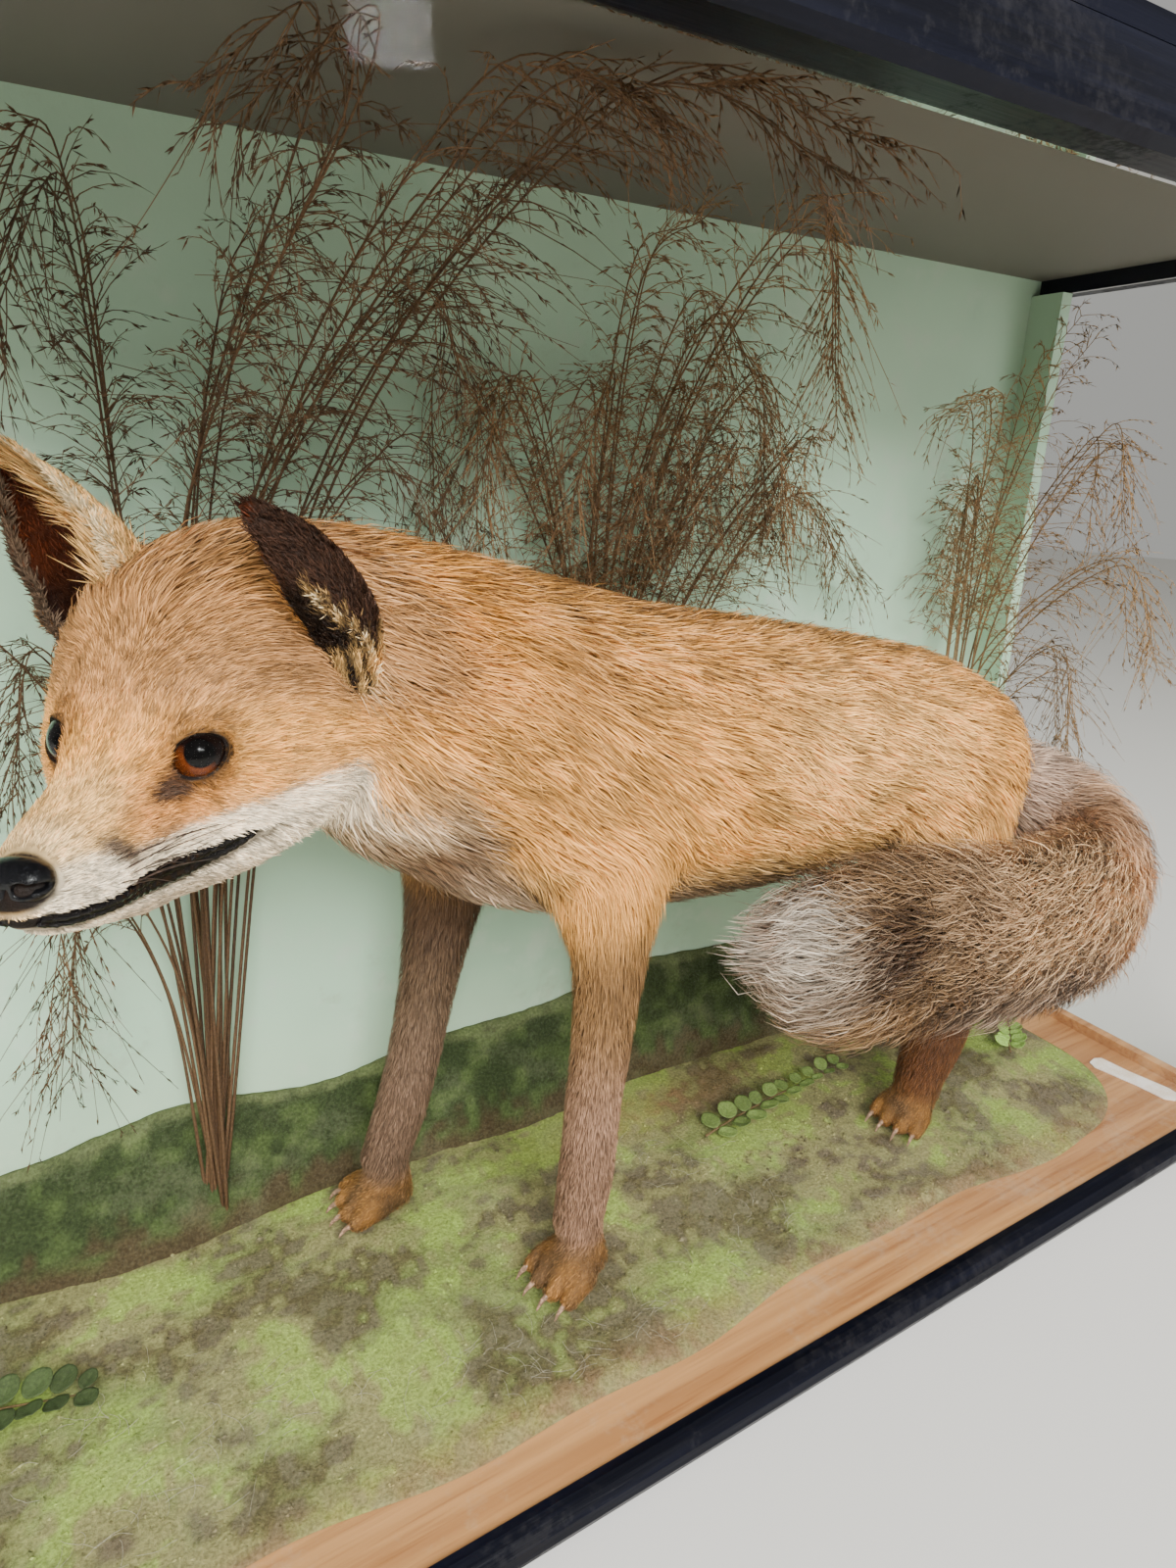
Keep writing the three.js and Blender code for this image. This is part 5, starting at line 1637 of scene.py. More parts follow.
@dataclass(frozen=True)
class CoatPlan:
    """How many hairs each stretch of coat has, and how they stand."""

    head: int = 150_000
    neck: int = 39_000
    trunk: int = 82_000
    tail: int = 54_000
    front_legs: int = 45_000
    hind_legs: int = 45_000
    ears: int = 20_000
    ear_rims: int = 5600
    ear_long: int = 5200

    def grow_all(self, skin: Skin, coat: Coat) -> None:
        """Grows every stretch of the coat."""
        form = skin.form
        bare = (skin.eye_gap > 0.7) & (skin.lip_gap > 1.2)
        nose = nose_gap(skin.local) > 8.6
        floor = skin.points[:, 2] > form.floor + 1.5
        open_skin = (bare & nose & floor).astype(float)
        short = Growth(1, (0.4, 0.9), 0.05, 0.05, 0.08, 0.18, 0.35, contrast=0.6)
        for region, count, growth, sown, grown in (
            (Region.HEAD, self.head, Growth(1, (0.55, 1.15), 0.12, 0.14, 0.13, 0.35, 0.5), 101, 201),
            (Region.NECK, self.neck, Growth(2, (0.45, 1.1), 0.26, 0.24, 0.16, 0.55), 102, 211),
            (Region.TRUNK, self.trunk, Growth(2), 103, 221),
            (Region.TAIL, self.tail, Growth(2, (0.4, 1.1), 0.16, 0.1, 0.14, 0.45, spread=0.3), 104, 231),
            (Region.FRONT_LEGS, self.front_legs, short, 105, 241),
            (Region.HIND_LEGS, self.hind_legs, short, 106, 242),
        ):
            density = open_skin * (skin.region == region.value)
            if region is Region.HEAD:
                density = density * (0.45 + 0.55 * ramp(skin.local[:, 0], -70, -10))
            roots, _ = sow(skin, density, count, sown)
            coat.grow("coat_" + region.name.lower(), roots, growth, grown, form.body)
        self.grow_ears(skin, coat, open_skin * (skin.region == Region.EARS.value))

    def grow_ears(self, skin: Skin, coat: Coat, density: Array) -> None:
        """Grows the short velvet of the ears' backs, their ragged rims and the long hairs inside."""
        inner, turn, along, side = (skin.ear[k] for k in ("inner", "turn", "along", "side"))
        velvet, _ = sow(skin, density * (0.35 + 0.65 * (1 - inner)), self.ears, 107)
        coat.grow("coat_ear_velvet", velvet, Growth(1, (0.5, 1.4), 0.3, 0.3, 0.3, 0.3, 0.6), 251)
        fold = ramp(np.abs(turn - skin.fold_line(along)), 0.06, 0.02) * ramp(along, 0.72, 0.64) * (1 - inner)
        edge = density * np.where(side > 0, fold, ramp(np.abs(turn), 0.84, 0.95))
        rims, at = sow(skin, edge, self.ear_rims, 108)
        out = skin.ear["across"][at] * np.sign(turn[at])[:, None] * -1.0
        rims.way = unit(skin.ear["way"][at] * 1.0 + out * 0.9 + skin.ear["open_way"][at] * 0.25)
        rims.length = np.where(side[at] > 0, 4.0, 5.0)
        pale = (side[at] > 0) | (turn[at] < 0)
        rims.tone = np.where(pale[:, None], Tones.cream * 0.8, Tones.smoke)
        rims.grizzle = rims.grizzle * 0
        coat.grow("coat_ear_rims", rims, Growth(2, (0.3, 1.5), 0.3, 0.5, 0.35, 0.6), 252)
        medial = density * inner * ramp(-turn, 0.35, 0.8) * ramp(along, 0.1, 0.3)
        medial = medial * np.where(side > 0, ramp(along, 0.7, 0.5), 1.0)
        long, at = sow(skin, medial, self.ear_long, 109)
        long.way = skin.ear["way"][at] * 1.3 + skin.ear["across"][at] * 0.45 + skin.ear["open_way"][at] * 0.2
        long.length = (17 + 5 * np.sin(along[at] * 9)) * np.where(side[at] > 0, 0.6, 1.0)
        long.room = long.room * 2.4
        hue = 0.8 + 0.3 * np.sin(long.place.sum(axis=1) * 1.7)[:, None]
        long.tone = np.where(side[at][:, None] > 0, Tones.saddle, Tones.buff) * hue
        long.grizzle = long.grizzle * 0
        coat.grow("coat_ear_long", long, Growth(2, (0.5, 1.8), 0.3, 0.4, 0.2, 0.75), 253)


# ---- Shader groups and finishes ----


class Web:
    """A node tree being wired up."""

    def __init__(self, tree: bpy.types.NodeTree) -> None:
        """Starts with a tree."""
        self.tree = tree

    def add(self, kind: str, inputs: dict | None = None, **settings: object) -> bpy.types.Node:
        """Adds a node.

        Args:
            kind: the node's type, after ShaderNode.
            inputs: what each input holds or is linked to, by name or number.
            settings: the node's own settings.

        Returns:
            The node.
        """
        node = self.tree.nodes.new("ShaderNode" + kind)
        for name, value in settings.items():
            setattr(node, name, value)
        for name, value in (inputs or {}).items():
            self.feed(node.inputs[name], value)
        return node

    def feed(self, socket: Socket, value: object) -> None:
        """Links a socket to another, or sets what it holds."""
        if isinstance(value, Socket):
            self.tree.links.new(value, socket)
        elif isinstance(value, np.ndarray) and socket.type == "RGBA":
            socket.default_value = (*value.tolist(), 1.0)
        else:
            socket.default_value = value

    def math(self, operation: str, a: object, b: object = 0.0, clamp: bool = False) -> Socket:
        """The result of a sum."""
        return self.add("Math", {0: a, 1: b}, operation=operation, use_clamp=clamp).outputs[0]

    def times(self, a: object, b: object) -> Socket:
        """Two numbers multiplied."""
        return self.math("MULTIPLY", a, b)

    def scaled(self, vector: object, scale: object) -> Socket:
        """A vector or colour multiplied by a number."""
        return self.add("VectorMath", {0: vector, "Scale": scale}, operation="SCALE").outputs[0]

    def ramp(self, value: object, low: float, high: float, start: float = 0.0, end: float = 1.0) -> Socket:
        """A value carried from one range to another along an S curve."""
        inputs = {"Value": value, "From Min": low, "From Max": high, "To Min": start, "To Max": end}
        return self.add("MapRange", inputs, interpolation_type="SMOOTHSTEP").outputs["Result"]

    def mix(self, share: object, a: object, b: object) -> Socket:
        """Two colours mixed."""
        return self.add("Mix", {0: share, 6: a, 7: b}, data_type="RGBA", blend_type="MIX").outputs[2]

    def noise(self, vector: object, scale: float, detail: float = 3.0, rough: float = 0.55) -> Socket:
        """Noise from 0 to 1."""
        inputs = {"Vector": vector, "Scale": scale, "Detail": detail, "Roughness": rough}
        return self.add("TexNoise", inputs).outputs[0]

    def place(self, turn: Sequence[float] = (0, 0, 0)) -> Socket:
        """A place on the piece, turned."""
        where = self.add("TexCoord").outputs["Object"]
        return self.add("Mapping", {"Vector": where, "Rotation": turn}).outputs[0]

    def value_of(self, name: str) -> Socket:
        """A number stored on the mesh."""
        return self.add("Attribute", attribute_name=name).outputs["Fac"]

    def colour_of(self, name: str) -> Socket:
        """A colour stored on the mesh."""
        return self.add("Attribute", attribute_name=name).outputs["Color"]

    def group(self, group: bpy.types.NodeTree, inputs: dict) -> bpy.types.Node:
        """Adds a shared group."""
        node = self.tree.nodes.new("ShaderNodeGroup")
        node.node_tree = group
        for name, value in inputs.items():
            self.feed(node.inputs[name], value)
        return node


def new_group(name: str, inputs: dict[str, tuple], outputs: dict[str, str]) -> tuple[Web, dict, dict]:
    """A shared node group.

    Args:
        name: the group's name.
        inputs: each input's kind and first value.
        outputs: each output's kind.

    Returns:
        The group's web, its inputs as sockets and its outputs as sockets.
    """
    tree = bpy.data.node_groups.new(name, "ShaderNodeTree")
    for label, (kind, value) in inputs.items():
        socket = tree.interface.new_socket(name=label, in_out="INPUT", socket_type="NodeSocket" + kind)
        if value is not None:
            socket.default_value = (*value, 1.0) if kind == "Color" else value
    for label, kind in outputs.items():
        tree.interface.new_socket(name=label, in_out="OUTPUT", socket_type="NodeSocket" + kind)
    source, sink = tree.nodes.new("NodeGroupInput"), tree.nodes.new("NodeGroupOutput")
    return Web(tree), {n: source.outputs[n] for n in inputs}, {n: sink.inputs[n] for n in outputs}


class Effects:
    """The groups that more than one finish uses."""

    def __init__(self) -> None:
        """Builds the groups."""
        self.coat = self.coat_colour()
        self.grain = self.wood_grain()
        self.dust = self.dust_mask()
        self.patchy = self.patchy_colour()

    @staticmethod
    def coat_colour() -> bpy.types.NodeTree:
        """Colours a hair from its root to its tip, with pale and dark tips among the rest."""
        kinds = {"Tone": ("Color", (0.5, 0.3, 0.2)), "Along": ("Float", 0.5), "Strand": ("Float", 0.5)}
        kinds["Grizzle"] = ("Float", 0.0)
        web, given, out = new_group("coat_colour", kinds, {"Color": "Color"})
        # Darker towards the root: partly the greyer underfur, partly painted shade deep in the coat.
        shade = web.ramp(given["Along"], 0.0, 0.8, 0.34, 1.18)
        streak = web.ramp(given["Strand"], 0.0, 1.0, 0.42, 1.55)
        lit = web.scaled(given["Tone"], web.times(shade, streak))
        tip = web.ramp(given["Along"], 0.5, 0.95)
        pale = web.times(web.ramp(given["Strand"], 0.62, 0.8), web.times(tip, 0.7))
        bright = web.scaled(given["Tone"], 1.9)
        bright = web.mix(web.times(given["Grizzle"], 0.5), bright, np.array([0.86, 0.7, 0.5]))
        light = web.mix(pale, lit, bright)
        black = web.times(web.ramp(given["Strand"], 0.5, 0.3), web.times(tip, given["Grizzle"]))
        web.feed(out["Color"], web.mix(black, light, np.array([0.055, 0.032, 0.022])))
        return web.tree

    @staticmethod
    def wood_grain() -> bpy.types.NodeTree:
        """Long grain along X: a mask of its lines and its height."""
        kinds = {"Vector": ("Vector", (0, 0, 0)), "Scale": ("Float", 1.0), "Stretch": ("Float", 0.06)}
        web, given, out = new_group("wood_grain", kinds, {"Mask": "Float", "Height": "Float"})
        scaled = web.scaled(given["Vector"], given["Scale"])
        split = web.add("SeparateXYZ", {0: scaled})
        long = web.times(split.outputs[0], given["Stretch"])
        vector = web.add("CombineXYZ", {0: long, 1: split.outputs[1], 2: split.outputs[2]}).outputs[0]
        waves = web.noise(vector, 60.0, 4.0, 0.6)
        pores = web.noise(vector, 420.0, 2.0, 0.5)
        lines = web.ramp(waves, 0.35, 0.65, 0.0, 0.7)
        web.feed(out["Mask"], web.math("ADD", lines, web.ramp(pores, 0.5, 0.7, 0.0, 0.3)))
        web.feed(out["Height"], web.math("ADD", web.times(waves, 0.6), web.times(pores, 0.4)))
        return web.tree

    @staticmethod
    def dust_mask() -> bpy.types.NodeTree:
        """Where dust or wear lies: patches broken up by specks."""
        kinds = {"Vector": ("Vector", (0, 0, 0)), "Scale": ("Float", 8.0), "Amount": ("Float", 0.5)}
        web, given, out = new_group("dust_mask", kinds, {"Mask": "Float"})
        scaled = web.scaled(given["Vector"], given["Scale"])
        patches, specks = web.noise(scaled, 1.0, 4.0, 0.6), web.noise(scaled, 14.0, 3.0, 0.7)
        level = web.math("SUBTRACT", 0.86, web.times(given["Amount"], 0.5))
        both = web.math("ADD", web.times(patches, 0.62), web.times(specks, 0.38))
        raised = web.math("MULTIPLY", web.math("SUBTRACT", both, web.times(level, 0.78)), 7.0, clamp=True)
        web.feed(out["Mask"], raised)
        return web.tree

    @staticmethod
    def patchy_colour() -> bpy.types.NodeTree:
        """Three colours laid over each other in soft patches."""
        kinds = {"Vector": ("Vector", (0, 0, 0)), "Scale": ("Float", 12.0)}
        kinds |= {n: ("Color", (0.5, 0.5, 0.5)) for n in ("First", "Second", "Third")}
        web, given, out = new_group("patchy_colour", kinds, {"Color": "Color", "Height": "Float"})
        scaled = web.scaled(given["Vector"], given["Scale"])
        large, small = web.noise(scaled, 1.0, 4.0, 0.6), web.noise(scaled, 7.3, 4.0, 0.65)
        first = web.mix(web.ramp(large, 0.42, 0.62), given["First"], given["Second"])
        web.feed(out["Color"], web.mix(web.ramp(small, 0.52, 0.72), first, given["Third"]))
        web.feed(out["Height"], small)
        return web.tree


class Finish:
    """A material being built on its own Principled shader."""

    def __init__(self, name: str, **constants: object) -> None:
        """Makes the material and sets its shader's plain values."""
        self.material = bpy.data.materials.new(name)
        self.material.use_nodes = True
        tree = self.material.node_tree
        tree.nodes.clear()
        self.web = Web(tree)
        self.shader = self.web.add("BsdfPrincipled")
        self.output = self.web.add("OutputMaterial")
        tree.links.new(self.shader.outputs[0], self.output.inputs["Surface"])
        for key, value in constants.items():
            self.set(key.replace("_", " "), value)

    def set(self, name: str, value: object) -> None:
        """Sets or links one of the shader's inputs."""
        self.web.feed(self.shader.inputs[name], value)

    def bump(self, height: object, depth: float) -> None:
        """Raises the surface's shading by a height, with depth in millimetres."""
        node = self.web.add("Bump", {"Height": height, "Distance": depth * MM, "Strength": 1.0})
        self.set("Normal", node.outputs[0])

    def dusted(self, base: object, dust: bpy.types.Node, share: float, tone: Array) -> None:
        """Colours the surface, with a share of dust or stain over it."""
        self.set("Base Color", self.web.mix(self.web.times(dust.outputs["Mask"], share), base, tone))


@dataclass(frozen=True)
class HairFinish:
    """Hair or skin, coloured by the coat's markings."""

    name: str
    roughness: float = 0.6
    bump: float = 0.0

    def build(self, effects: Effects) -> Material:
        """The material."""
        made = Finish(self.name, Roughness=self.roughness, Specular_IOR_Level=0.2)
        web = made.web
        stored = {"Tone": web.colour_of("tone"), "Along": web.value_of("along")}
        stored |= {"Strand": web.value_of("strand"), "Grizzle": web.value_of("grizzle")}
        made.set("Base Color", web.group(effects.coat, stored).outputs["Color"])
        if self.bump:
            made.bump(web.noise(web.place(), 900.0, 3.0), self.bump)
        return made.material


@dataclass(frozen=True)
class WetFinish:
    """Lacquered black, as on the nose and lips."""

    name: str
    tone: tuple = (10, 10, 12)
    roughness: float = 0.16
    pebble: float = 900.0
    depth: float = 0.25

    def build(self) -> Material:
        """The material."""
        coat = {"Coat_Weight": 0.5, "Coat_Roughness": 0.08, "Coat_IOR": 1.35}
        made = Finish(self.name, Specular_IOR_Level=0.1, **coat)
        web = made.web
        small = web.noise(web.place(), self.pebble, 3.0, 0.6)
        dark = srgb(*self.tone)
        made.set("Base Color", web.mix(web.ramp(small, 0.45, 0.7), dark, dark * 2.6))
        made.set("Roughness", web.ramp(small, 0.3, 0.7, self.roughness, self.roughness + 0.1))
        made.bump(small, self.depth)
        return made.material


@dataclass(frozen=True)
class PaintFinish:
    """Black paint over wood grain, worn and dusty."""

    name: str = "black_paint"
    along: tuple = (0.0, 0.0, 0.0)

    def build(self, effects: Effects) -> Material:
        """The material."""
        made = Finish(self.name, Specular_IOR_Level=0.12)
        web = made.web
        where = web.place(turn=self.along)
        grain = web.group(effects.grain, {"Vector": where, "Scale": 1.0, "Stretch": 0.05})
        dust = web.group(effects.dust, {"Vector": where, "Scale": 16.0, "Amount": 0.45})
        base = web.mix(grain.outputs["Mask"], srgb(7, 8, 15), srgb(15, 17, 29))
        made.dusted(base, dust, 0.04, srgb(104, 98, 92))
        made.set("Roughness", web.ramp(dust.outputs["Mask"], 0.0, 1.0, 0.32, 0.6))
        made.bump(grain.outputs["Height"], 0.5)
        return made.material


@dataclass(frozen=True)
class OakFinish:
    """Varnished oak."""

    name: str = "oak"

    def build(self, effects: Effects) -> Material:
        """The material."""
        made = Finish(self.name, Coat_Weight=0.2, Coat_Roughness=0.3)
        web = made.web
        where = web.place()
        grain = web.group(effects.grain, {"Vector": where, "Scale": 0.9, "Stretch": 0.04})
        wood = web.mix(grain.outputs["Mask"], srgb(206, 152, 98), srgb(150, 96, 54))
        dust = web.group(effects.dust, {"Vector": where, "Scale": 12.0, "Amount": 0.4})
        made.dusted(wood, dust, 0.35, srgb(196, 178, 150))
        made.set("Roughness", web.ramp(grain.outputs["Mask"], 0.0, 1.0, 0.42, 0.58))
        made.bump(grain.outputs["Height"], 0.25)
        return made.material


@dataclass(frozen=True)
class MintFinish:
    """Flat mint paint with faint stains, and painted shade darkening it towards the top."""

    name: str = "mint_paint"

    def build(self, effects: Effects) -> Material:
        """The material."""
        made = Finish(self.name, Roughness=0.72, Specular_IOR_Level=0.25)
        web = made.web
        where = web.place()
        given = {"Vector": where, "Scale": 4.5, "First": srgb(198, 232, 202), "Second": srgb(188, 222, 194)}
        given["Third"] = srgb(206, 230, 206)
        soft = web.group(effects.patchy, given)
        stain = web.group(effects.dust, {"Vector": where, "Scale": 9.0, "Amount": 0.25})
        tone = web.mix(web.times(stain.outputs["Mask"], 0.35), soft.outputs["Color"], srgb(158, 160, 128))
        height = web.add("SeparateXYZ", {0: where}).outputs[2]
        tone = web.mix(web.ramp(height, 0.16, 0.05, 0.0, 0.25), tone, srgb(196, 196, 160))
        # Painted shade: the paint darkens towards the top, under the lid.
        made.set("Base Color", web.mix(web.ramp(height, 0.4, 0.6, 0.0, 0.5), tone, srgb(126, 136, 112)))
        made.bump(web.noise(where, 260.0, 3.0), 0.15)
        return made.material


@dataclass(frozen=True)
class GlassFinish:
    """Clear glass that lets light straight through to what is behind it."""

    name: str = "glass"

    def build(self) -> Material:
        """The material."""
        made = Finish(self.name, Roughness=0.0, IOR=1.04, Transmission_Weight=1.0)
        made.set("Base Color", np.array([0.985, 0.992, 0.985]))
        web = made.web
        clear = web.add("BsdfTransparent", {"Color": np.array([0.975, 0.985, 0.975])})
        path = web.add("LightPath")
        seen = web.math("ADD", path.outputs["Is Shadow Ray"], path.outputs["Is Diffuse Ray"], clamp=True)
        both = web.add("MixShader", {0: seen, 1: made.shader.outputs[0], 2: clear.outputs[0]})
        web.tree.links.new(both.outputs[0], made.output.inputs["Surface"])
        return made.material


@dataclass(frozen=True)
class ScatterFinish:
    """Dyed sawdust scatter, coloured by what is stored on its mesh."""

    name: str
    depth: float = 1.1

    def build(self, effects: Effects) -> Material:
        """The material."""
        made = Finish(self.name, Roughness=0.92, Specular_IOR_Level=0.15)
        web = made.web
        where = web.place()
        crumb = web.noise(where, 520.0, 5.0, 0.7)
        shade = web.ramp(crumb, 0.3, 0.7, 0.62, 1.3)
        tone = web.scaled(web.colour_of("tone"), shade)
        dust = web.group(effects.dust, {"Vector": where, "Scale": 34.0, "Amount": 0.45})
        made.dusted(tone, dust, 0.12, srgb(176, 178, 140))
        made.bump(crumb, self.depth)
        return made.material


@dataclass(frozen=True)
class PlantFinish:
    """Dried stems and seeds, or leaves, coloured by what is stored on their mesh."""

    name: str
    roughness: float = 0.7

    def build(self) -> Material:
        """The material."""
        made = Finish(self.name, Roughness=self.roughness, Specular_IOR_Level=0.25)
        web = made.web
        fleck = web.ramp(web.noise(web.place(), 700.0, 3.0), 0.3, 0.7, 0.75, 1.25)
        made.set("Base Color", web.scaled(web.colour_of("tone"), fleck))
        made.bump(fleck, 0.1)
        return made.material


@dataclass(frozen=True)
class PaperFinish:
    """An old card slip with foxed edges."""

    name: str = "paper"

    def build(self, effects: Effects) -> Material:
        """The material."""
        made = Finish(self.name, Roughness=0.8)
        web = made.web
        where = web.place()
        stain = web.group(effects.dust, {"Vector": where, "Scale": 60.0, "Amount": 0.6})
        made.dusted(srgb(250, 240, 230), stain, 0.5, srgb(214, 180, 142))
        made.bump(web.noise(where, 1400.0, 2.0), 0.08)
        return made.material


# ---- Eyes, nose, lips, claws and whiskers ----


@dataclass(frozen=True)
class GlassEye:
    """A blown glass eye: dark pupil, amber iris and a clear domed front."""

    seat: EyeSeat
    name: str
    look: tuple
    iris: float = 8.8
    pupil: float = 4.9
    dome: float = 0.55
    rows: int = 40
    sides: int = 64

    def build(self, frame_of: HeadFrame) -> Piece:
        """The eye, with rings of points round the way it looks."""
        look = unit(np.array(self.look))
        aside = unit(np.cross([0, 0, 1.0], look))
        up = np.cross(look, aside)
        tilt = np.linspace(0, np.pi, self.rows + 1)[1:-1]
        turn = 2 * np.pi * np.arange(self.sides) / self.sides
        dome = self.dome * np.exp(-((tilt / 0.5) ** 2))
        radius = self.seat.radius + dome
        ring = np.cos(turn)[:, None] * aside + np.sin(turn)[:, None] * up
        ahead, out = (np.cos(tilt) * radius)[:, None, None], (np.sin(tilt) * radius)[:, None, None]
        points = (ahead * look + out * ring[None]).reshape(-1, 3)
        points = np.vstack([points, look * (self.seat.radius + self.dome), -look * self.seat.radius])
        index = np.arange(len(tilt) * self.sides).reshape(len(tilt), self.sides)
        after = np.roll(index, -1, axis=1)
        quads = faces_of(index[:-1], index[1:], after[1:], after[:-1])
        caps = np.vstack([fan(index.size, index[0], after[0]), fan(index.size + 1, after[-1], index[-1])])
        points = frame_of.outside(points + np.array(self.seat.at))
        made = make_object(self.name, points, [quads, caps], self.finish())
        off = np.where(tilt < np.pi / 2, np.sin(tilt) * self.seat.radius, 20.0)
        set_value(made.data, "off", np.concatenate([np.repeat(off, self.sides), [0, 20]]))
        # How high round the look each point lies, which the finish uses for painted shade on the iris's top.
        set_value(made.data, "height", np.concatenate([np.tile(np.sin(turn + 0.6), len(tilt)), [0, 0]]))
        return made

    def finish(self) -> Material:
        """Dark glass with an amber ring, painted darker towards its top as shade under the lid."""
        coat = {"Coat_Weight": 0.8, "Coat_Roughness": 0.12, "Coat_IOR": 1.3}
        made = Finish("eye_" + self.name, Roughness=0.04, Specular_IOR_Level=0.05, **coat)
        web = made.web
        off = web.value_of("off")
        threads = web.noise(web.place(), 1500.0, 3.0, 0.7)
        ring = web.mix(web.ramp(off, self.pupil, self.iris), srgb(92, 42, 18), srgb(46, 20, 10))
        ring = web.mix(web.times(web.ramp(threads, 0.4, 0.7), 0.6), ring, srgb(128, 66, 26))
        # Painted shade under the lid and brow: the iris goes dark towards its top.
        low = web.ramp(web.value_of("height"), 0.1, -0.75)
        ring = web.mix(low, srgb(18, 9, 7), ring)
        black = web.ramp(off, self.pupil + 0.5, self.pupil - 0.4)
        rim = web.ramp(off, self.iris - 0.6, self.iris + 0.7)
        dark = web.math("MAXIMUM", black, rim)
        made.set("Base Color", web.mix(dark, ring, srgb(3, 2, 2)))
        return made.material


@dataclass(frozen=True)
class NosePad:
    """The nose leather: a rounded pad with comma nostrils and a groove down its middle."""

    at: tuple = (71.5, 0, -27)
    pitch: float = 0.45

    def measure(self, points: Array) -> Array:
        """The distance from the pad, in the head's frame."""
        p = points - np.array(self.at)
        x, y, z = p[:, 0], np.abs(p[:, 1]), p[:, 2]

        def ball(cx: float, cy: float, cz: float, a: float, b: float, c: float) -> Array:
            """About how far the points are from an oval ball with three radii."""
            share = np.sqrt(((x - cx) / a) ** 2 + ((y - cy) / b) ** 2 + ((z - cz) / c) ** 2)
            return (share - 1) * min(a, b, c)

        pad = blend_min(ball(0, 0, 1.4, 6.8, 9.4, 5.4), ball(0.6, 4.7, -0.8, 6.0, 5.0, 5.0), 2.5)
        pad = blend_min(pad, ball(-1.0, 0, -6.0, 5.6, 4.0, 5.6), 3.0)
        nostril = np.minimum(ball(5.6, 4.4, -1.0, 4.0, 2.6, 2.2), ball(3.8, 7.6, -0.5, 3.6, 3.0, 1.2))
        groove = np.maximum(np.hypot(y / 0.6, (x - 6.4) / 1.8) - 1.0, z + 1.0)
        return blend_max(blend_max(pad, -nostril, 1.2), -groove, 1.2)

    def build(self, frame_of: HeadFrame, material: Material) -> Piece:
        """The pad as a mesh."""
        low, high = np.array(self.at) - [11, 12, 14], np.array(self.at) + [10, 12, 9]
        axes = [np.arange(low[i], high[i], self.pitch) for i in range(3)]
        spots = np.stack(np.meshgrid(*axes, indexing="ij"), axis=-1)
        values = self.measure(spots.reshape(-1, 3)).reshape(spots.shape[:3])
        points, quads = surface_of(values, low, self.pitch)
        slope = FoxForm.slope(self.measure, points, 0.3)
        points = points - slope * np.clip(self.measure(points), -0.4, 0.4)[:, None]
        return make_object("nose", frame_of.outside(points), [quads], material)


class FaceTrim:
    """Lips, whiskers and claws."""

    whisker_rows, whiskers_in_row, whisker_points = 4, 5, 9

    def __init__(self, form: FoxForm) -> None:
        """Takes the form that they sit on."""
        self.form = form

    def seat_side(self, x: Array, z: Array, side: int, out: float = 0.0) -> Array:
        """Points on one side of the muzzle's skin at places along it and heights."""
        y = np.full(len(x), 60.0 * side)
        for _ in range(14):
            spots = np.column_stack([x, y, z])
            y = y - side * 0.8 * (self.form.head.measure(spots, fine=False) - out)
            y = np.where(y * side < 0.2, 0.2 * side, y)
        return np.column_stack([x, y, z])

    def lips(self, material: Material) -> Piece:
        """The black lips: an upper and a lower roll down each side, met under the nose."""
        parts = Parts()
        x, z, thick = spline(np.array(self.form.head.mouth), 14).T
        for side in (1, -1):
            for half in (1, -1):
                rough = 1 + 0.09 * np.sin(x * 1.9 + half) + 0.07 * np.sin(x * 3.7 + 2 * half)
                radii = thick * 0.66 * rough
                radii[:3] *= [0.9, 0.95, 1.0]
                radii[-3:] *= [0.85, 0.6, 0.3]
                rows = self.seat_side(x, z + half * 0.5 * thick, side, 0.1)
                parts.add_tube(self.form.head_frame.outside(rows), radii, 10)
        return parts.make("lips", material)

    def whiskers(self, material: Material) -> Piece:
        """Thin dark whiskers that lie back from the pads."""
        draw = np.random.default_rng(61)
        parts = Parts()
        for side in (1, -1):
            for row in range(self.whisker_rows):
                for k in range(self.whiskers_in_row):
                    x = 55 - 6.0 * k - draw.uniform(0, 2)
                    z = -29 - 3.0 * row + draw.uniform(-0.6, 0.6)
                    root = self.seat_side(np.array([x]), np.array([z]), side)[0]
                    long = draw.uniform(26, 52) * (0.6 + 0.12 * k)
                    share = np.linspace(0, 1, self.whisker_points)[:, None]
                    out = np.array([-1.0, side * draw.uniform(0.25, 0.42), draw.uniform(0.02, 0.2)])
                    bend = np.array([0, side * draw.uniform(-4, 5), draw.uniform(-9, 1)])
                    line = root + share * long * unit(out) + share**2 * bend
                    radii = np.linspace(0.26, 0.08, self.whisker_points)
                    parts.add_tube(self.form.head_frame.outside(line), radii, 4)
        return parts.make("whiskers", material)

    def claws(self, material: Material) -> Piece:
        """Horn claws, four to a paw."""
        parts = Parts()
        for seat in PAWS.values():
            for line in seat.claws():
                line[:, 2] = np.maximum(line[:, 2], seat.floor + line[:, 3] + 0.1)
                parts.add_tube(line[:, :3], line[:, 3], 8, flat=1.25)
        return parts.make("claws", material)


# ---- The ground, the grasses and the leaf sprigs ----


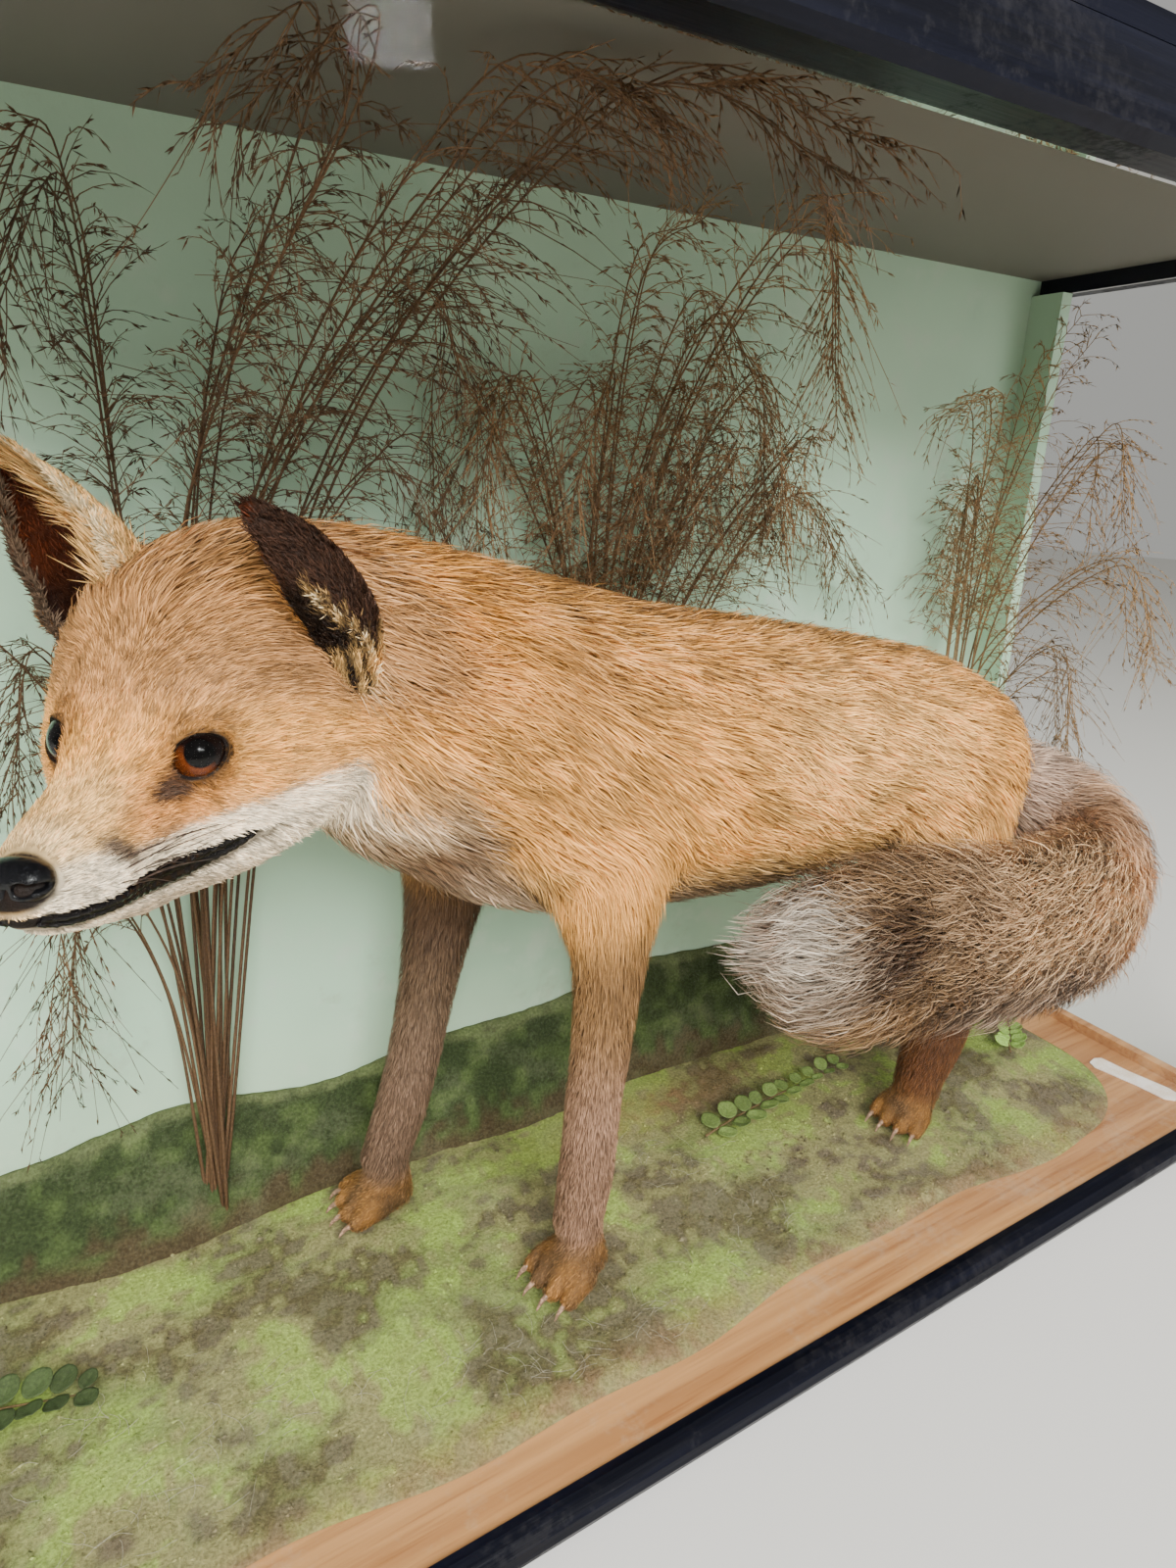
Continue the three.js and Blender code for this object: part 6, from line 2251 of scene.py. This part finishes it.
@dataclass(frozen=True)
class Ground:
    """The scatter that the fox stands on, and the bank behind it."""

    top: float = 14.0
    left: float = -421.0
    right: float = 384.0
    front: float = -104.0
    corner: float = 72.0
    ripple: float = 3.2
    clear: float = 42.0
    back: float = 132.7
    bottom: float = 12.3
    toe: float = 95.0
    heights: tuple = (64, 72, 83, 71, 79, 80, 93, 87, 78, 66, 58)
    pitch: float = 2.2
    overrun: float = 16.0
    bank_long: float = 820.0
    bank_rows: int = 26
    # Grains nearer than the gap to a paw's middle are shifted away from it.
    paw_gap: float = 24.0
    paw_shift: float = 34.0
    grains: int = 6500
    wisps: int = 200
    # Where the wisps of fibre lie.
    nests: tuple = (
        (-300, -60), (-250, -30), (-170, -60), (-120, -70), (40, -55), (-60, -80), (-330, 10), (20, 10),
    )

    def front_at(self, x: Array) -> Array:
        """The front edge of the scatter at places along the case."""
        bend = self.right - self.corner
        wave = 5 * np.sin(x / 61) + 2.5 * np.sin(x / 23)
        across = np.clip((x - bend) / self.corner, 0, 1)
        return self.front + wave + self.corner * (1 - np.sqrt(1 - across * across))

    def level_at(self, x: Array, y: Array) -> Array:
        """The level of the scatter, flat under the paws."""
        away = np.full(np.shape(x), 1e3)
        for seat in PAWS.values():
            away = np.minimum(away, np.hypot(x - seat.middle[0], y - seat.middle[1]))
        share = ramp(away, self.clear, self.clear + 30)
        wave = np.maximum(np.sin(x / 41 + 1) * np.sin(y / 27 + 2), 0)
        return self.top - 0.3 + self.ripple * wave * share

    def crest_at(self, x: Array) -> Array:
        """The height of the bank against the back board."""
        fine = spline(np.array(self.heights, float)[:, None], 8)[:, 0]
        share = (x - self.left) / (self.right + self.overrun - self.left)
        return np.interp(share, np.linspace(0, 1, len(fine)), fine)

    def tone_at(self, points: Array) -> Array:
        """The scatter's colours: bright green dust over olive and brown."""
        x, y, _ = points.T
        broad, middle, small = Noise(62, 51).at(points), Noise(21, 52).at(points), Noise(6, 53).at(points)
        swirl = Noise(34, 54).at(points + 16 * np.column_stack([middle, broad, middle]))
        olive, green, bright = srgb(146, 140, 94), srgb(132, 144, 80), srgb(158, 180, 84)
        brown, mauve = srgb(88, 72, 56), srgb(106, 90, 78)
        tone = olive + (green - olive) * ramp(broad + 0.5 * small, -0.3, 0.5)[:, None]
        tone = tone + (bright - tone) * (0.65 * ramp(swirl + 0.6 * small, 0.1, 0.45))[:, None]
        earth = ramp(-swirl + 0.6 * small + 0.2 * broad, 0.0, 0.42)
        tone = tone + (np.where(small[:, None] > 0.1, mauve, brown) - tone) * (0.8 * earth)[:, None]
        worn = hump((x, 55, 90), (y, 66, 20)) + 0.7 * ramp(y, -78, -100)
        tone = tone + (srgb(150, 118, 82) - tone) * np.clip(worn * (0.6 + 0.5 * small), 0, 0.9)[:, None]
        return tone

    def sheet(self, columns: int, rows: int, place: Callable, level: Callable) -> tuple[Array, Array]:
        """A closed sheet over a grid, with its edges turned down to its bottom."""
        u, v = np.meshgrid(np.linspace(0, 1, columns), np.linspace(0, 1, rows), indexing="ij")
        x, y = place(u.ravel(), v.ravel())
        z = level(x, y, v.ravel())
        top = np.column_stack([x, y, z])
        base = np.column_stack([x, y, np.full(len(x), self.bottom)])
        index = np.arange(len(x)).reshape(columns, rows)
        rim = np.concatenate([index[:, 0], index[-1, 1:], index[::-1, -1][1:], index[0, ::-1][1:]])
        edge = np.arange(len(rim)) + len(top)
        skirt = faces_of(rim[:-1], edge[:-1], edge[1:], rim[1:])
        return np.vstack([top, base[rim]]), np.vstack([grid_faces(index), skirt])

    def scatter(self, material: Material) -> Piece:
        """The level scatter."""
        lump, crumb = Noise(13, 55), Noise(4.2, 56)

        def place(u: Array, v: Array) -> tuple[Array, Array]:
            """Where a share of the length and of the depth lies."""
            x = self.left + (self.right - self.left) * u
            return x, self.front_at(x) + (self.back - self.front_at(x)) * v

        def level(x: Array, y: Array, _: Array) -> Array:
            """The height of the lumpy scatter, which thins out at its edges."""
            flat = np.column_stack([x, y, 0 * x])
            edge = ramp(np.minimum(y - self.front_at(x), self.right - x), 0.0, 9.0)
            rough = 0.55 * lump.at(flat) + 0.5 * crumb.at(flat)
            plain = self.level_at(x, y)
            rise = plain + np.minimum(rough, 0.25 + (plain - self.top + 0.3) * 0.3)
            return self.bottom + 0.5 + (rise - self.bottom - 0.5) * edge

        columns, rows = int((self.right - self.left) / self.pitch), int((self.back - self.front) / self.pitch)
        points, quads = self.sheet(columns, rows, place, level)
        made = make_object("scatter_ground", points, [quads], material)
        set_colour(made.data, "tone", self.tone_at(points))
        return made

    def bank(self, material: Material) -> Piece:
        """The bank along the back board."""
        lump, crumb = Noise(17, 57), Noise(5, 58)
        bottom = self.top + self.ripple

        def place(u: Array, v: Array) -> tuple[Array, Array]:
            """Where a share of the length and of the depth lies."""
            x = self.left + (self.right + self.overrun - self.left) * u
            toe = self.toe + 5 * np.sin(x / 37)
            return x, toe + (self.back - toe) * v

        def level(x: Array, y: Array, v: Array) -> Array:
            """The height of the lumpy bank, which rises to its crest at the back."""
            flat = np.column_stack([x, y, 30 * v])
            rise = (self.crest_at(x) - bottom) * np.sin(v * np.pi / 2) ** 1.2
            edge = ramp(v, 0.0, 0.12)
            rough = (0.9 * lump.at(flat) + 0.6 * crumb.at(flat) - 0.7) * edge
            return bottom - 4 + 5 * edge + rise + np.where(v > 0.97, np.minimum(rough, 0.0), rough)

        points, quads = self.sheet(int(self.bank_long / self.pitch), self.bank_rows, place, level)
        made = make_object("bank_ground", points, [quads], material)
        x, y, z = points.T
        small = Noise(8, 59).at(points)
        share = (z - bottom) / np.maximum(self.crest_at(x) - bottom, 1)
        deep, lit, brown = srgb(58, 68, 42), srgb(80, 94, 54), srgb(84, 68, 50)
        tone = deep + (lit - deep) * ramp(small + 0.3 * Noise(40, 60).at(points), -0.2, 0.7)[:, None]
        tone = tone + (brown - tone) * (0.8 * ramp(share + 0.2 * small, 0.32, 0.08))[:, None]
        rim = ramp(share + 0.05 * small, 0.9, 0.985)
        tone = tone + (srgb(150, 156, 108) - tone) * (0.35 * rim)[:, None]
        set_colour(made.data, "tone", tone)
        return made

    def crumbs(self, material: Material) -> Piece:
        """Grains of sawdust lying over the scatter, larger and darker under the fox's body as a painted shadow."""
        draw = np.random.default_rng(71)
        count = self.grains
        x = draw.uniform(self.left + 6, self.right - 6, count)
        y = self.front_at(x) + 6 + draw.random(count) * (self.toe - 8 - self.front_at(x))
        for seat in PAWS.values():
            near = np.hypot(x - seat.middle[0], y - seat.middle[1]) < self.paw_gap
            y = np.where(near, y + np.sign(y - seat.middle[1] + 0.01) * self.paw_shift, y)
        size = draw.uniform(0.4, 1.1, count) * np.where(draw.random(count) > 0.97, 1.9, 1.0)
        # Painted shadow under the fox's body: the grains there are larger and darker.
        dark = hump((x, 90, 60), (y, -20, 22))
        size = size * (1 + 1.1 * dark * draw.random(count))
        z = self.level_at(x, y) + 0.15 * size
        middle = np.column_stack([x, y, z])
        corners = np.array([[1, 0, 0], [0, 1, 0], [-1, 0, 0], [0, -1, 0], [0, 0, 0.8], [0, 0, -0.8]])
        shape = corners * (1 + 0.35 * draw.normal(size=(count, 6, 1)).clip(-1.5, 1.5)) * size[:, None, None]
        points = (middle[:, None] + shape).reshape(-1, 3)
        above = [(k, (k + 1) % 4, 4) for k in range(4)]
        faces = np.array([*above, *((b, a, 5) for a, b, _ in above)])
        tris = (np.arange(count)[:, None, None] * 6 + faces).reshape(-1, 3)
        made = make_object("scatter_crumbs", points, [tris], material, smooth=False)
        tone = self.tone_at(middle) * draw.uniform(0.6, 1.5, (count, 1))
        tone = tone + (srgb(70, 56, 44) - tone) * np.clip(1.4 * dark - 0.5, 0, 0.9)[:, None]
        set_colour(made.data, "tone", np.repeat(tone.clip(0, 0.9), 6, axis=0))
        return made

    def fibres(self, material: Material) -> Piece:
        """Pale wisps of fibre caught in the scatter."""
        draw = np.random.default_rng(72)
        parts = Parts()
        for i in range(self.wisps):
            cx, cy = self.nests[i % len(self.nests)]
            x0, y0 = cx + draw.normal() * 26, cy + draw.normal() * 13
            turn, bend = draw.normal() * 0.9, draw.normal() * 0.09
            steps = np.arange(9) * draw.uniform(0.8, 2.2)
            angle = turn + np.cumsum(np.full(9, bend) + draw.normal(size=9) * 0.16)
            x, y = x0 + np.cumsum(np.cos(angle)) * steps[1], y0 + np.cumsum(np.sin(angle)) * steps[1]
            y = np.maximum(y, self.front_at(x) + 7)
            z = self.level_at(x, y) + 0.9 + 0.8 * np.sin(np.linspace(0, np.pi, 9)) * draw.random()
            parts.add_tube(np.column_stack([x, y, z]), np.full(9, 0.08), 3)
        made = parts.make("scatter_fibres", material)
        set_colour(made.data, "tone", np.tile(srgb(186, 178, 156), (parts.count, 1)))
        return made


@dataclass(frozen=True)
class GrassBunch:
    """A bunch of dried reed grass: stems from one foot with drooping plumes of fine seed."""

    name: str
    foot: tuple
    plumes: tuple
    tone: tuple
    seed: int
    copies: int = 3
    base: float = 14.0
    lowest: tuple = (-418, -math.inf, -math.inf)
    highest: tuple = (416, 118, 584)

    def stem(self, crest: Array, tip: Array, number: int, draw: np.random.Generator) -> Array:
        """One stem's line, from its foot through the top of its arch to its tip."""
        x, y = self.foot
        spread = 0.25 + 0.1 * (number % 3)
        start = np.array([x + draw.normal() * 4.5, y + draw.normal() * 3.5, self.base - 1.0])
        shoulder = [x + (crest[0] - x) * spread + draw.normal() * 4, y + 2 + draw.normal() * 3,
                    self.base + (crest[2] - self.base) * 0.68]
        return spline(np.array([start, shoulder, crest, tip]), 12)

    def build(self, material: Material) -> Piece:
        """The bunch as one mesh."""
        draw = np.random.default_rng(self.seed)
        parts, tones = Parts(), []
        pale, dark = srgb(*self.tone), srgb(*self.tone) * 0.42

        def note(tone: Array) -> None:
            """Tones the points that have been added since the last note."""
            tones.append(np.tile(tone, (parts.count - sum(len(t) for t in tones), 1)))

        for number, (crest, tip) in enumerate(self.plumes):
            for copy in range(self.copies):
                near = draw.normal(size=3) * [13, 8, 9] * (copy > 0)
                top = np.array(crest, float) + near
                end = np.array(tip, float) + near * 1.2 + draw.normal(size=3) * 6 * (copy > 0)
                top = np.clip(top, self.lowest, self.highest)
                end = np.clip(end, self.lowest, np.array(self.highest) - [0, 0, 2])
                line = self.stem(top, end, number, draw)
                parts.add_tube(line, 0.25 + 0.95 * np.linspace(1, 0, len(line)) ** 1.5, 5)
                note(pale * draw.uniform(0.5, 0.85))
                self.plume(line, parts, draw)
                note((pale * 1.25 if draw.random() > 0.4 else dark * 1.8) * draw.uniform(0.7, 1.25))
        made = parts.make(self.name, material)
        set_colour(made.data, "tone", np.vstack(tones).clip(0, 0.9))
        return made

    def plume(self, line: Array, parts: Parts, draw: np.random.Generator) -> None:
        """The branches and spikelets along the upper part of a stem."""
        steps = np.linalg.norm(np.diff(line, axis=0), axis=1)
        reach = np.concatenate([[0], np.cumsum(steps)])
        total = reach[-1]
        start = max(total * 0.6, total - 250)
        for at in np.arange(start, total, draw.uniform(7.0, 9.5)):
            share = (at - start) / (total - start)
            here = columns_at(at, reach, line)
            way = unit(columns_at(at + 3, reach, line) - here + 1e-6)
            for _ in range(2):
                out = unit(np.cross(way, draw.normal(size=3)))
                long = draw.uniform(24, 72) * (1.05 - 0.5 * share)
                t = np.linspace(0, 1, 5)[:, None]
                bend = np.array([*draw.normal(size=2) * 0.22, draw.uniform(-0.75, -0.25)]) * long
                ahead = unit(way * draw.uniform(0.6, 1.2) + out * 0.75)
                branch = self.kept(here + t * long * ahead + t**2 * bend)
                parts.add_tube(branch, np.linspace(0.32, 0.12, 5), 3)
                self.spikelets(branch, parts, draw)

    @staticmethod
    def kept(points: Array) -> Array:
        """Points held inside the case."""
        return np.clip(points, *INSIDE_OF_CASE)

    def spikelets(self, branch: Array, parts: Parts, draw: np.random.Generator) -> None:
        """Narrow seeds along a branch, lying forward along it."""
        count = draw.integers(6, 11)
        share = draw.uniform(0.25, 1.0, count)
        steps = np.linspace(0, 1, len(branch))
        place = columns_at(share, steps, branch)
        way = columns_at(share, steps, unit(np.gradient(branch, axis=0)))
        way = unit(way + 0.36 * draw.normal(size=(count, 3)) + [0, 0, -0.25])
        long, wide = draw.uniform(3.2, 6.6, count)[:, None], draw.uniform(0.3, 0.55, count)[:, None]
        aside = unit(np.cross(way, draw.normal(size=(count, 3))))
        other = np.cross(way, aside)
        middle = place + way * long * 0.4
        third = middle - aside * wide * 0.8 + other * wide * 0.6
        rows = [place, middle + aside * wide, third, place + way * long]
        points = self.kept(np.stack(rows, axis=1).reshape(-1, 3))
        faces = np.array([[0, 2, 1], [0, 1, 3], [0, 3, 2], [1, 2, 3]])
        parts.add(points, (np.arange(count)[:, None, None] * 4 + faces).reshape(-1, 3))


@dataclass(frozen=True)
class LeafSprig:
    """A sprig of round leaves in pairs, pressed on the scatter."""

    name: str
    start: tuple
    end: tuple
    pairs: int
    size: float
    tone: tuple
    seed: int
    level: float = 19.2

    def build(self, material: Material) -> Piece:
        """The sprig as one mesh."""
        draw = np.random.default_rng(self.seed)
        parts, tones = Parts(), []
        start, end = np.array([*self.start, self.level]), np.array([*self.end, self.level + 3.0])
        way = unit(end - start)
        aside = unit(np.array([-way[1], way[0], 0.0]))
        share = np.linspace(0, 1, 12)[:, None]
        arch = start + share * (end - start) + np.sin(share * np.pi) * [0, 0, 1.5]
        stem = arch + np.sin(share * 5) * aside * 1.5
        parts.add_tube(stem, np.linspace(0.9, 0.4, 12), 6)
        tones.append(np.tile(srgb(104, 84, 54), (parts.count, 1)))
        for i in range(self.pairs * 2):
            at = (i // 2 + 0.7) / self.pairs
            here = start + at * (end - start) + [0, 0, 1.5 * np.sin(at * np.pi)]
            sign = 1 if i % 2 else -1
            out = unit(way * draw.uniform(0.3, 0.7) + aside * sign + [0, 0, draw.uniform(0.1, 0.55)])
            long = self.size * draw.uniform(0.85, 1.2) * (1.1 - 0.4 * at)
            before = parts.count
            self.leaf(parts, here, out, long, draw)
            tone = srgb(*self.tone) * draw.uniform(0.7, 1.25)
            tones.append(np.tile(tone, (parts.count - before, 1)))
        made = parts.make(self.name, material)
        set_colour(made.data, "tone", np.vstack(tones))
        return made

    @staticmethod
    def leaf(parts: Parts, here: Array, out: Array, long: float, draw: np.random.Generator) -> None:
        """One round leaf, cupped a little, with a fold along its middle."""
        up = unit(np.cross(out, unit(np.cross([0, 0, 1.0], out))))
        across = np.cross(up, out)
        rings, sides = 5, 18
        turn = 2 * np.pi * np.arange(sides) / sides
        rows = []
        cup, ripple = draw.uniform(0.5, 1.6), draw.uniform(0, 6)
        for layer in (1, -1):
            for ring in range(1, rings + 1):
                r = ring / rings
                u, v = np.cos(turn) * r, np.sin(turn) * r * 0.9
                fold = 0.5 * np.exp(-((v / 0.12) ** 2))
                lift = cup * r * r - fold + 0.35 * r * r * np.sin(3 * turn + ripple) + 0.16 * layer
                rows.append(here + (0.62 + 0.5 * u)[:, None] * long * out + (0.5 * v * long)[:, None] * across
                            + lift[:, None] * up)
        rows = np.array(rows).reshape(2, rings, sides, 3)
        middle = [here + 0.62 * long * out + layer * 0.16 * up - 0.5 * up for layer in (1, -1)]
        points = np.vstack([rows.reshape(-1, 3), middle])
        index = np.arange(2 * rings * sides).reshape(2, rings, sides)
        after = np.roll(index, -1, axis=2)
        top = faces_of(index[0, :-1], index[0, 1:], after[0, 1:], after[0, :-1])
        low = faces_of(index[1, :-1], after[1, :-1], after[1, 1:], index[1, 1:])
        rim = faces_of(index[0, -1], index[1, -1], after[1, -1], after[0, -1])
        caps = [fan(index.size, index[0, 0], after[0, 0]), fan(index.size + 1, after[1, 0], index[1, 0])]
        parts.add(points, top, low, rim, np.vstack(caps))


GRASSES = (
    GrassBunch(
        "dried_grass_left",
        (-244, 106),
        (
            ((-169, -43, 580), (-201, -30, 568)), ((-115, -33, 582), (-60, -56, 578)),
            ((-91, -49, 575), (-3, -105, 556)), ((-115, 60, 528), (-90, 60, 490)),
            ((-121, 90, 465), (-83, 80, 422)), ((-254, 80, 555), (-290, 60, 500)),
            ((-290, 98, 370), (-312, 98, 300)), ((-285, 95, 250), (-312, 84, 161)),
            ((-187, 90, 525), (-163, 60, 564)),
        ),
        (112, 84, 60),
        81,
    ),
    GrassBunch(
        "dried_grass_middle",
        (22, 112),
        (
            ((-64, 95, 496), (-76, 90, 410)), ((4, 70, 546), (24, 50, 575)),
            ((49, 60, 531), (88, 50, 492)), ((96, 80, 500), (122, 80, 407)),
            ((83, 20, 582), (141, 44, 490)), ((150, 90, 440), (225, 90, 384)),
            ((-45, 85, 500), (-80, 85, 436)), ((8, 88, 496), (-24, 84, 424)),
            ((58, 88, 500), (26, 86, 434)), ((98, 85, 466), (62, 85, 412)),
            ((146, 88, 476), (122, 85, 424)),
        ),
        (134, 102, 70),
        82,
    ),
    GrassBunch(
        "dried_grass_right",
        (372, 104),
        (
            ((345, 98, 450), (322, 95, 373)), ((395, 88, 500), (408, 60, 560)),
            ((412, 40, 480), (414, 19, 420)), ((412, 20, 400), (415, -24, 330)),
            ((408, 50, 330), (405, 22, 250)), ((330, 84, 500), (290, 86, 498)),
        ),
        (158, 124, 86),
        83,
    ),
)

SPRIGS = (
    LeafSprig("leaves_left", (-392, 30), (-322, 14), 6, 15, (66, 78, 46), 91),
    LeafSprig("leaves_middle", (58, 17), (196, 30), 10, 13, (116, 134, 72), 92),
    LeafSprig("leaves_right", (334, -22), (368, 6), 6, 11, (150, 182, 88), 93),
)


# ---- The case and the studio ----


class Case:
    """The boards, rails and glass, which keep their solids' shapes and get their finishes."""

    bevel = 0.7
    lining_box = ((-433.0, 433.0), (-137.0, 136.0), (602.2, 603.6))

    def __init__(self, effects: Effects) -> None:
        """Builds the finishes."""
        self.black = PaintFinish().build(effects)
        self.black_side = PaintFinish("black_paint_ends", (0.0, 0.0, math.pi / 2)).build(effects)
        self.oak = OakFinish().build(effects)
        self.mint = MintFinish().build(effects)
        self.glass = GlassFinish().build()
        self.paper = PaperFinish().build(effects)

    def finish_of(self, name: str) -> Material | None:
        """The finish of one of the case's nodes, or None where the node isn't the case's."""
        rails = self.black_side if name.endswith(("left", "right")) else self.black
        for start, finish in (
            (("pane_",), self.glass),
            (("back_post", "back_board"), self.mint),
            (("glass_bead", "base_board"), self.oak),
            (("label_slip",), self.paper),
            (("foot_rail", "top_rail"), rails),
            (("front_post", "top_board"), self.black),
        ):
            if name.startswith(start):
                return finish
        return None

    def dress(self) -> None:
        """Finishes each node of the case, with its edges eased."""
        for name, node in frame["nodes"].items():
            material = self.finish_of(name)
            if material is None:
                continue
            node.data.materials.clear()
            node.data.materials.append(material)
            if material is not self.glass:
                ease = node.modifiers.new("eased", "BEVEL")
                ease.width, ease.segments, ease.limit_method = self.bevel * MM, 2, "ANGLE"
                ease.harden_normals = True
            log.info("%s: finished", name)

    def lining(self) -> Piece:
        """A pale painted lining under the lid, let into the rails all round."""
        points = np.array(list(product(*self.lining_box)))
        faces = np.array([[0, 1, 3, 2], [4, 6, 7, 5], [0, 4, 5, 1], [2, 3, 7, 6], [0, 2, 6, 4], [1, 5, 7, 3]])
        made = Finish("lining_paint", Roughness=0.8)
        made.set("Base Color", srgb(100, 96, 86))
        return make_object("lid_lining", points, [faces], made.material, smooth=False)


@dataclass(frozen=True)
class Studio:
    """The camera, the lights and a plain pale floor."""

    eye: tuple = (-0.29146, -0.39422, 0.454)
    forward: tuple = (0.4883, 0.8118, -0.3206)
    right: tuple = (0.8607, -0.5081, 0.0241)
    focal_pixels: float = 949.5
    frame_high: float = 1600.0
    sensor: float = 36.0
    # What the lamps face: the middle of the case, and the fox's face.
    middle: tuple = (0.0, 0.0, 0.3)
    face: tuple = (-0.25, -0.066, 0.36)
    room_tone: tuple = (1.0, 0.985, 0.95, 1.0)
    room_light: float = 0.4
    floor_half: float = 6.0
    floor_steps: int = 24

    def build(self) -> None:
        """Sets up the whole studio."""
        self.camera()
        self.floor()
        self.light("key", (-0.55, -1.9, 1.75), self.middle, 1.5, 128)
        self.light("fill", (1.7, -1.3, 0.9), self.middle, 1.4, 20)
        self.light("left", (-2.0, -0.2, 1.1), self.middle, 1.2, 16)
        self.light("glint_left", (-0.086, -1.154, 1.072), self.face, 0.14, 24.0, glossy=True)
        self.light("glint_right", (0.174, -1.153, 0.956), self.face, 0.1, 10.0, glossy=True)
        world = bpy.data.worlds.new("soft_room")
        world.use_nodes = True
        tone, strength = world.node_tree.nodes["Background"].inputs[:2]
        tone.default_value, strength.default_value = self.room_tone, self.room_light
        bpy.context.scene.world = world

    def camera(self) -> None:
        """The camera at its place and angle."""
        data = bpy.data.cameras.new("camera")
        data.sensor_fit, data.sensor_width, data.sensor_height = "AUTO", self.sensor, self.sensor
        data.lens = self.focal_pixels / self.frame_high * self.sensor
        data.clip_start, data.clip_end = 0.01, 50.0
        camera = bpy.data.objects.new("camera", data)
        ahead = Vector(self.forward).normalized()
        right = Vector(self.right)
        right = (right - ahead * right.dot(ahead)).normalized()
        up = right.cross(ahead)
        camera.matrix_world = Matrix((right, up, -ahead)).transposed().to_4x4()
        camera.location = self.eye
        bpy.context.scene.collection.objects.link(camera)
        bpy.context.scene.camera = camera

    def floor(self) -> None:
        """A pale level floor, a hair's breadth under the case."""
        grid = np.linspace(-self.floor_half, self.floor_half, self.floor_steps) / MM
        x, y = np.meshgrid(grid, grid, indexing="ij")
        points = np.column_stack([x.ravel(), y.ravel(), np.full(x.size, -0.2)])
        quads = grid_faces(np.arange(x.size).reshape(x.shape))
        made = Finish("studio_floor", Roughness=0.65)
        made.set("Base Color", srgb(222, 220, 214))
        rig.stage(make_object("studio_floor", points, [quads], made.material))

    @staticmethod
    def light(
        name: str, place: tuple, target: tuple, size: float, power: float, glossy: bool = False
    ) -> None:
        """A soft square light that faces a target: a glossy one is only mirrored, and another never is."""
        data = bpy.data.lights.new(name, "AREA")
        data.size, data.energy = size, power
        lamp = bpy.data.objects.new(name, data)
        lamp.location = place
        lamp.visible_glossy = glossy
        lamp.visible_diffuse = not glossy
        lamp.visible_transmission = glossy
        lamp.rotation_mode = "QUATERNION"
        lamp.rotation_quaternion = (Vector(target) - Vector(place)).to_track_quat("-Z", "Y")
        bpy.context.scene.collection.objects.link(lamp)


# ---- The whole piece ----

FLESH = (
    "trunk", "neck", "head", "lower_jaw", "ear_left", "ear_right", "tail_root", "tail_middle", "tail_tip",
    *("_".join(words) for words in product(("leg", "paw"), ("front", "hind"), ("left", "right"))),
)


def ride(piece: Piece, slot: str, *nodes: str) -> Piece:
    """Ties a piece to the frame.

    Args:
        piece: the new piece.
        slot: the record's material slot that it takes its finish from.
        nodes: the solids that it stands for.

    Returns:
        The piece.
    """
    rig.ride(piece, "root")
    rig.slot(piece, slot)
    if nodes:
        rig.replaces(piece, *nodes)
    log.info("%s: %d points", piece.name, len(piece.data.vertices))
    return piece


def dress_fox(effects: Effects) -> None:
    """Builds the fox: skin, coat, eyes, nose, lips, whiskers and claws."""
    form = FoxForm()
    log.info("form laid out")
    skin = Skin(form, EARS)
    log.info("skin worked out: %d points", len(skin.points))
    ride(skin.make(HairFinish("skin", 0.7, 0.4).build(effects)), "red_coat", *FLESH)
    coat = Coat(form, HairFinish("coat").build(effects))
    CoatPlan().grow_all(skin, coat)
    log.info("coat: %d triangles", coat.triangles)
    looks = ((0.83, 0.52, 0.2), (0.86, -0.46, 0.14))
    for seat, side, look in zip(form.head.eyes, ("left", "right"), looks):
        eye = GlassEye(seat, "glass_eye_" + side, look).build(form.head_frame)
        ride(eye, "eye_glass", "eye_" + side)
    wet = WetFinish("nose_leather").build()
    ride(NosePad().build(form.head_frame, wet), "nose_pad", "nose_pad")
    trim = FaceTrim(form)
    ride(trim.lips(WetFinish("lip_lacquer", (14, 12, 12), 0.14, 420.0, 0.5).build()), "nose_pad")
    dark = WetFinish("whisker", (58, 46, 40), 0.4, 300.0, 0.02).build()
    ride(trim.whiskers(dark), "dark_coat")
    ride(trim.claws(WetFinish("claw_horn", (132, 104, 84), 0.4, 500.0, 0.05).build()), "pale_coat")


def dress_ground(effects: Effects) -> None:
    """Builds the scatter, the bank, the grasses and the leaf sprigs."""
    ground = Ground()
    scatter = ScatterFinish("scatter").build(effects)
    ride(ground.scatter(scatter), "scatter", "groundwork")
    ride(ground.bank(ScatterFinish("bank", 1.4).build(effects)), "bank", "ground_bank")
    ride(ground.crumbs(scatter), "scatter")
    ride(ground.fibres(PlantFinish("fibre").build()), "scatter")
    straw = PlantFinish("straw").build()
    for bunch in GRASSES:
        ride(bunch.build(straw), "straw", bunch.name.replace("dried_", ""))
    leaf = PlantFinish("leaf", 0.6).build()
    for sprig in SPRIGS:
        ride(sprig.build(leaf), "leaf", sprig.name.replace("leaves", "sprig"))


def main() -> None:
    """Builds every piece in turn and notes the sizes."""
    logging.basicConfig(level=logging.INFO, format="%(relativeCreated)7d ms %(message)s")
    effects = Effects()
    Studio().build()
    case = Case(effects)
    case.dress()
    ride(case.lining(), "mint_paint")
    dress_ground(effects)
    dress_fox(effects)
    bpy.context.view_layer.update()
    boxes = {"cad": [list(v) for v in CAD_BOX], "visual": [list(v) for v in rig.bounds()]}
    with open("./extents.json", "w", encoding="utf-8") as out:
        json.dump(boxes, out, indent=1)


if __name__ == "__main__":
    main()
